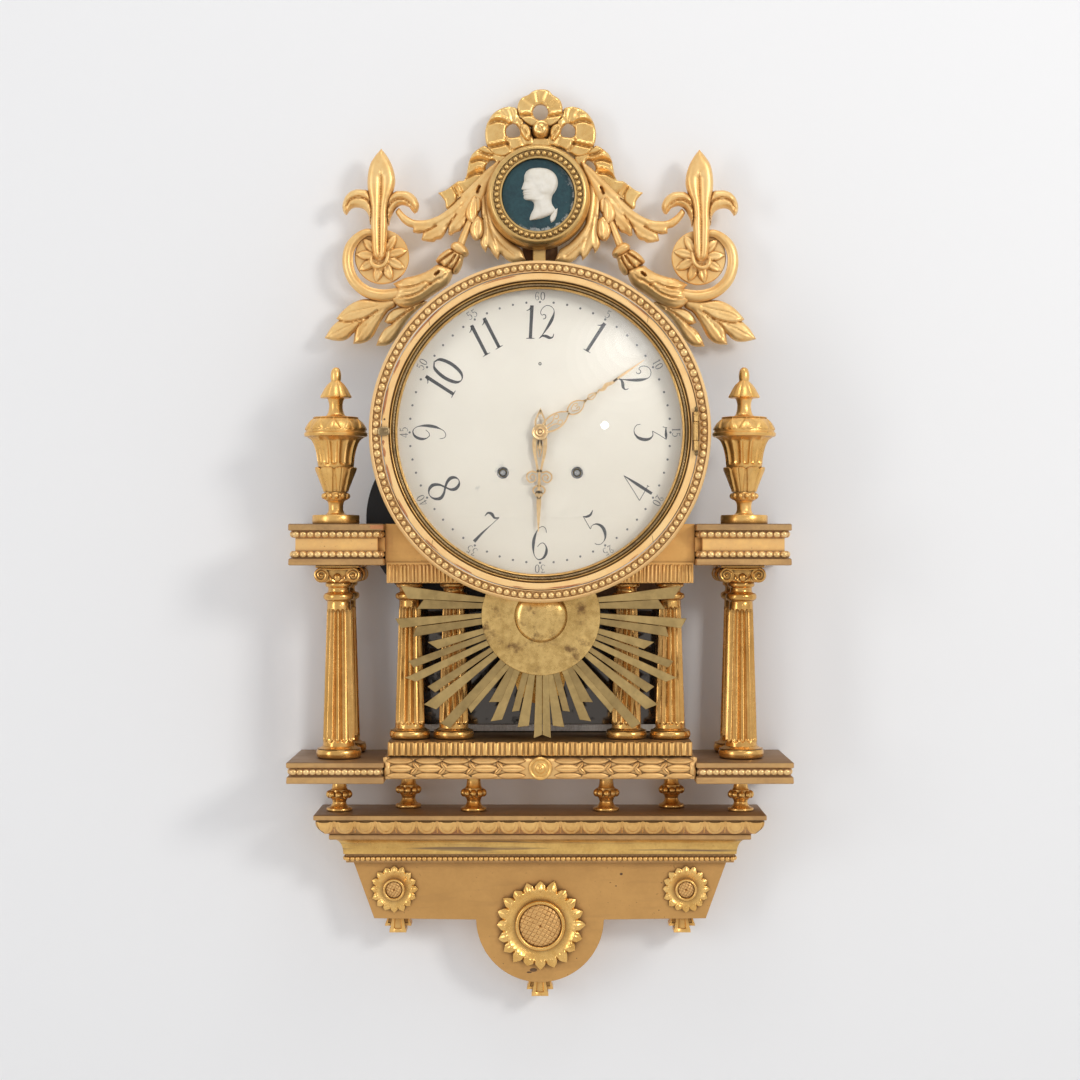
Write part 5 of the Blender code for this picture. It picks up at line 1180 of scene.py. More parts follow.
def fleurShape(made, back):
    bud = onSide((452, 62), (452, 62), (492, 112), (526, 172), (547, 235), (556, 300), (549, 355),
                 (530, 415), (506, 475), (496, 545),
                 (498, 640), (494, 740), (488, 830), (478, 895), (440, 918), (398, 895), (382, 830),
                 (377, 740), (372, 640),
                 (372, 545), (362, 455), (350, 385), (346, 310), (352, 240), (370, 172), (408, 112))
    made.relief(bud, back, 7.0, 6.0, 8.0, lines(onSide, 1.6, 0.7,
            [(453, 235), (450, 400), (441, 560), (438, 700), (440, 905)])
                + lines(onSide, 2.6, 3.6, [(453, 290), (450, 400), (441, 560), (438, 700), (440, 905)]))
    for lobe, hollow in ((((366, 640), (352, 570), (326, 528), (290, 508), (250, 504), (220, 514),
            (200, 534), (183, 562), (183, 562), (162, 548),
                           (151, 510), (155, 470), (175, 422), (210, 386), (255, 369), (300, 369),
            (352, 382), (380, 460), (385, 560)),
                          [(385, 500), (345, 455), (290, 434), (240, 440), (203, 466), (182, 515)]),
                         (((505, 650), (516, 600), (540, 545), (566, 508), (600, 487), (632, 490),
            (664, 505), (684, 532), (702, 550), (702, 550),
                           (724, 538), (739, 490), (722, 440), (690, 405), (650, 383), (600, 379),
            (552, 386), (500, 440), (488, 560)),
                          [(500, 505), (540, 465), (590, 445), (640, 455), (678, 485), (700, 525)])):
        made.relief(onSide(*lobe), back - 2.0, 4.5, 8.0, 6.0, lines(onSide, 3.4, 1.5, hollow))
    cup = runThrough(onSide((375, 895), (380, 940), (415, 968), (455, 966), (488, 940), (503, 895),
            (512, 848)), 26)
    made.rope(np.column_stack([cup, np.full(26, back + 11.0)]), [1.2, 2.2, 2.4, 2.4, 2.3, 2.0, 1.0], 10)


def rosetteShape(made, x, z, back, radius):
    made.spun([(0, back), (radius, back), (radius + 0.3, back + 0.8), (radius + 0.3, back + 4.6),
               (radius - 0.6, back + 5.4), (0, back + 5.4)],
              (x, z), 64, facing=True)
    loop, creases = [], []
    for k in range(9):
        a = (k + 0.35) * tau / 9 + 0.06 * sin(2.3 * k)
        for far, turn in ((0.56, -0.348), (0.70, -0.25), (0.84, -0.13), (0.96, 0.0), (0.96, 0.0),
                          (0.84, 0.13), (0.70, 0.25), (0.56, 0.348)):
            loop.append((x + radius * far * cos(a + turn), z + radius * far * sin(a + turn)))
        creases.append(([(x + r * cos(a), z + r * sin(a)) for r in (7.0, 14.0, 0.90 * radius)], 1.2, 1.6))
        creases.append(([(x + r * cos(a + tau / 18), z + r * sin(a + tau / 18))
                         for r in (6.0, 11.0, 0.55 * radius)], 1.6, 0.9))
    made.relief(loop, back + 4.0, 2.6, 2.8, 4.6, creases, pitch=1.3)
    made.spun([(0, back + 5), (9.0, back + 5)] + swell(8.6, 6.6, back + 6.0, back + 9.0, 0.9, 6)
              + [(0, back + 10)], (x, z), 30, facing=True)


def sprayShape():
    made = Carving()
    back = crest["back"]
    scroll = runThrough(onSide((400, 700), (335, 700), (272, 735), (222, 792), (198, 852), (192, 920),
            (203, 990), (232, 1058), (282, 1115),
                               (342, 1155), (412, 1177), (482, 1183), (560, 1172), (640, 1150)), 90)
    made.rope(np.column_stack([scroll, np.full(90, back + 7.0)]),
              [3.6, 4.6, 5.6, 5.8, 5.9, 6.0, 6.2, 6.6, 6.6, 6.4], 18,
              shape=lambda s, a: 1 + 0.06 * np.cos(2 * a) - 0.24 * np.exp(-((a - pi / 2 + 0.75) / 0.20) ** 2))
    rosetteShape(made, -178.5, 203.6, back, 30.4)
    fleurShape(made, back + 4.6)
    # the fan of laurel blades at the foot
    made.relief(onSide((330, 1208), (270, 1220), (210, 1250), (150, 1300), (103, 1358), (103, 1358),
                       (122, 1374), (105, 1386), (60, 1432),
                       (13, 1507), (13, 1507), (80, 1524), (140, 1527), (190, 1510), (232, 1470),
                       (243, 1474), (233, 1550), (233, 1550),
                       (290, 1547), (340, 1530), (385, 1490), (420, 1425), (452, 1366), (500, 1300),
                       (560, 1262), (560, 1200), (440, 1215)),
                back, 5.0, 5.0, 8.0,
                lines(onSide, 2.4, 1.1, [(100, 1372), (200, 1386), (280, 1372), (345, 1350), (420, 1300)],
                      [(243, 1472), (262, 1430), (300, 1390), (348, 1354)])
                + lines(onSide, 1.0, 0.9, [(150, 1345), (200, 1318), (270, 1300), (350, 1282), (430, 1260)],
                        [(50, 1495), (120, 1458), (190, 1422), (250, 1400)],
                        [(252, 1530), (300, 1460), (345, 1400), (400, 1340), (460, 1290)])
                + lines(onSide, 0.55, 0.8, [(200, 1285), (280, 1262), (360, 1252)],
                        [(180, 1350), (250, 1335), (310, 1315)], [(90, 1450), (150, 1412), (200, 1400)],
                        [(110, 1500), (170, 1470), (215, 1435)], [(270, 1480), (320, 1410), (370, 1355)],
                        [(300, 1520), (350, 1460), (395, 1390), (440, 1330)]),
                pitch=1.5)
    made.relief(onSide((620, 1262), (548, 1284), (502, 1320), (470, 1380), (470, 1380), (496, 1394),
                       (526, 1400), (480, 1432), (440, 1482),
                       (408, 1564), (408, 1564), (480, 1564), (532, 1538), (568, 1498), (612, 1420),
                       (662, 1350), (722, 1290), (800, 1225), (700, 1240)),
                back, 4.0, 5.0, 7.0, lines(onSide, 2.2, 1.1,
            [(526, 1400), (580, 1358), (640, 1312), (700, 1275)])
                + lines(onSide, 0.9, 0.9, [(488, 1372), (540, 1332), (600, 1302), (660, 1275)],
                        [(425, 1545), (490, 1460), (560, 1390), (630, 1325)])
                + lines(onSide, 0.5, 0.8, [(470, 1450), (530, 1400), (590, 1350)],
                        [(480, 1530), (540, 1460), (600, 1385), (660, 1320)]), pitch=1.5)
    # the stem body wrapped in two acanthus leaves
    made.relief(onSide((880, 945), (838, 972), (790, 1000), (740, 1020), (690, 1034), (640, 1045),
                       (600, 1062), (540, 1092), (540, 1092), (562, 1122),
                       (560, 1160), (526, 1206), (526, 1206), (548, 1240), (590, 1268), (640, 1278),
                       (700, 1264), (780, 1220), (850, 1172),
                       (920, 1127), (966, 1086), (992, 1036), (1002, 985), (945, 955)), back + 1.0, 6.0,
                10.0, 12.0,
                lines(onSide, 2.2, 1.3, [(545, 1128), (640, 1130), (720, 1112), (790, 1085), (830, 1100)],
                      [(530, 1198), (600, 1205), (690, 1190), (770, 1150), (830, 1100), (900, 1060)])
                + lines(onSide, 0.9, 1.1, [(580, 1085), (660, 1078), (740, 1060), (820, 1030)],
                        [(560, 1230), (640, 1235), (720, 1215), (800, 1170), (880, 1110)],
                        [(610, 1100), (690, 1095), (760, 1075), (840, 1060)],
                        [(600, 1165), (680, 1160), (750, 1135)], [(900, 1075), (945, 1030), (960, 990)])
                + lines(onSide, 7.0, 1.2, [(868, 1028), (880, 1018), (893, 1008)]), pitch=1.5)
    # bell husk, its collar and the stem up into the spray
    made.relief(onSide((985, 825), (940, 838), (896, 873), (865, 914), (865, 914), (882, 936), (906, 944),
                       (922, 968), (945, 980), (985, 990), (1000, 1014),
                       (1020, 1018), (1042, 1004), (1066, 960), (1078, 905), (1085, 870)), back + 2.0, 6.0,
                9.0, 7.0,
                lines(onSide, 3.8, 1.1, [(895, 930), (940, 898), (1000, 858)],
                      [(940, 976), (985, 930), (1020, 880)], [(990, 1000), (1028, 940), (1050, 890)]),
                pitch=1.4)
    made.relief(onSide((990, 788), (1030, 772), (1075, 792), (1112, 830), (1120, 865), (1095, 888),
                       (1055, 880), (1010, 855), (982, 820)), back + 4.0, 6.0,
                9.0, 6.0, pitch=1.4)
    stem = runThrough(onSide((1055, 800), (1085, 725), (1120, 640), (1160, 560)), 24)
    made.rope(np.column_stack([stem, np.full(24, back + 8.0)]), [4.6, 4.2, 4.0, 3.6], 14)
    # the long outer acanthus with its whip end and broad lobes
    made.relief(onSide((585, 512), (606, 535), (645, 572), (695, 600), (752, 606), (820, 597), (890, 569),
                       (952, 529), (1012, 479), (1062, 424))
                + onTop((210, 783), (262, 738), (312, 690), (354, 648), (404, 598), (446, 562), (500, 528),
                        (480, 600), (440, 690), (400, 770),
                        (372, 820), (330, 850), (290, 900), (255, 985))
                + onSide((1075, 655), (1055, 682), (1015, 696), (985, 716), (964, 712), (964, 712),
            (962, 655), (940, 700), (908, 742), (872, 750), (850, 766),
                         (800, 763), (757, 752), (757, 752), (768, 700), (735, 702), (692, 694), (692, 694),
            (692, 660), (655, 648), (612, 618), (578, 575), (560, 542)),
                back, 8.0, 3.4, 6.0,
                lines(onSide, 0.9, 1.8, [(1110, 440), (1050, 520), (950, 598), (850, 650), (720, 655)],
                      [(1120, 480), (1060, 560), (960, 650), (870, 710), (790, 740)],
                      [(1130, 510), (1090, 580), (1040, 650), (985, 700)])
                + lines(onSide, 2.6, 1.0, [(964, 650), (990, 610), (1030, 560)],
                        [(768, 700), (820, 680), (870, 650)])
                + lines(onTop, 0.8, 1.6, [(470, 570), (400, 655), (320, 755), (240, 840)])
                + lines(onTop, 6.0, 1.0, [(365, 705), (355, 725), (348, 745)])
                + lines(onSide, -0.7, 2.2, [(1090, 560), (1010, 630), (930, 690)],
                        [(1060, 490), (960, 570), (860, 620)]), pitch=1.5)
    # the pods hanging in the fork
    for loop, groove in ((((322, 765), (286, 825), (266, 882), (284, 934), (322, 952), (350, 906),
            (354, 840), (342, 780)), [(328, 790), (312, 860), (318, 935)]),
                         (((352, 765), (330, 812), (340, 882), (366, 862), (372, 800)),
            [(352, 780), (350, 860)]),
                         (((345, 900), (305, 962), (298, 1012), (328, 1058), (370, 1048), (390, 1000),
            (384, 930)), [(345, 940), (335, 1000), (345, 1045)])):
        made.relief(onTop(*loop), back + 2.0, 8.0, 4.4, 5.0, lines(onTop, 1.4, 1.2, groove), pitch=1.4)
    # the inner leaf that hugs the medallion
    made.relief(onTop((440, 600), (390, 690), (352, 728), (362, 800), (372, 880), (380, 950), (380, 1010),
                      (368, 1082), (404, 1142), (404, 1142), (420, 1105), (452, 1152),
                      (487, 1190), (487, 1190), (502, 1152), (540, 1186), (580, 1208), (622, 1202),
                      (668, 1190), (668, 1190), (640, 1122), (580, 1080), (522, 1020),
                      (472, 950), (462, 870), (450, 780), (450, 700)), back, 7.0, 3.4, 6.0,
                lines(onTop, 1.3, 1.4, [(402, 740), (412, 860), (440, 975), (500, 1075), (600, 1165)],
                      [(398, 900), (408, 1000), (404, 1090)], [(425, 960), (460, 1060), (480, 1140)])
                , pitch=1.5)
    return made


leftSpray = sprayShape()
piece("crestSpray.left", leftSpray, "leaves", replaces="crest_spray_left")
piece("crestSpray.right", leftSpray.mirrored().move((0.8, -1.0, 0.0)), "leaves", replaces="crest_spray_right")
print("sprays done")

made = Carving()
back = crest["bowBack"]
made.relief(onTop((773, 38), (822, 45), (852, 74), (897, 105), (917, 150), (920, 200), (897, 246),
                  (862, 278), (820, 292), (725, 292), (680, 272), (645, 238),
                  (620, 200), (616, 150), (640, 100), (690, 74), (722, 50)), back, 8.6, 2.2, 3.0,
            lines(onTop, -1.5, 1.5, [(618, 204), (670, 196), (724, 200)],
                  [(820, 206), (870, 198), (922, 190)])
            + lines(onTop, 2.2, 1.6, [(624, 222), (680, 212), (724, 218)],
                    [(820, 224), (870, 216), (916, 208)])
            + lines(onTop, 1.1, 2.6, [(655, 92), (728, 150)], [(745, 45), (758, 135)],
                    [(892, 112), (818, 160)], [(828, 52), (795, 138)]),
            holes=[onTop((770, 134), (808, 150), (822, 190), (808, 230), (770, 246), (734, 230), (718, 190),
        (734, 150))], pitch=1.3)
for hand in (-1, 1):
    def across(*points, hand=hand):
        return [(x if hand < 0 else 1.2 - x, z) for x, z in onTop(*points)]
    made.relief(across((612, 168), (560, 155), (510, 165), (460, 195), (425, 240), (402, 300), (399, 360),
                       (410, 412), (440, 460), (480, 486), (535, 490),
                       (600, 450), (660, 425), (720, 412), (720, 360), (690, 330), (660, 290), (655, 250),
                       (625, 222)), back, 8.2, 2.2, 3.0,
                lines(across, -1.8, 1.6, [(404, 414), (470, 402), (545, 384)],
                      [(418, 252), (470, 228), (530, 236), (560, 258)])
                + lines(across, 2.4, 1.7, [(410, 432), (475, 420), (550, 402)],
                        [(416, 275), (475, 252), (535, 262), (550, 280)],
                        [(540, 372), (556, 420), (590, 455)])
                + lines(across, 1.2, 2.2, [(560, 158), (580, 215), (582, 258)], [(500, 172), (530, 215)],
                        [(640, 370), (655, 400), (665, 424)],
                        [(618, 215), (610, 240), (604, 262)]),
                holes=[across((585, 262), (618, 284), (632, 320), (626, 352), (585, 361), (547, 356),
            (537, 320), (547, 284))], pitch=1.3)
    made.relief(across((648, 272), (690, 288), (708, 330), (697, 384), (668, 380), (640, 342), (630, 300)),
                back + 3.0, 8.0, 4.5, 4.0,
                lines(across, 2.0, 1.3, [(650, 300), (675, 335), (690, 375)]), pitch=1.3)
    made.relief(across((470, 470), (400, 418), (350, 440), (310, 475), (290, 520), (280, 572), (270, 620),
                       (254, 650), (215, 655), (180, 680), (130, 716), (82, 732), (82, 732),
                       (110, 762), (128, 792), (134, 832), (156, 842), (156, 842), (200, 802), (245, 762),
                       (300, 730), (420, 640), (520, 560), (540, 490)),
                back, 7.2, 2.2, 3.0,
                lines(across, -2.2, 1.5, [(302, 505), (360, 482), (430, 505)],
                      [(272, 612), (330, 575), (400, 560)], [(200, 668), (228, 705), (246, 752)])
                + lines(across, 2.6, 1.5, [(296, 530), (355, 512), (405, 520)],
                        [(262, 645), (320, 610), (380, 600)], [(175, 685), (205, 735), (215, 785)],
                        [(350, 445), (400, 470), (450, 480)]),
                holes=[across((436, 512), (466, 520), (460, 556), (430, 590), (404, 590), (404, 545))],
                pitch=1.3)
made.spun([(0, back), (10.4, back), (10.4, 20.0)] + swell(10.2, 2.0, 21.0, 29.5, 2.4, 9) + [(0, 29.8)],
          (0.9, 348.8), 40, facing=True)
curl = [(0.9 + (8.0 - 6.4 * a / 8.4) * cos(a + 0.6), 348.8 + (8.0 - 6.4 * a / 8.4) * sin(a + 0.6),
         26.8 + 0.36 * a) for a in np.linspace(0, 8.4, 48)]
made.rope(curl, [1.8, 2.0, 1.8, 1.0], 8)
made.relief(onTop((722, 368), (824, 368), (842, 425), (700, 425)), back, 7.0, 3.0, 3.0, pitch=1.4)
piece("ribbonBow", made, "bow", replaces="ribbon_bow", crease=42.0)
print("bow done")

medal = {"x": -2.0, "z": 269.6, "radius": 59.0, "back": 24.6, "beads": 44, "beadCircle": 46.6, "plaque": 40.6}
made = Carving()
r, back = medal["radius"], medal["back"]
made.spun([(41.2, back), (r - 4, back), (r - 0.8, back + 3)]
          + swell(r - 0.4, r - 2.6, back + 4, back + 25, 0.9, 7)
          + swell(r - 2.8, 51.6, back + 26, back + 33.6, 1.9, 8)
          + [(50.6, back + 33.4), (50.0, back + 31.4), (43.6, back + 30.6)]
          + swell(43.0, 41.0, back + 31.2, back + 31.2, 0.0, 3) + [(41.0, back + 29.0)],
          (medal["x"], medal["z"]), 112, facing=True)
for k in range(medal["beads"]):
    a = k * tau / medal["beads"]
    made.ball((medal["x"] + medal["beadCircle"] * cos(a), medal["z"] + medal["beadCircle"] * sin(a),
               back + 31.8), 3.05, 12, 8)
made.stack([(214.0, 0.6), (213.4, 0), (198.6, 0), (198.0, 0.6)], (-8.0, 6.4), (12.6, 31.0), 0.8)
piece("medallionFrame", made, "frame", replaces="medallion_frame")

made = Carving()
front = 50.4
made.spun([(0, back + 1), (medal["plaque"], back + 1), (medal["plaque"], front - 0.5),
           (medal["plaque"] - 0.6, front), (20.0, front), (0, front)],
          (medal["x"], medal["z"]), 80, facing=True)
piece("cameoGround", made, "plaque", replaces="cameo_plaque")

# The cameo: a plain classical head, drawn by the usual canon of equal thirds for brow, nose and chin
cameo = {"height": 61.0, "top": 300.5, "x": 0.4, "relief": 4.6, "front": 50.2}
faceLine = [(0.02, 0.00), (0.26, 0.015), (0.40, 0.06), (0.47, 0.13), (0.485, 0.20), (0.485, 0.255),
            (0.50, 0.275), (0.525, 0.325),
            (0.555, 0.375), (0.56, 0.395), (0.515, 0.41), (0.50, 0.425), (0.52, 0.44), (0.525, 0.455),
            (0.50, 0.465), (0.515, 0.48),
            (0.515, 0.495), (0.49, 0.51), (0.50, 0.535), (0.49, 0.565), (0.44, 0.59), (0.34, 0.60),
            (0.25, 0.615), (0.20, 0.65), (0.19, 0.70),
            (0.21, 0.76), (0.26, 0.82), (0.30, 0.88), (0.32, 0.93), (0.32, 0.965)]
napeLine = [(0.02, 0.00), (-0.20, 0.02), (-0.36, 0.07), (-0.46, 0.14), (-0.51, 0.22), (-0.52, 0.30),
            (-0.49, 0.38), (-0.43, 0.45), (-0.37, 0.50),
            (-0.34, 0.56), (-0.335, 0.62), (-0.36, 0.68), (-0.42, 0.735), (-0.46, 0.78), (-0.44, 0.82),
            (-0.33, 0.86), (-0.18, 0.90), (0.0, 0.94),
            (0.2, 0.962), (0.32, 0.965)]
rows = 150
drop = np.linspace(0.0, 0.965, rows)
faceRun, napeRun = runThrough(faceLine, 400), runThrough(napeLine, 400)
left = -np.interp(drop, np.maximum.accumulate(faceRun[:, 1]), faceRun[:, 0])
right = -np.interp(drop, np.maximum.accumulate(napeRun[:, 1]), napeRun[:, 0])
t = np.linspace(0, 1, 61)[None, :]
v = drop[:, None] + 0 * t
u = left[:, None] + (right - left)[:, None] * t
gap = np.minimum(t, 1 - t) * (right - left)[:, None]
relief = 1 - np.exp(-np.maximum(gap, 0) / 0.085)
relief *= 1 - np.exp(-np.maximum(np.minimum(v, 0.985 - v), 0) / 0.03)


def blob(cu, cv, su, sv, turn=0.0):
    a = (u - cu) * cos(turn) + (v - cv) * sin(turn)
    b = -(u - cu) * sin(turn) + (v - cv) * cos(turn)
    return np.exp(-(a / su) ** 2 - (b / sv) ** 2)


hairEdge = 1 / (1 + np.exp(-((u + 0.30) * 0.9 - (v - 0.16) * 0.9) / 0.022)) * (v < 0.56)
hairEdge *= 1 / (1 + np.exp((v - 0.47 - 0.12 * np.clip(u, 0, 1)) / 0.012))
locks = 0.5 + 0.5 * np.sin(34.0 * (u * 0.62 + v * 0.78 + 0.45 * (u - 0.1) ** 2) + 1.6 * np.sin(9.0 * (u - v)))
relief += hairEdge * (0.12 + 0.08 * locks) * np.minimum(1, gap / 0.05)
relief += -0.17 * blob(-0.385, 0.285, 0.060, 0.026) + 0.09 * blob(-0.385, 0.286, 0.034,
        0.012) + 0.10 * blob(-0.40, 0.245, 0.075, 0.016, -0.15)
relief += 0.10 * blob(-0.30, 0.40, 0.10, 0.075) - 0.07 * blob(-0.44, 0.463, 0.055,
        0.010) - 0.06 * blob(-0.455, 0.413, 0.028, 0.014)
relief += 0.16 * blob(0.045, 0.345, 0.055, 0.070, -0.2) - 0.13 * blob(0.045, 0.345, 0.026, 0.040,
        -0.2) - 0.12 * blob(-0.02, 0.54, 0.20, 0.035, -0.25)
relief += 0.08 * blob(0.02, 0.72, 0.05, 0.16, -0.35)
tall = cameo["height"]
grid = np.stack([cameo["x"] + tall * 0.62 * u, cameo["top"] - tall * v,
                 cameo["front"] + cameo["relief"] * np.maximum(relief, 0)], -1)
made = Carving().sheet(grid)
made.relief(onTop((884, 866), (884, 866), (852, 888), (834, 930), (842, 962), (842, 962), (862, 948),
                  (878, 912)), cameo["front"], 0.8, 1.2, 2.0, pitch=1.0)
piece("cameoHead", made, "bisque", crease=70.0)
print("medallion done")

# Drum ring, door, dial and hands

finishes["gesso"] = paintFinish("bareGesso", (0.80, 0.76, 0.70), (0.66, 0.58, 0.50), 0.7, scale=120.0)
faceRing = {"back": 131.2, "outer": 183.3, "rebate": 170.2, "bore": 158.3, "front": 157.6, "beads": 138}


def beadCircle(made, count, radius, centre, out, size, jitter=0.0):
    # a ring of carved beads; size is their reach outward, along the ring and up
    for k in range(count):
        grow = 1 + jitter * sin(7.3 * k) * cos(3.1 * k)
        one = Carving().ball((radius, 0.0, out), 1.0, 14, 8, (size[0] * grow, size[1] * grow, size[2]))
        made.add(turnFlat(one.points[0], k * tau / count, centre), one.faces)


# The black case: a drum left open at its foot for the pendulum, and the round room of the bell beside it
drum = {"radius": 147.9, "inner": 140.2, "flange": 159.8, "back": 12.4, "front": 130.5, "gap": 0.17}
lobe = {"x": -94.0, "z": -92.0, "radius": 100.0, "wall": 5.0, "front": 56.2, "from": 125.5, "to": 307.0}
made = Carving().spun([(0, drum["back"]), (drum["radius"], drum["back"]), (drum["radius"], 17.2),
        (0, 17.2)], (0, 0), 120, facing=True)
made.spun([(drum["inner"], 121.8), (drum["flange"], 121.8), (drum["flange"], drum["front"]),
           (drum["inner"], drum["front"])], (0, 0), 120,
          facing=True)
wall = [(drum["inner"], 17.0), (drum["radius"], 17.0), (drum["radius"], 122.0), (drum["inner"], 122.0)]
turns = np.linspace(-pi / 2 + drum["gap"], 1.5 * pi - drum["gap"], 121)
made.sheet(np.array([[(r * cos(a), r * sin(a), d) for r, d in wall] for a in turns]), wrapCols=True,
           caps=True)
turns = np.radians(np.linspace(lobe["from"], lobe["to"], 61))
far, near = lobe["radius"], lobe["radius"] - lobe["wall"]
wall = [(near, 17.0), (far, 17.0), (far, 51.4), (near, 51.4)]
made.sheet(np.array([[(lobe["x"] + r * cos(a), lobe["z"] + r * sin(a), d) for r, d in wall]
        for a in turns]), wrapCols=True, caps=True)
cover = [(lobe["x"] + far * cos(a), lobe["z"] + far * sin(a)) for a in turns]
cover += [(146.0 * cos(a), 146.0 * sin(a)) for a in np.radians(np.linspace(259.0, 184.0, 30))]
made.slab(cover, drum["back"], 17.2, 0.4)
made.slab(cover, 51.2, lobe["front"], 0.4)
piece("movementCase", made, "black", replaces="movement_case")

made = Carving()
outer, front, back = faceRing["outer"], faceRing["front"], faceRing["back"]
made.spun([(faceRing["bore"], back), (outer - 0.8, back), (outer, back + 1.0), (outer, front - 6.4),
           (outer - 0.7, front - 3.4),
           (outer - 1.7, front - 1.2), (outer - 3.0, front - 0.1), (outer - 3.7, front - 0.4),
           (outer - 4.0, front - 2.0),
           (outer - 4.6, front - 2.8), (171.9, front - 2.8), (171.3, front - 2.2), (171.1, front - 0.6),
           (170.7, front - 0.3),
           (faceRing["rebate"], front - 0.6), (faceRing["rebate"], 140.3), (faceRing["bore"], 140.3)],
          (0, 0), 220, facing=True)
piece("drumRing", made, "ring", replaces="drum_ring", crease=50.0)
made = Carving()
beadCircle(made, faceRing["beads"], 175.6, (0.0, 0.0), front - 2.6, (3.9, 3.95, 3.5), 0.18)
piece("drumBeads", made, "beads", crease=50.0)

made = Carving()
made.spun([(162.3, 141.3), (169.4, 141.3), (169.4, 155.7), (168.9, 156.2), (163.2, 156.2), (162.5, 155.6),
           (162.3, 154.2)],
          (0, 0), 220, facing=True)
piece("doorRing", made, "ring", body="door", replaces="door_ring", crease=20.0)


def ringArcs(made, arcs, radius, out, flat):  # broken lines that follow the door's edge
    for start, end, thick in arcs:
        turns = np.radians(np.linspace(start, end, 90))
        wander = radius + 0.18 * np.sin(9 * turns) + 0.10 * np.sin(31 * turns)
        line = np.column_stack([wander * np.cos(turns), wander * np.sin(turns), np.full(90, out)])
        uneven = [thick * (0.7 + 0.4 * sin(5.3 * k + start)) for k in range(9)]
        made.rope(line, [0.05] + uneven + [0.05], 8, flat)


made = Carving()
ringArcs(made, ((93, 204, 0.48), (208, 262, 0.40), (276, 331, 0.42), (20, 74, 0.34), (340, 358, 0.24)),
         169.75, 156.75, 1.0)
made.ball((-169.6, 10.0, 156.2), 1.0, 10, 6, (0.8, 2.2, 0.5))
piece("jointLine", made, "gesso")
made = Carving()
ringArcs(made, ((96, 150, 0.9), (152, 176, 1.3), (183, 190, 1.7), (191, 214, 1.2), (222, 246, 0.9),
                (258, 292, 1.0), (300, 316, 0.7),
                (36, 72, 0.8)), 168.0, 156.1, 0.18)
piece("bareBole", made, "bole", body="door")

made = Carving()
for turn in (46.0, 135.5, 226.0, 316.5):  # where the four pieces of the band are scarfed
    a = radians(turn)
    skew = 0.55 if cos(a) * sin(a) > 0 else -0.55
    made.pen([(163.2 * cos(a - skew * 0.02), 163.2 * sin(a - skew * 0.02)), (166.0 * cos(a), 166.0 * sin(a)),
              (169.2 * cos(a + skew * 0.03), 169.2 * sin(a + skew * 0.03))], 156.05, 156.3, [0.3, 0.45, 0.3])
# a nail hole
made.spun([(0, 155.9), (1.1, 155.9), (1.1, 156.35), (0, 156.35)], (-166.2, 12.9), 14, facing=True)
piece("scarfLines", made, "pine", body="door")

made = Carving()
made.spun([(158.6, 142.2), (161.5, 142.2), (161.5, 150.4), (161.1, 151.4), (160.3, 151.8), (159.5, 151.4),
           (159.2, 150.3),
           (158.8, 149.9), (155.7, 149.9), (155.4, 150.4), (155.2, 151.1), (154.6, 151.5), (153.9, 151.1),
           (153.4, 150.2),
           (152.8, 149.6), (152.7, 148.6), (158.6, 148.6)], (0, 0), 220, facing=True)
piece("glassBezel", made, "brass", body="door", replaces="glass_bezel", crease=60.0)
turns = np.arange(1680) * tau / 1680
line = np.column_stack([157.25 * np.cos(turns), 157.25 * np.sin(turns), np.full(1680, 150.3)])
made = Carving().rope(line, 1.5, 8, ring=True, shape=lambda s,
        a: 1 + 0.22 * np.cos(2 * a - tau * 280 * np.arange(1680)[:, None] / 1680))
piece("bezelRope", made, "ropeBrass", body="door", crease=60.0)

hinge = {"x": 166.5, "out": 161.5, "half": 20.6, "radius": 2.5, "knuckle": 10.0, "play": 0.2}
outer, low, high = hinge["half"], hinge["knuckle"] - hinge["play"], hinge["knuckle"] + hinge["play"]
for node, spans in (("hinge_door_leaf", ((-low, low),)),
                    ("hinge_case_leaf", ((-outer, -high), (high, outer)))):
    onDoor = node == "hinge_door_leaf"
    made = Carving()
    for low, high in spans:
        r = hinge["radius"]
        made.spun([(0, low), (r - 0.4, low), (r, low + 0.4), (r, high - 0.4), (r - 0.4, high), (0, high)],
                  (hinge["x"], hinge["out"]), 24)
        leaf = (hinge["x"] - 3.4, hinge["x"] - 0.6) if onDoor else (hinge["x"] + 0.6, hinge["x"] + 3.2)
        made.stack([(high - 0.4, 0), (low + 0.4, 0)], leaf, (156.6 if onDoor else 158.0, 160.2), 0.2)
    piece("hingeBarrel." + ("door" if onDoor else "case"), made, "hinge", body="door" if onDoor else "case",
          replaces=node)
# painted shadow: a thin dark strip beside the hinge stands for the shade along its edge
made = Carving().stack([(20.4, 0), (-20.4, 0)], (162.6, 164.0), (156.0, 156.5), 0.2)
piece("hingeShadowStrip", made, "pine", body="door")
made = Carving()
for hand in (-1, 1):
    made.spun([(0, hand * 20.7), (1.9, hand * 20.7), (2.1, hand * 21.6), (1.3, hand * 22.4),
               (1.7, hand * 23.4), (1.9, hand * 24.6),
               (1.2, hand * 25.9), (0, hand * 26.6)], (hinge["x"], hinge["out"]), 20)
piece("hingeFinials", made, "darkBrass")

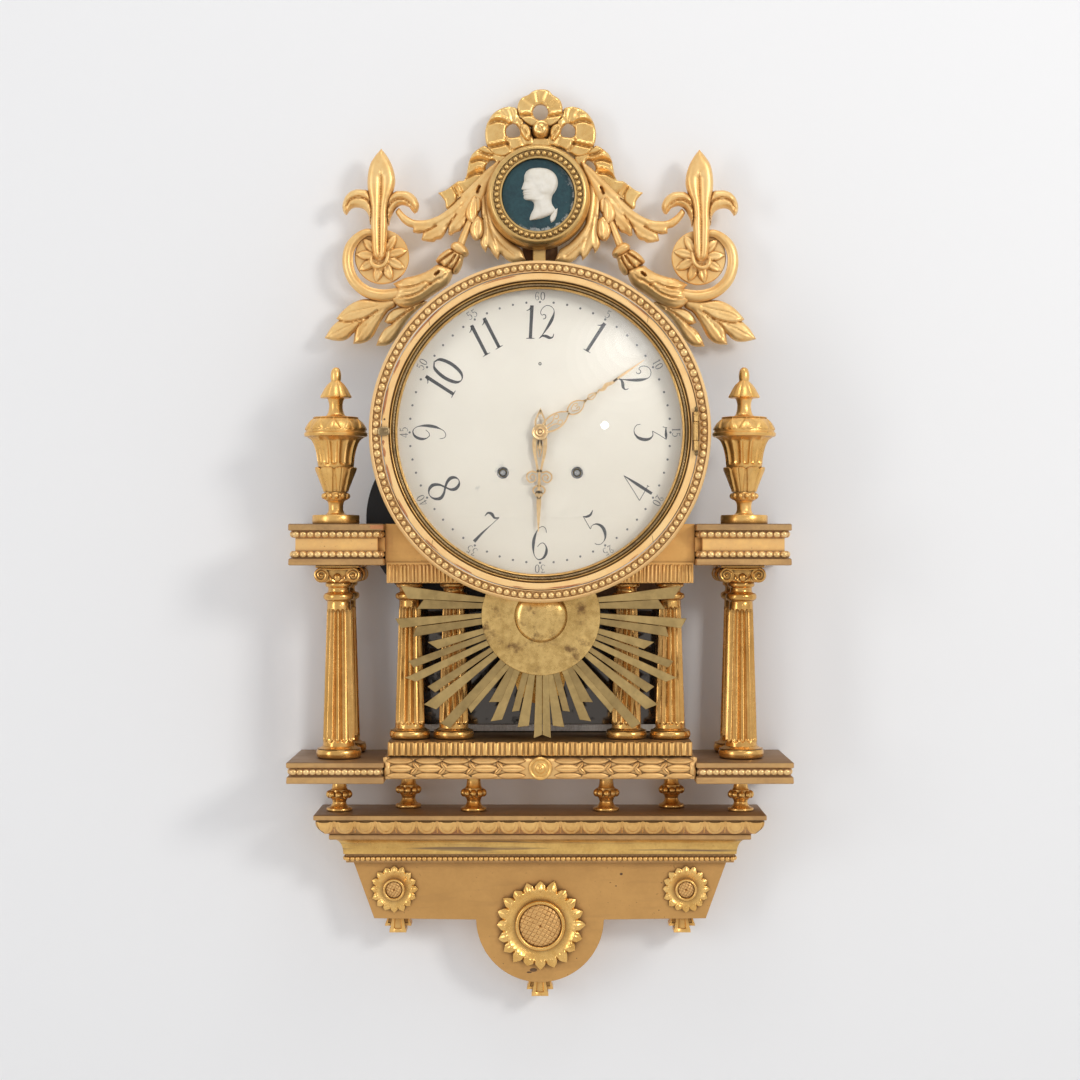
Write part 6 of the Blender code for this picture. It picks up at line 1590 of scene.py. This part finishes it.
button = {"x": -164.5, "back": 158.4}
x, back = button["x"], button["back"]
made = Carving().relief([(x - 8.0, -3.4), (x - 5.5, -4.6), (x + 0.5, -4.4), (x + 3.8, -3.0), (x + 4.1, 0.0),
        (x + 3.8, 3.2), (x + 0.5, 4.5), (x - 5.5, 4.6),
                        (x - 8.2, 2.6)], back, 0.9, 1.0, 2.4,
        [([(x - 7.0, -1.0), (x - 4.5, 0.4), (x - 2.6, 0.0)], 0.5, 0.8)], pitch=0.9)
made.ball((x, 0.0, back + 1.7), 2.0, 16, 8, (1.0, 1.0, 0.5))
made.spun([(0, 156.7), (2.2, 156.7), (2.2, back + 0.3), (0, back + 0.3)], (x, 0.0), 20, facing=True)
piece("turnButton", made, "ropeBrass", body="latch", replaces="turn_button")

glass = {"rim": 158.0, "lip": 151.5, "seat": 146.2, "edge": 147.9, "rise": 20.6, "thick": 1.8}
reach = np.linspace(1, 0, 22)
dome = [(glass["lip"] * r, glass["edge"] + glass["rise"] * (1 - r * r)) for r in reach]
under = [(r, h - glass["thick"]) for r, h in reversed(dome)]
made = Carving().spun(under + [(glass["rim"], glass["seat"]), (glass["rim"], glass["edge"])] + dome, (0, 0),
        128, facing=True)
doorGlass = piece("doorGlass", made, "glass", body="door", replaces="door_glass",
                  crease=60.0)
print("ring and door done")

# Figures are written as an engraver cuts them: upstrokes hair-thin, downstrokes swelling
# Each stroke is a list of points in a box one unit high, then its swelling from start to end
figures = {
    "0": [([(0.26, 0.985), (0.10, 0.86), (0.035, 0.50), (0.10, 0.14), (0.26, 0.015), (0.42, 0.14),
            (0.485, 0.50), (0.42, 0.86)], "ring")],
    "1": [([(0.20, 0.0), (0.20, 0.30), (0.20, 0.66), (0.20, 0.985)], [0.095, 0.095, 0.10, 0.105]),
          ([(0.05, 0.83), (0.10, 0.85), (0.16, 0.90), (0.205, 0.985)], [0.014, 0.03, 0.05, 0.03]),
          ([(0.08, 0.012), (0.20, 0.018), (0.32, 0.012)], [0.012, 0.03, 0.012])],
    "2": [([(0.115, 0.585), (0.175, 0.60), (0.195, 0.67), (0.145, 0.72), (0.075, 0.70), (0.035, 0.785),
            (0.085, 0.905), (0.20, 0.98),
            (0.335, 0.955), (0.425, 0.85), (0.42, 0.70), (0.345, 0.50), (0.23, 0.29), (0.12, 0.12),
            (0.03, 0.01)],
           [0.02, 0.028, 0.02, 0.016, 0.016, 0.016, 0.016, 0.02, 0.055, 0.088, 0.088, 0.07, 0.045, 0.024,
            0.014]),
          ([(0.03, 0.01), (0.12, 0.085), (0.23, 0.075), (0.34, 0.03), (0.425, 0.05), (0.455, 0.145)],
           [0.014, 0.05, 0.085, 0.085, 0.04, 0.012])],
    "3": [([(0.06, 0.86), (0.085, 0.985), (0.09, 0.955), (0.25, 0.955), (0.43, 0.965)],
           [0.012, 0.02, 0.05, 0.075, 0.02]),
          ([(0.43, 0.965), (0.33, 0.80), (0.225, 0.60), (0.20, 0.555)], [0.014, 0.014, 0.014, 0.014]),
          ([(0.20, 0.555), (0.33, 0.565), (0.435, 0.47), (0.465, 0.315), (0.42, 0.14), (0.30, 0.03),
            (0.16, 0.02), (0.05, 0.095),
            (0.02, 0.20)], [0.014, 0.03, 0.07, 0.095, 0.085, 0.045, 0.020, 0.014, 0.014])],
    "4": [([(0.37, 0.0), (0.37, 0.40), (0.37, 0.985)], [0.085, 0.09, 0.02]),
          ([(0.37, 0.985), (0.19, 0.60), (0.0, 0.215)], [0.014, 0.014, 0.014]),
          ([(0.0, 0.215), (0.24, 0.215), (0.50, 0.215)], [0.012, 0.012, 0.012]),
          ([(0.50, 0.17), (0.50, 0.25)], [0.014, 0.014])],
    "5": [([(0.08, 0.985), (0.16, 0.925), (0.30, 0.915), (0.42, 1.0)], [0.02, 0.07, 0.06, 0.012]),
          ([(0.085, 0.97), (0.095, 0.76), (0.105, 0.55)], 0.014),
          ([(0.105, 0.55), (0.20, 0.615), (0.33, 0.59), (0.435, 0.46), (0.45, 0.28), (0.37, 0.10),
            (0.22, 0.015), (0.09, 0.04), (0.03, 0.12)],
           [0.014, 0.02, 0.055, 0.09, 0.092, 0.055, 0.02, 0.014, 0.014])],
    "6": [([(0.42, 0.80), (0.385, 0.93), (0.29, 0.985), (0.165, 0.90), (0.075, 0.67), (0.05, 0.40),
            (0.085, 0.17), (0.165, 0.045), (0.26, 0.012),
            (0.375, 0.07), (0.445, 0.22), (0.435, 0.38), (0.35, 0.495), (0.255, 0.48), (0.175, 0.39)],
           [0.014, 0.014, 0.016, 0.03, 0.075, 0.09, 0.07, 0.03, 0.016, 0.04, 0.075, 0.075, 0.03, 0.014,
            0.014])],
    "7": [([(0.03, 0.81), (0.055, 0.94), (0.17, 0.965), (0.30, 0.91), (0.41, 0.985)],
           [0.014, 0.055, 0.09, 0.06, 0.014]),
          ([(0.41, 0.985), (0.32, 0.66), (0.235, 0.34), (0.17, 0.0)], [0.012, 0.016, 0.06, 0.10])],
    "8": [([(0.25, 0.535), (0.385, 0.64), (0.43, 0.78), (0.36, 0.93), (0.24, 0.985), (0.13, 0.93),
            (0.085, 0.80), (0.14, 0.66), (0.25, 0.535),
            (0.40, 0.40), (0.475, 0.24), (0.40, 0.08), (0.25, 0.012), (0.10, 0.08), (0.03, 0.24),
            (0.10, 0.41)], "loop")],
}
figures["9"] = [([(0.49 - x, 1.0 - z) for x, z in figures["6"][0][0]], figures["6"][0][1])]
figureWidth = {"0": 0.52, "1": 0.36, "2": 0.49, "3": 0.49, "4": 0.52, "5": 0.49, "6": 0.49, "7": 0.44,
               "8": 0.50, "9": 0.49}


def quill(line, full, hair):  # a flat nib held level: width follows how upright the stroke runs
    along = np.abs(np.gradient(np.vstack([line[-1:], line, line[:1]])[:, :2], axis=0)[1:-1])
    steep = along[:, 1] / np.maximum(np.hypot(along[:, 0], along[:, 1]), 1e-9)
    return hair + (full - hair) * steep ** 2.0


def writeFigures(made, text, radius, turn, tall, inward, space, bold, lean=0.0):
    # text set on the dial at an angle from twelve, its head outward or inward
    total = sum(figureWidth[c] for c in text) * tall + space * (len(text) - 1)
    pen = Carving()
    x = -total / 2
    for c in text:
        for points, swelling in figures[c]:
            line = [(x + px * tall + lean * (pz - 0.5) * tall, (pz - 0.5) * tall) for px, pz in points]
            if swelling in ("ring", "loop"):
                pen.pen(line, 133.04, 133.14,
                        lambda run: quill(run, 0.100 * tall * bold, max(0.026 * tall * bold, 0.5)),
                        ring=True, count=72)
            else:
                wide = np.array(swelling if not np.isscalar(swelling) else [swelling] * 3) * tall * bold
                pen.pen(line, 133.04, 133.14, list(np.maximum(wide, max(0.020 * tall, 0.5))),
                        count=10 * len(points))
        x += figureWidth[c] * tall + space
    a = radians(turn)
    if inward:
        local = [np.column_stack([p[:, 0], p[:, 1] - radius, p[:, 2]]) for p in pen.points]
        spin = pi - a
    else:
        local = [np.column_stack([p[:, 0], p[:, 1] + radius, p[:, 2]]) for p in pen.points]
        spin = -a
    pen.points = [turnFlat(p, spin, (0.0, 0.0)) for p in local]
    start = made.count
    for p in pen.points:
        made.points.append(p)
    made.faces += [tuple(i + start for i in face) for face in pen.faces]
    made.count += pen.count


made = Carving()
for hour in range(1, 13):
    inward = 4 <= hour <= 8
    writeFigures(made, str(hour), 119.2, hour * 30.0, 36.5, inward, 2.6, 1.0, 0.05)
piece("hourFigures", made, "ink", crease=20.0)

made = Carving()
for minute in range(60):
    a = radians(minute * 6.0)
    made.spun([(0, 133.04), (1.25, 133.04), (1.25, 133.12), (0, 133.14)], (140.6 * sin(a), 140.6 * cos(a)),
              12, facing=True)
for five in range(5, 65, 5):
    writeFigures(made, str(five), 147.0, five * 6.0, 8.8, False, 1.7, 1.15)
piece("minuteFigures", made, "inkPale", crease=20.0)

made = Carving()
for x, z, inner, outerEdge in ((-40.0, -43.4, 4.6, 6.4), (40.0, -43.4, 4.6, 6.4), (0.0, 74.0, 0.75, 1.75)):
    made.spun([(inner, 132.4), (outerEdge, 133.02), (outerEdge, 133.3), (outerEdge - 0.5, 133.6),
               (inner + 0.4, 133.4), (inner, 133.0)], (x, z), 36, facing=True)
piece("dialCollars", made, "darkSteel")
print("dial done")

# Pierced hands, drawn pointing up and then turned to the time shown

hourBar = {"back": 137.2, "front": 138.2, "angle": 181.0, "boss": 8.6}
minuteBar = {"back": 140.2, "front": 141.2, "angle": 55.3, "boss": 8.6}


def bothSides(made, points, back, front, width, ring=False, count=0):
    made.pen(points, back, front, width, ring, count)
    made.pen([(-x, z) for x, z in points], back, front, width, ring, count)


def gearLoop(teeth, module, phase):
    radius = teeth * module / 2
    loop = []
    for k in range(teeth):
        for part, r in ((-0.32, -1.2), (-0.22, -0.2), (-0.12, 0.9), (0.12, 0.9), (0.22, -0.2), (0.32, -1.2)):
            a = phase + (k + part) * tau / teeth
            loop.append(((radius + r * module) * cos(a), (radius + r * module) * sin(a)))
    return loop


def turnedTo(made, angle):
    made.points = [turnFlat(p, -radians(angle), (0.0, 0.0)) for p in made.points]
    return made


made = Carving()
b, f, r = hourBar["back"], hourBar["front"], hourBar["boss"]
made.spun([(4.6, b), (r, b), (r, f - 0.3), (r - 0.4, f), (6.6, f), (6.2, f - 0.2), (4.6, f - 0.2)], (0, 0),
          48, facing=True)
bothSides(made, [(5.6, 6.0), (5.9, 14.0), (5.0, 24.0), (3.0, 34.0), (1.5, 43.0)], b, f,
          [4.6, 4.2, 3.2, 2.6, 2.4], count=40)
bothSides(made, [(1.2, 8.0), (2.2, 17.0), (0.5, 27.0)], b + 0.1, f - 0.1, [2.0, 1.4, 0.8], count=24)
made.pen([(0.0, 8.0), (0.0, 14.0), (0.0, 19.0)], b + 0.1, f - 0.1, [7.0, 4.4, 1.0], count=16)
bothSides(made, [(1.0, 41.0), (3.6, 43.2), (8.0, 42.2), (12.6, 45.0), (13.2, 50.0), (9.8, 53.8),
                 (5.4, 53.0), (3.6, 49.6), (5.0, 46.4), (8.2, 46.0),
                 (9.8, 48.6), (8.4, 50.6)], b, f,
          [2.0, 1.9, 1.8, 1.7, 1.7, 1.7, 1.6, 1.5, 1.3, 1.2, 1.2, 1.6], count=96)
made.pen([(0.0, 40.0), (0.0, 50.0), (0.0, 60.0), (0.0, 66.0)], b, f, [3.0, 2.6, 3.4, 3.0], count=24)
bothSides(made, [(0.8, 57.5), (4.0, 58.6), (6.4, 62.0), (5.2, 65.6), (2.6, 64.8), (3.0, 62.4)], b, f,
          [2.0, 2.0, 1.8, 1.6, 1.3, 1.2], count=48)
bothSides(made, [(1.0, 63.0), (3.4, 67.0), (0.4, 72.0)], b, f, [2.0, 1.8, 1.0], count=20)
made.pen([(0.0, 63.0), (0.0, 70.0), (0.0, 84.0), (0.0, 97.0), (0.0, 107.0)], b, f,
         [3.0, 5.0, 4.2, 2.8, 1.0], count=50)
bothSides(made, [(4.6, -6.4), (5.0, -12.0), (3.0, -17.6), (0.4, -24.0)], b, f, [2.6, 2.0, 1.8, 1.6], count=30)
made.pen([(0.0, -19.0), (0.0, -23.0), (0.0, -26.0)], b, f, [1.8, 1.8, 0.6], count=14)
turnedTo(made, hourBar["angle"])
made.spun([(3.1, 123.6), (4.4, 123.6), (4.4, b + 0.4), (3.1, b + 0.4)], (0, 0), 28, facing=True)
piece("hourHand", made, "handBrass", body="hour_train")

made = Carving()
b, f, r = minuteBar["back"], minuteBar["front"], minuteBar["boss"]
made.spun([(0, b), (r, b), (r, f - 0.3), (r - 0.4, f), (7.4, f), (7.0, f - 0.3), (5.2, f - 0.3),
           (5.0, f + 0.6), (4.6, f + 1.4), (3.8, f + 1.8), (3.0, f + 1.4),
           (2.7, f + 0.7), (2.2, f + 0.7), (1.7, f + 2.0), (0.9, f + 2.5), (0, f + 2.6)], (0, 0), 48,
          facing=True)
bothSides(made, [(4.4, 6.4), (7.0, 13.0), (7.8, 21.0), (6.0, 29.0), (2.8, 34.5), (0.6, 38.0)], b, f,
          [2.6, 2.0, 1.7, 1.6, 1.6, 1.6], count=60)
bothSides(made, [(1.6, 8.0), (1.4, 15.0), (3.0, 20.0), (5.6, 22.2), (5.2, 26.0), (2.6, 26.2), (1.2, 23.6),
                 (2.6, 21.6)], b, f, [1.6, 1.3, 1.2, 1.2, 1.2, 1.1, 1.1, 1.4],
          count=72)
bothSides(made, [(0.6, 36.0), (4.6, 40.0), (6.4, 46.5), (4.6, 53.0), (1.8, 56.5), (0.5, 60.0)], b, f,
          [1.8, 1.6, 1.5, 1.4, 1.4, 1.3], count=56)
bothSides(made, [(0.7, 41.0), (2.6, 43.6), (4.0, 47.6), (2.4, 50.4), (0.9, 48.4), (1.8, 46.4)], b, f,
          [1.2, 1.1, 1.1, 1.0, 1.0, 1.2], count=48)
made.pen([(0.0, 57.0), (0.0, 66.0), (0.0, 77.0)], b, f, [2.2, 1.5, 2.2], count=24)
bothSides(made, [(0.3, 62.0), (2.8, 66.0), (2.0, 70.5), (0.3, 74.0)], b, f, [1.2, 1.2, 1.1, 0.9], count=32)
made.pen([(-1.6, 76.5), (0.8, 82.0), (-1.0, 87.5), (0.6, 94.0), (0.0, 101.0)], b, f,
         [1.4, 4.0, 4.2, 3.0, 2.2], count=50)
made.pen([(0.0, 96.0), (0.0, 112.0), (0.0, 126.0), (0.0, 136.0)], b, f, [2.4, 2.6, 1.8, 0.7], count=40)
turnedTo(made, minuteBar["angle"])
piece("minuteHand", made, "handBrass", body="minute_train", replaces="minute_hand")
made = Carving().slab(gearLoop(32, 1.0, 0.0), 121.2, 123.0, 0.15)
piece("hourWheel", made, "movement", body="hour_train", replaces="hour_hand")
print("hands done")

# Sunburst and mirror

sun = {"x": 1.0, "z": -198.6, "back": 118.9, "front": 120.7, "disc": 64.3, "boss": 27.2, "inset": 4.0}
# Each strip of the left half: the two angles it leaves the disc at, in degrees below the horizontal,
# then the angle and reach of its upper and lower end corners
sunStrips = [(-19.1, -14.0, -12.3, 156.2, -7.4, 145.5), (-13.3, -7.7, -8.1, 128.4, -3.2, 135.1),
             (-3.2, 1.2, 1.0, 158.2, 5.0, 152.7), (2.0, 8.0, 4.9, 136.0, 9.3, 140.6),
             (11.8, 17.1, 13.0, 126.2, 17.8, 117.5), (17.7, 23.2, 18.8, 151.9, 22.1, 149.1),
             (24.2, 30.0, 24.4, 162.1, 27.8, 153.2), (31.8, 36.5, 31.9, 145.0, 35.9, 141.6),
             (37.3, 43.2, 37.1, 159.3, 41.7, 152.4), (46.8, 54.2, 47.0, 159.1, 51.0, 157.0),
             (54.8, 59.5, 49.6, 125.6, 54.2, 129.8), (58.1, 63.4, 58.9, 109.3, 65.0, 102.9),
             (63.0, 69.3, 64.5, 126.8, 69.5, 120.1), (71.7, 78.2, 73.1, 108.6, 77.1, 105.6),
             (77.9, 84.4, 78.1, 123.5, 83.8, 119.8)]


def runSides(loop, step=7.0):  # a straight-sided outline with points close enough for a clean bevel
    points = []
    for a, b in zip(loop, loop[1:] + loop[:1]):
        count = max(1, int(hypot(b[0] - a[0], b[1] - a[1]) / step))
        points += [(a[0] + (b[0] - a[0]) * i / count, a[1] + (b[1] - a[1]) * i / count) for i in range(count)]
    return points


def sunPoint(hand, below, reach):
    return (sun["x"] + hand * reach * cos(radians(below)), sun["z"] - reach * sin(radians(below)))


made, shaded = Carving(), Carving()  # upper and lower strip of each pair
near = sun["disc"] - sun["inset"]
for hand in (-1, 1):
    for k, (one, two, upper, upperReach, lower, lowerReach) in enumerate(sunStrips):
        loop = [sunPoint(hand, one, near), sunPoint(hand, upper, upperReach),
                sunPoint(hand, lower, lowerReach),
                sunPoint(hand, two, near)]
        tilt = 0.35 * (k % 2)  # each pair overlaps along its seam
        (shaded if k % 2 else made).slab(runSides(loop), sun["back"] + tilt, sun["front"] + tilt, 0.3)
for hand in (-1, 1):  # the plumb ray, its end notched at the seam
    seam, low = sun["x"] + 1.6, sun["z"]
    loop = [(seam + 0.2 * hand, low - near), (seam + 0.2 * hand, low - 129.0),
            (seam + 9.4 * hand, low - 132.6),
            (seam + 6.5 * hand, low - near)]
    made.slab(runSides(loop), sun["back"], sun["front"] + 0.15 * (hand + 1), 0.3)
piece("sunRays", made, "rays", replaces="sunburst")
piece("sunRays.lower", shaded, "raysDark")

made = Carving()
front, rim, boss = sun["front"] + 0.5, sun["disc"], sun["boss"]
dome = [(boss * cos(a), front + 0.9 + 6.4 * sin(a)) for a in np.linspace(0.02, 1.30, 14)]
made.spun([(0, sun["back"]), (rim - 0.5, sun["back"]), (rim, sun["back"] + 0.4), (rim, front + 0.3),
           (rim - 0.6, front + 0.8), (boss + 1.6, front + 0.9), (boss + 1.0, front + 0.2),
           (boss + 0.3, front + 0.8)]
          + dome + [(0, front + 7.4)], (sun["x"], sun["z"]), 120, facing=True)
piece("sunDisc", made, "sun")
print("sunburst done")

niche = {"left": -150.0, "right": 150.0, "low": -334.1, "high": -195.0, "back": 12.5, "front": 15.6,
         "bevel": 9.0}
# the mirror's bevel, made pale as a painted highlight
made = Carving().stack([(niche["low"] + 8.8, 0.6), (niche["low"] + 8.2, 0), (niche["low"] + 1.6, 0),
        (niche["low"] + 1.0, 0.6)],
                       (niche["left"] + 2.0, niche["right"] - 2.0),
        (niche["front"] + 0.1, niche["front"] + 1.8), 0.3)
piece("mirrorBevel", made, "glassEdge")
made = Carving()
x0, x1, z0, z1 = niche["left"], niche["right"], niche["low"], niche["high"]
loops = []
for step, out in ((0, niche["back"]), (0, niche["front"] - 1.6), (niche["bevel"], niche["front"])):
    loops.append([(x0 + step, z0 + step, out), (x1 - step, z0 + step, out), (x1 - step, z1, out),
                  (x0 + step, z1, out)])
made.sheet(np.array(loops, float), wrapCols=True, caps=True)
piece("mirrorPlate", made, "mirror", replaces="mirror_plate", crease=5.0)
print("mirror done")

# Plain CAD pieces that keep their own shape
keptFinish = {
    "back_board": "pine", "dial": "dial", "entablature_rail": "rail", "back_plate": "movement",
              "front_plate": "movement",
    "centre_wheel": "movement", "third_wheel": "movement", "escape_wheel": "movement",
              "minute_wheel": "movement",
    "going_barrel": "movement", "strike_barrel": "movement", "bell": "movement", "anchor": "steel",
              "hammer": "steel",
    "winding_arbor_going": "steel", "winding_arbor_strike": "steel", "pendulum": "bob"}
for node, finish in keptFinish.items():
    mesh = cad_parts[node].data
    mesh.materials.clear()
    mesh.materials.append(finishes[finish])

# Wall, floor, lamps and camera
stage = {"wallColour": (0.87, 0.87, 0.87), "floorColour": (0.80, 0.80, 0.80), "wallHalf": 4.0, "floor": -1.35}


def stagePlane(name, corners, colour, seeThroughBack=False):
    mesh = bpy.data.meshes.new(name)
    mesh.from_pydata(corners, [], [(0, 1, 2, 3)])
    thing = bpy.data.objects.new(name, mesh)
    bpy.context.scene.collection.objects.link(thing)
    f = Finish(name)
    f.give(colour=colour, roughness=0.9, specular=0.1)
    if seeThroughBack:  # seen from behind, the wall is left out, and it lets the light on the back through
        clear = f.node("ShaderNodeBsdfTransparent", {}, {})
        behind = f.node("ShaderNodeNewGeometry", {}, {}, "Backfacing")
        lamp = f.node("ShaderNodeLightPath", {}, {}, "Is Shadow Ray")
        soft = f.node("ShaderNodeLightPath", {}, {}, "Is Diffuse Ray")
        mixed = f.node("ShaderNodeMixShader", {},
                       {0: behind.atLeast(lamp).atLeast(soft), 1: Wire(f.tree, f.shader.outputs[0]),
                        2: clear})
        f.tree.links.new(mixed.socket, f.output.inputs[0])
    mesh.materials.append(f.material)
    return thing


w, low = stage["wallHalf"], stage["floor"]
stagePlane("wall", [(-w, 0.0012, low), (w, 0.0012, low), (w, 0.0012, w), (-w, 0.0012, w)],
           stage["wallColour"], True)
stagePlane("floor", [(-w, -w, low), (w, -w, low), (w, w, low), (-w, w, low)], stage["floorColour"])


def lamp(name, place, aim, size, power, colour=(1.0, 1.0, 1.0)):
    data = bpy.data.lights.new(name, "AREA")
    data.shape = "RECTANGLE"
    data.size, data.size_y = size
    data.energy = power
    data.color = colour
    thing = bpy.data.objects.new(name, data)
    thing.location = place
    thing.rotation_euler = (Vector(aim) - Vector(place)).to_track_quat("-Z", "Y").to_euler()
    bpy.context.scene.collection.objects.link(thing)
    return thing


lamp("keyLamp", (1.95, -2.3, 0.85), (0.0, 0.0, -0.1), (0.6, 0.6), 24.0, (1.0, 0.985, 0.96))
lamp("fillLamp", (-2.6, -2.2, 0.2), (0.0, 0.0, -0.1), (0.6, 1.8), 16.0, (0.98, 0.99, 1.0))
lamp("topLamp", (0.2, -1.2, 2.2), (0.0, -0.05, 0.0), (1.2, 0.5), 8.0)
lamp("glintLamp", (0.76, -2.6, 0.20), (0.0, -0.1, 0.0), (0.085, 0.085), 0.8).data.shape = "DISK"
glazing = bpy.data.collections.new("glazing")
glazing.objects.link(doorGlass)
for k, width in enumerate((1.45, 1.25, 1.05, 0.85, 0.65, 0.45)):  # a soft glow that only the glass mirrors
    glow = lamp("glowLamp.%d" % k, (1.02 + 0.03 * k, -2.6, 1.06 + 0.05 * k), (0.0, -0.1, 0.0),
                (width, width), 0.9 * width)
    glow.data.shape = "DISK"
    glow.light_linking.receiver_collection = glazing

world = bpy.data.worlds.new("studio")
bpy.context.scene.world = world
world.use_nodes = True
world.node_tree.nodes["Background"].inputs["Color"].default_value = (0.98, 0.98, 1.0, 1.0)
world.node_tree.nodes["Background"].inputs["Strength"].default_value = 0.66

cameraData = bpy.data.cameras.new("camera")
cameraData.lens = 70.0
cameraData.sensor_width = 36.0
cameraData.clip_end = 50.0
camera = bpy.data.objects.new("camera", cameraData)
camera.location = (0.0, -2.4, -0.1161)
camera.rotation_euler = (pi / 2, 0.0, 0.0)
bpy.context.scene.collection.objects.link(camera)
bpy.context.scene.camera = camera
bpy.context.scene.view_settings.view_transform = "Standard"
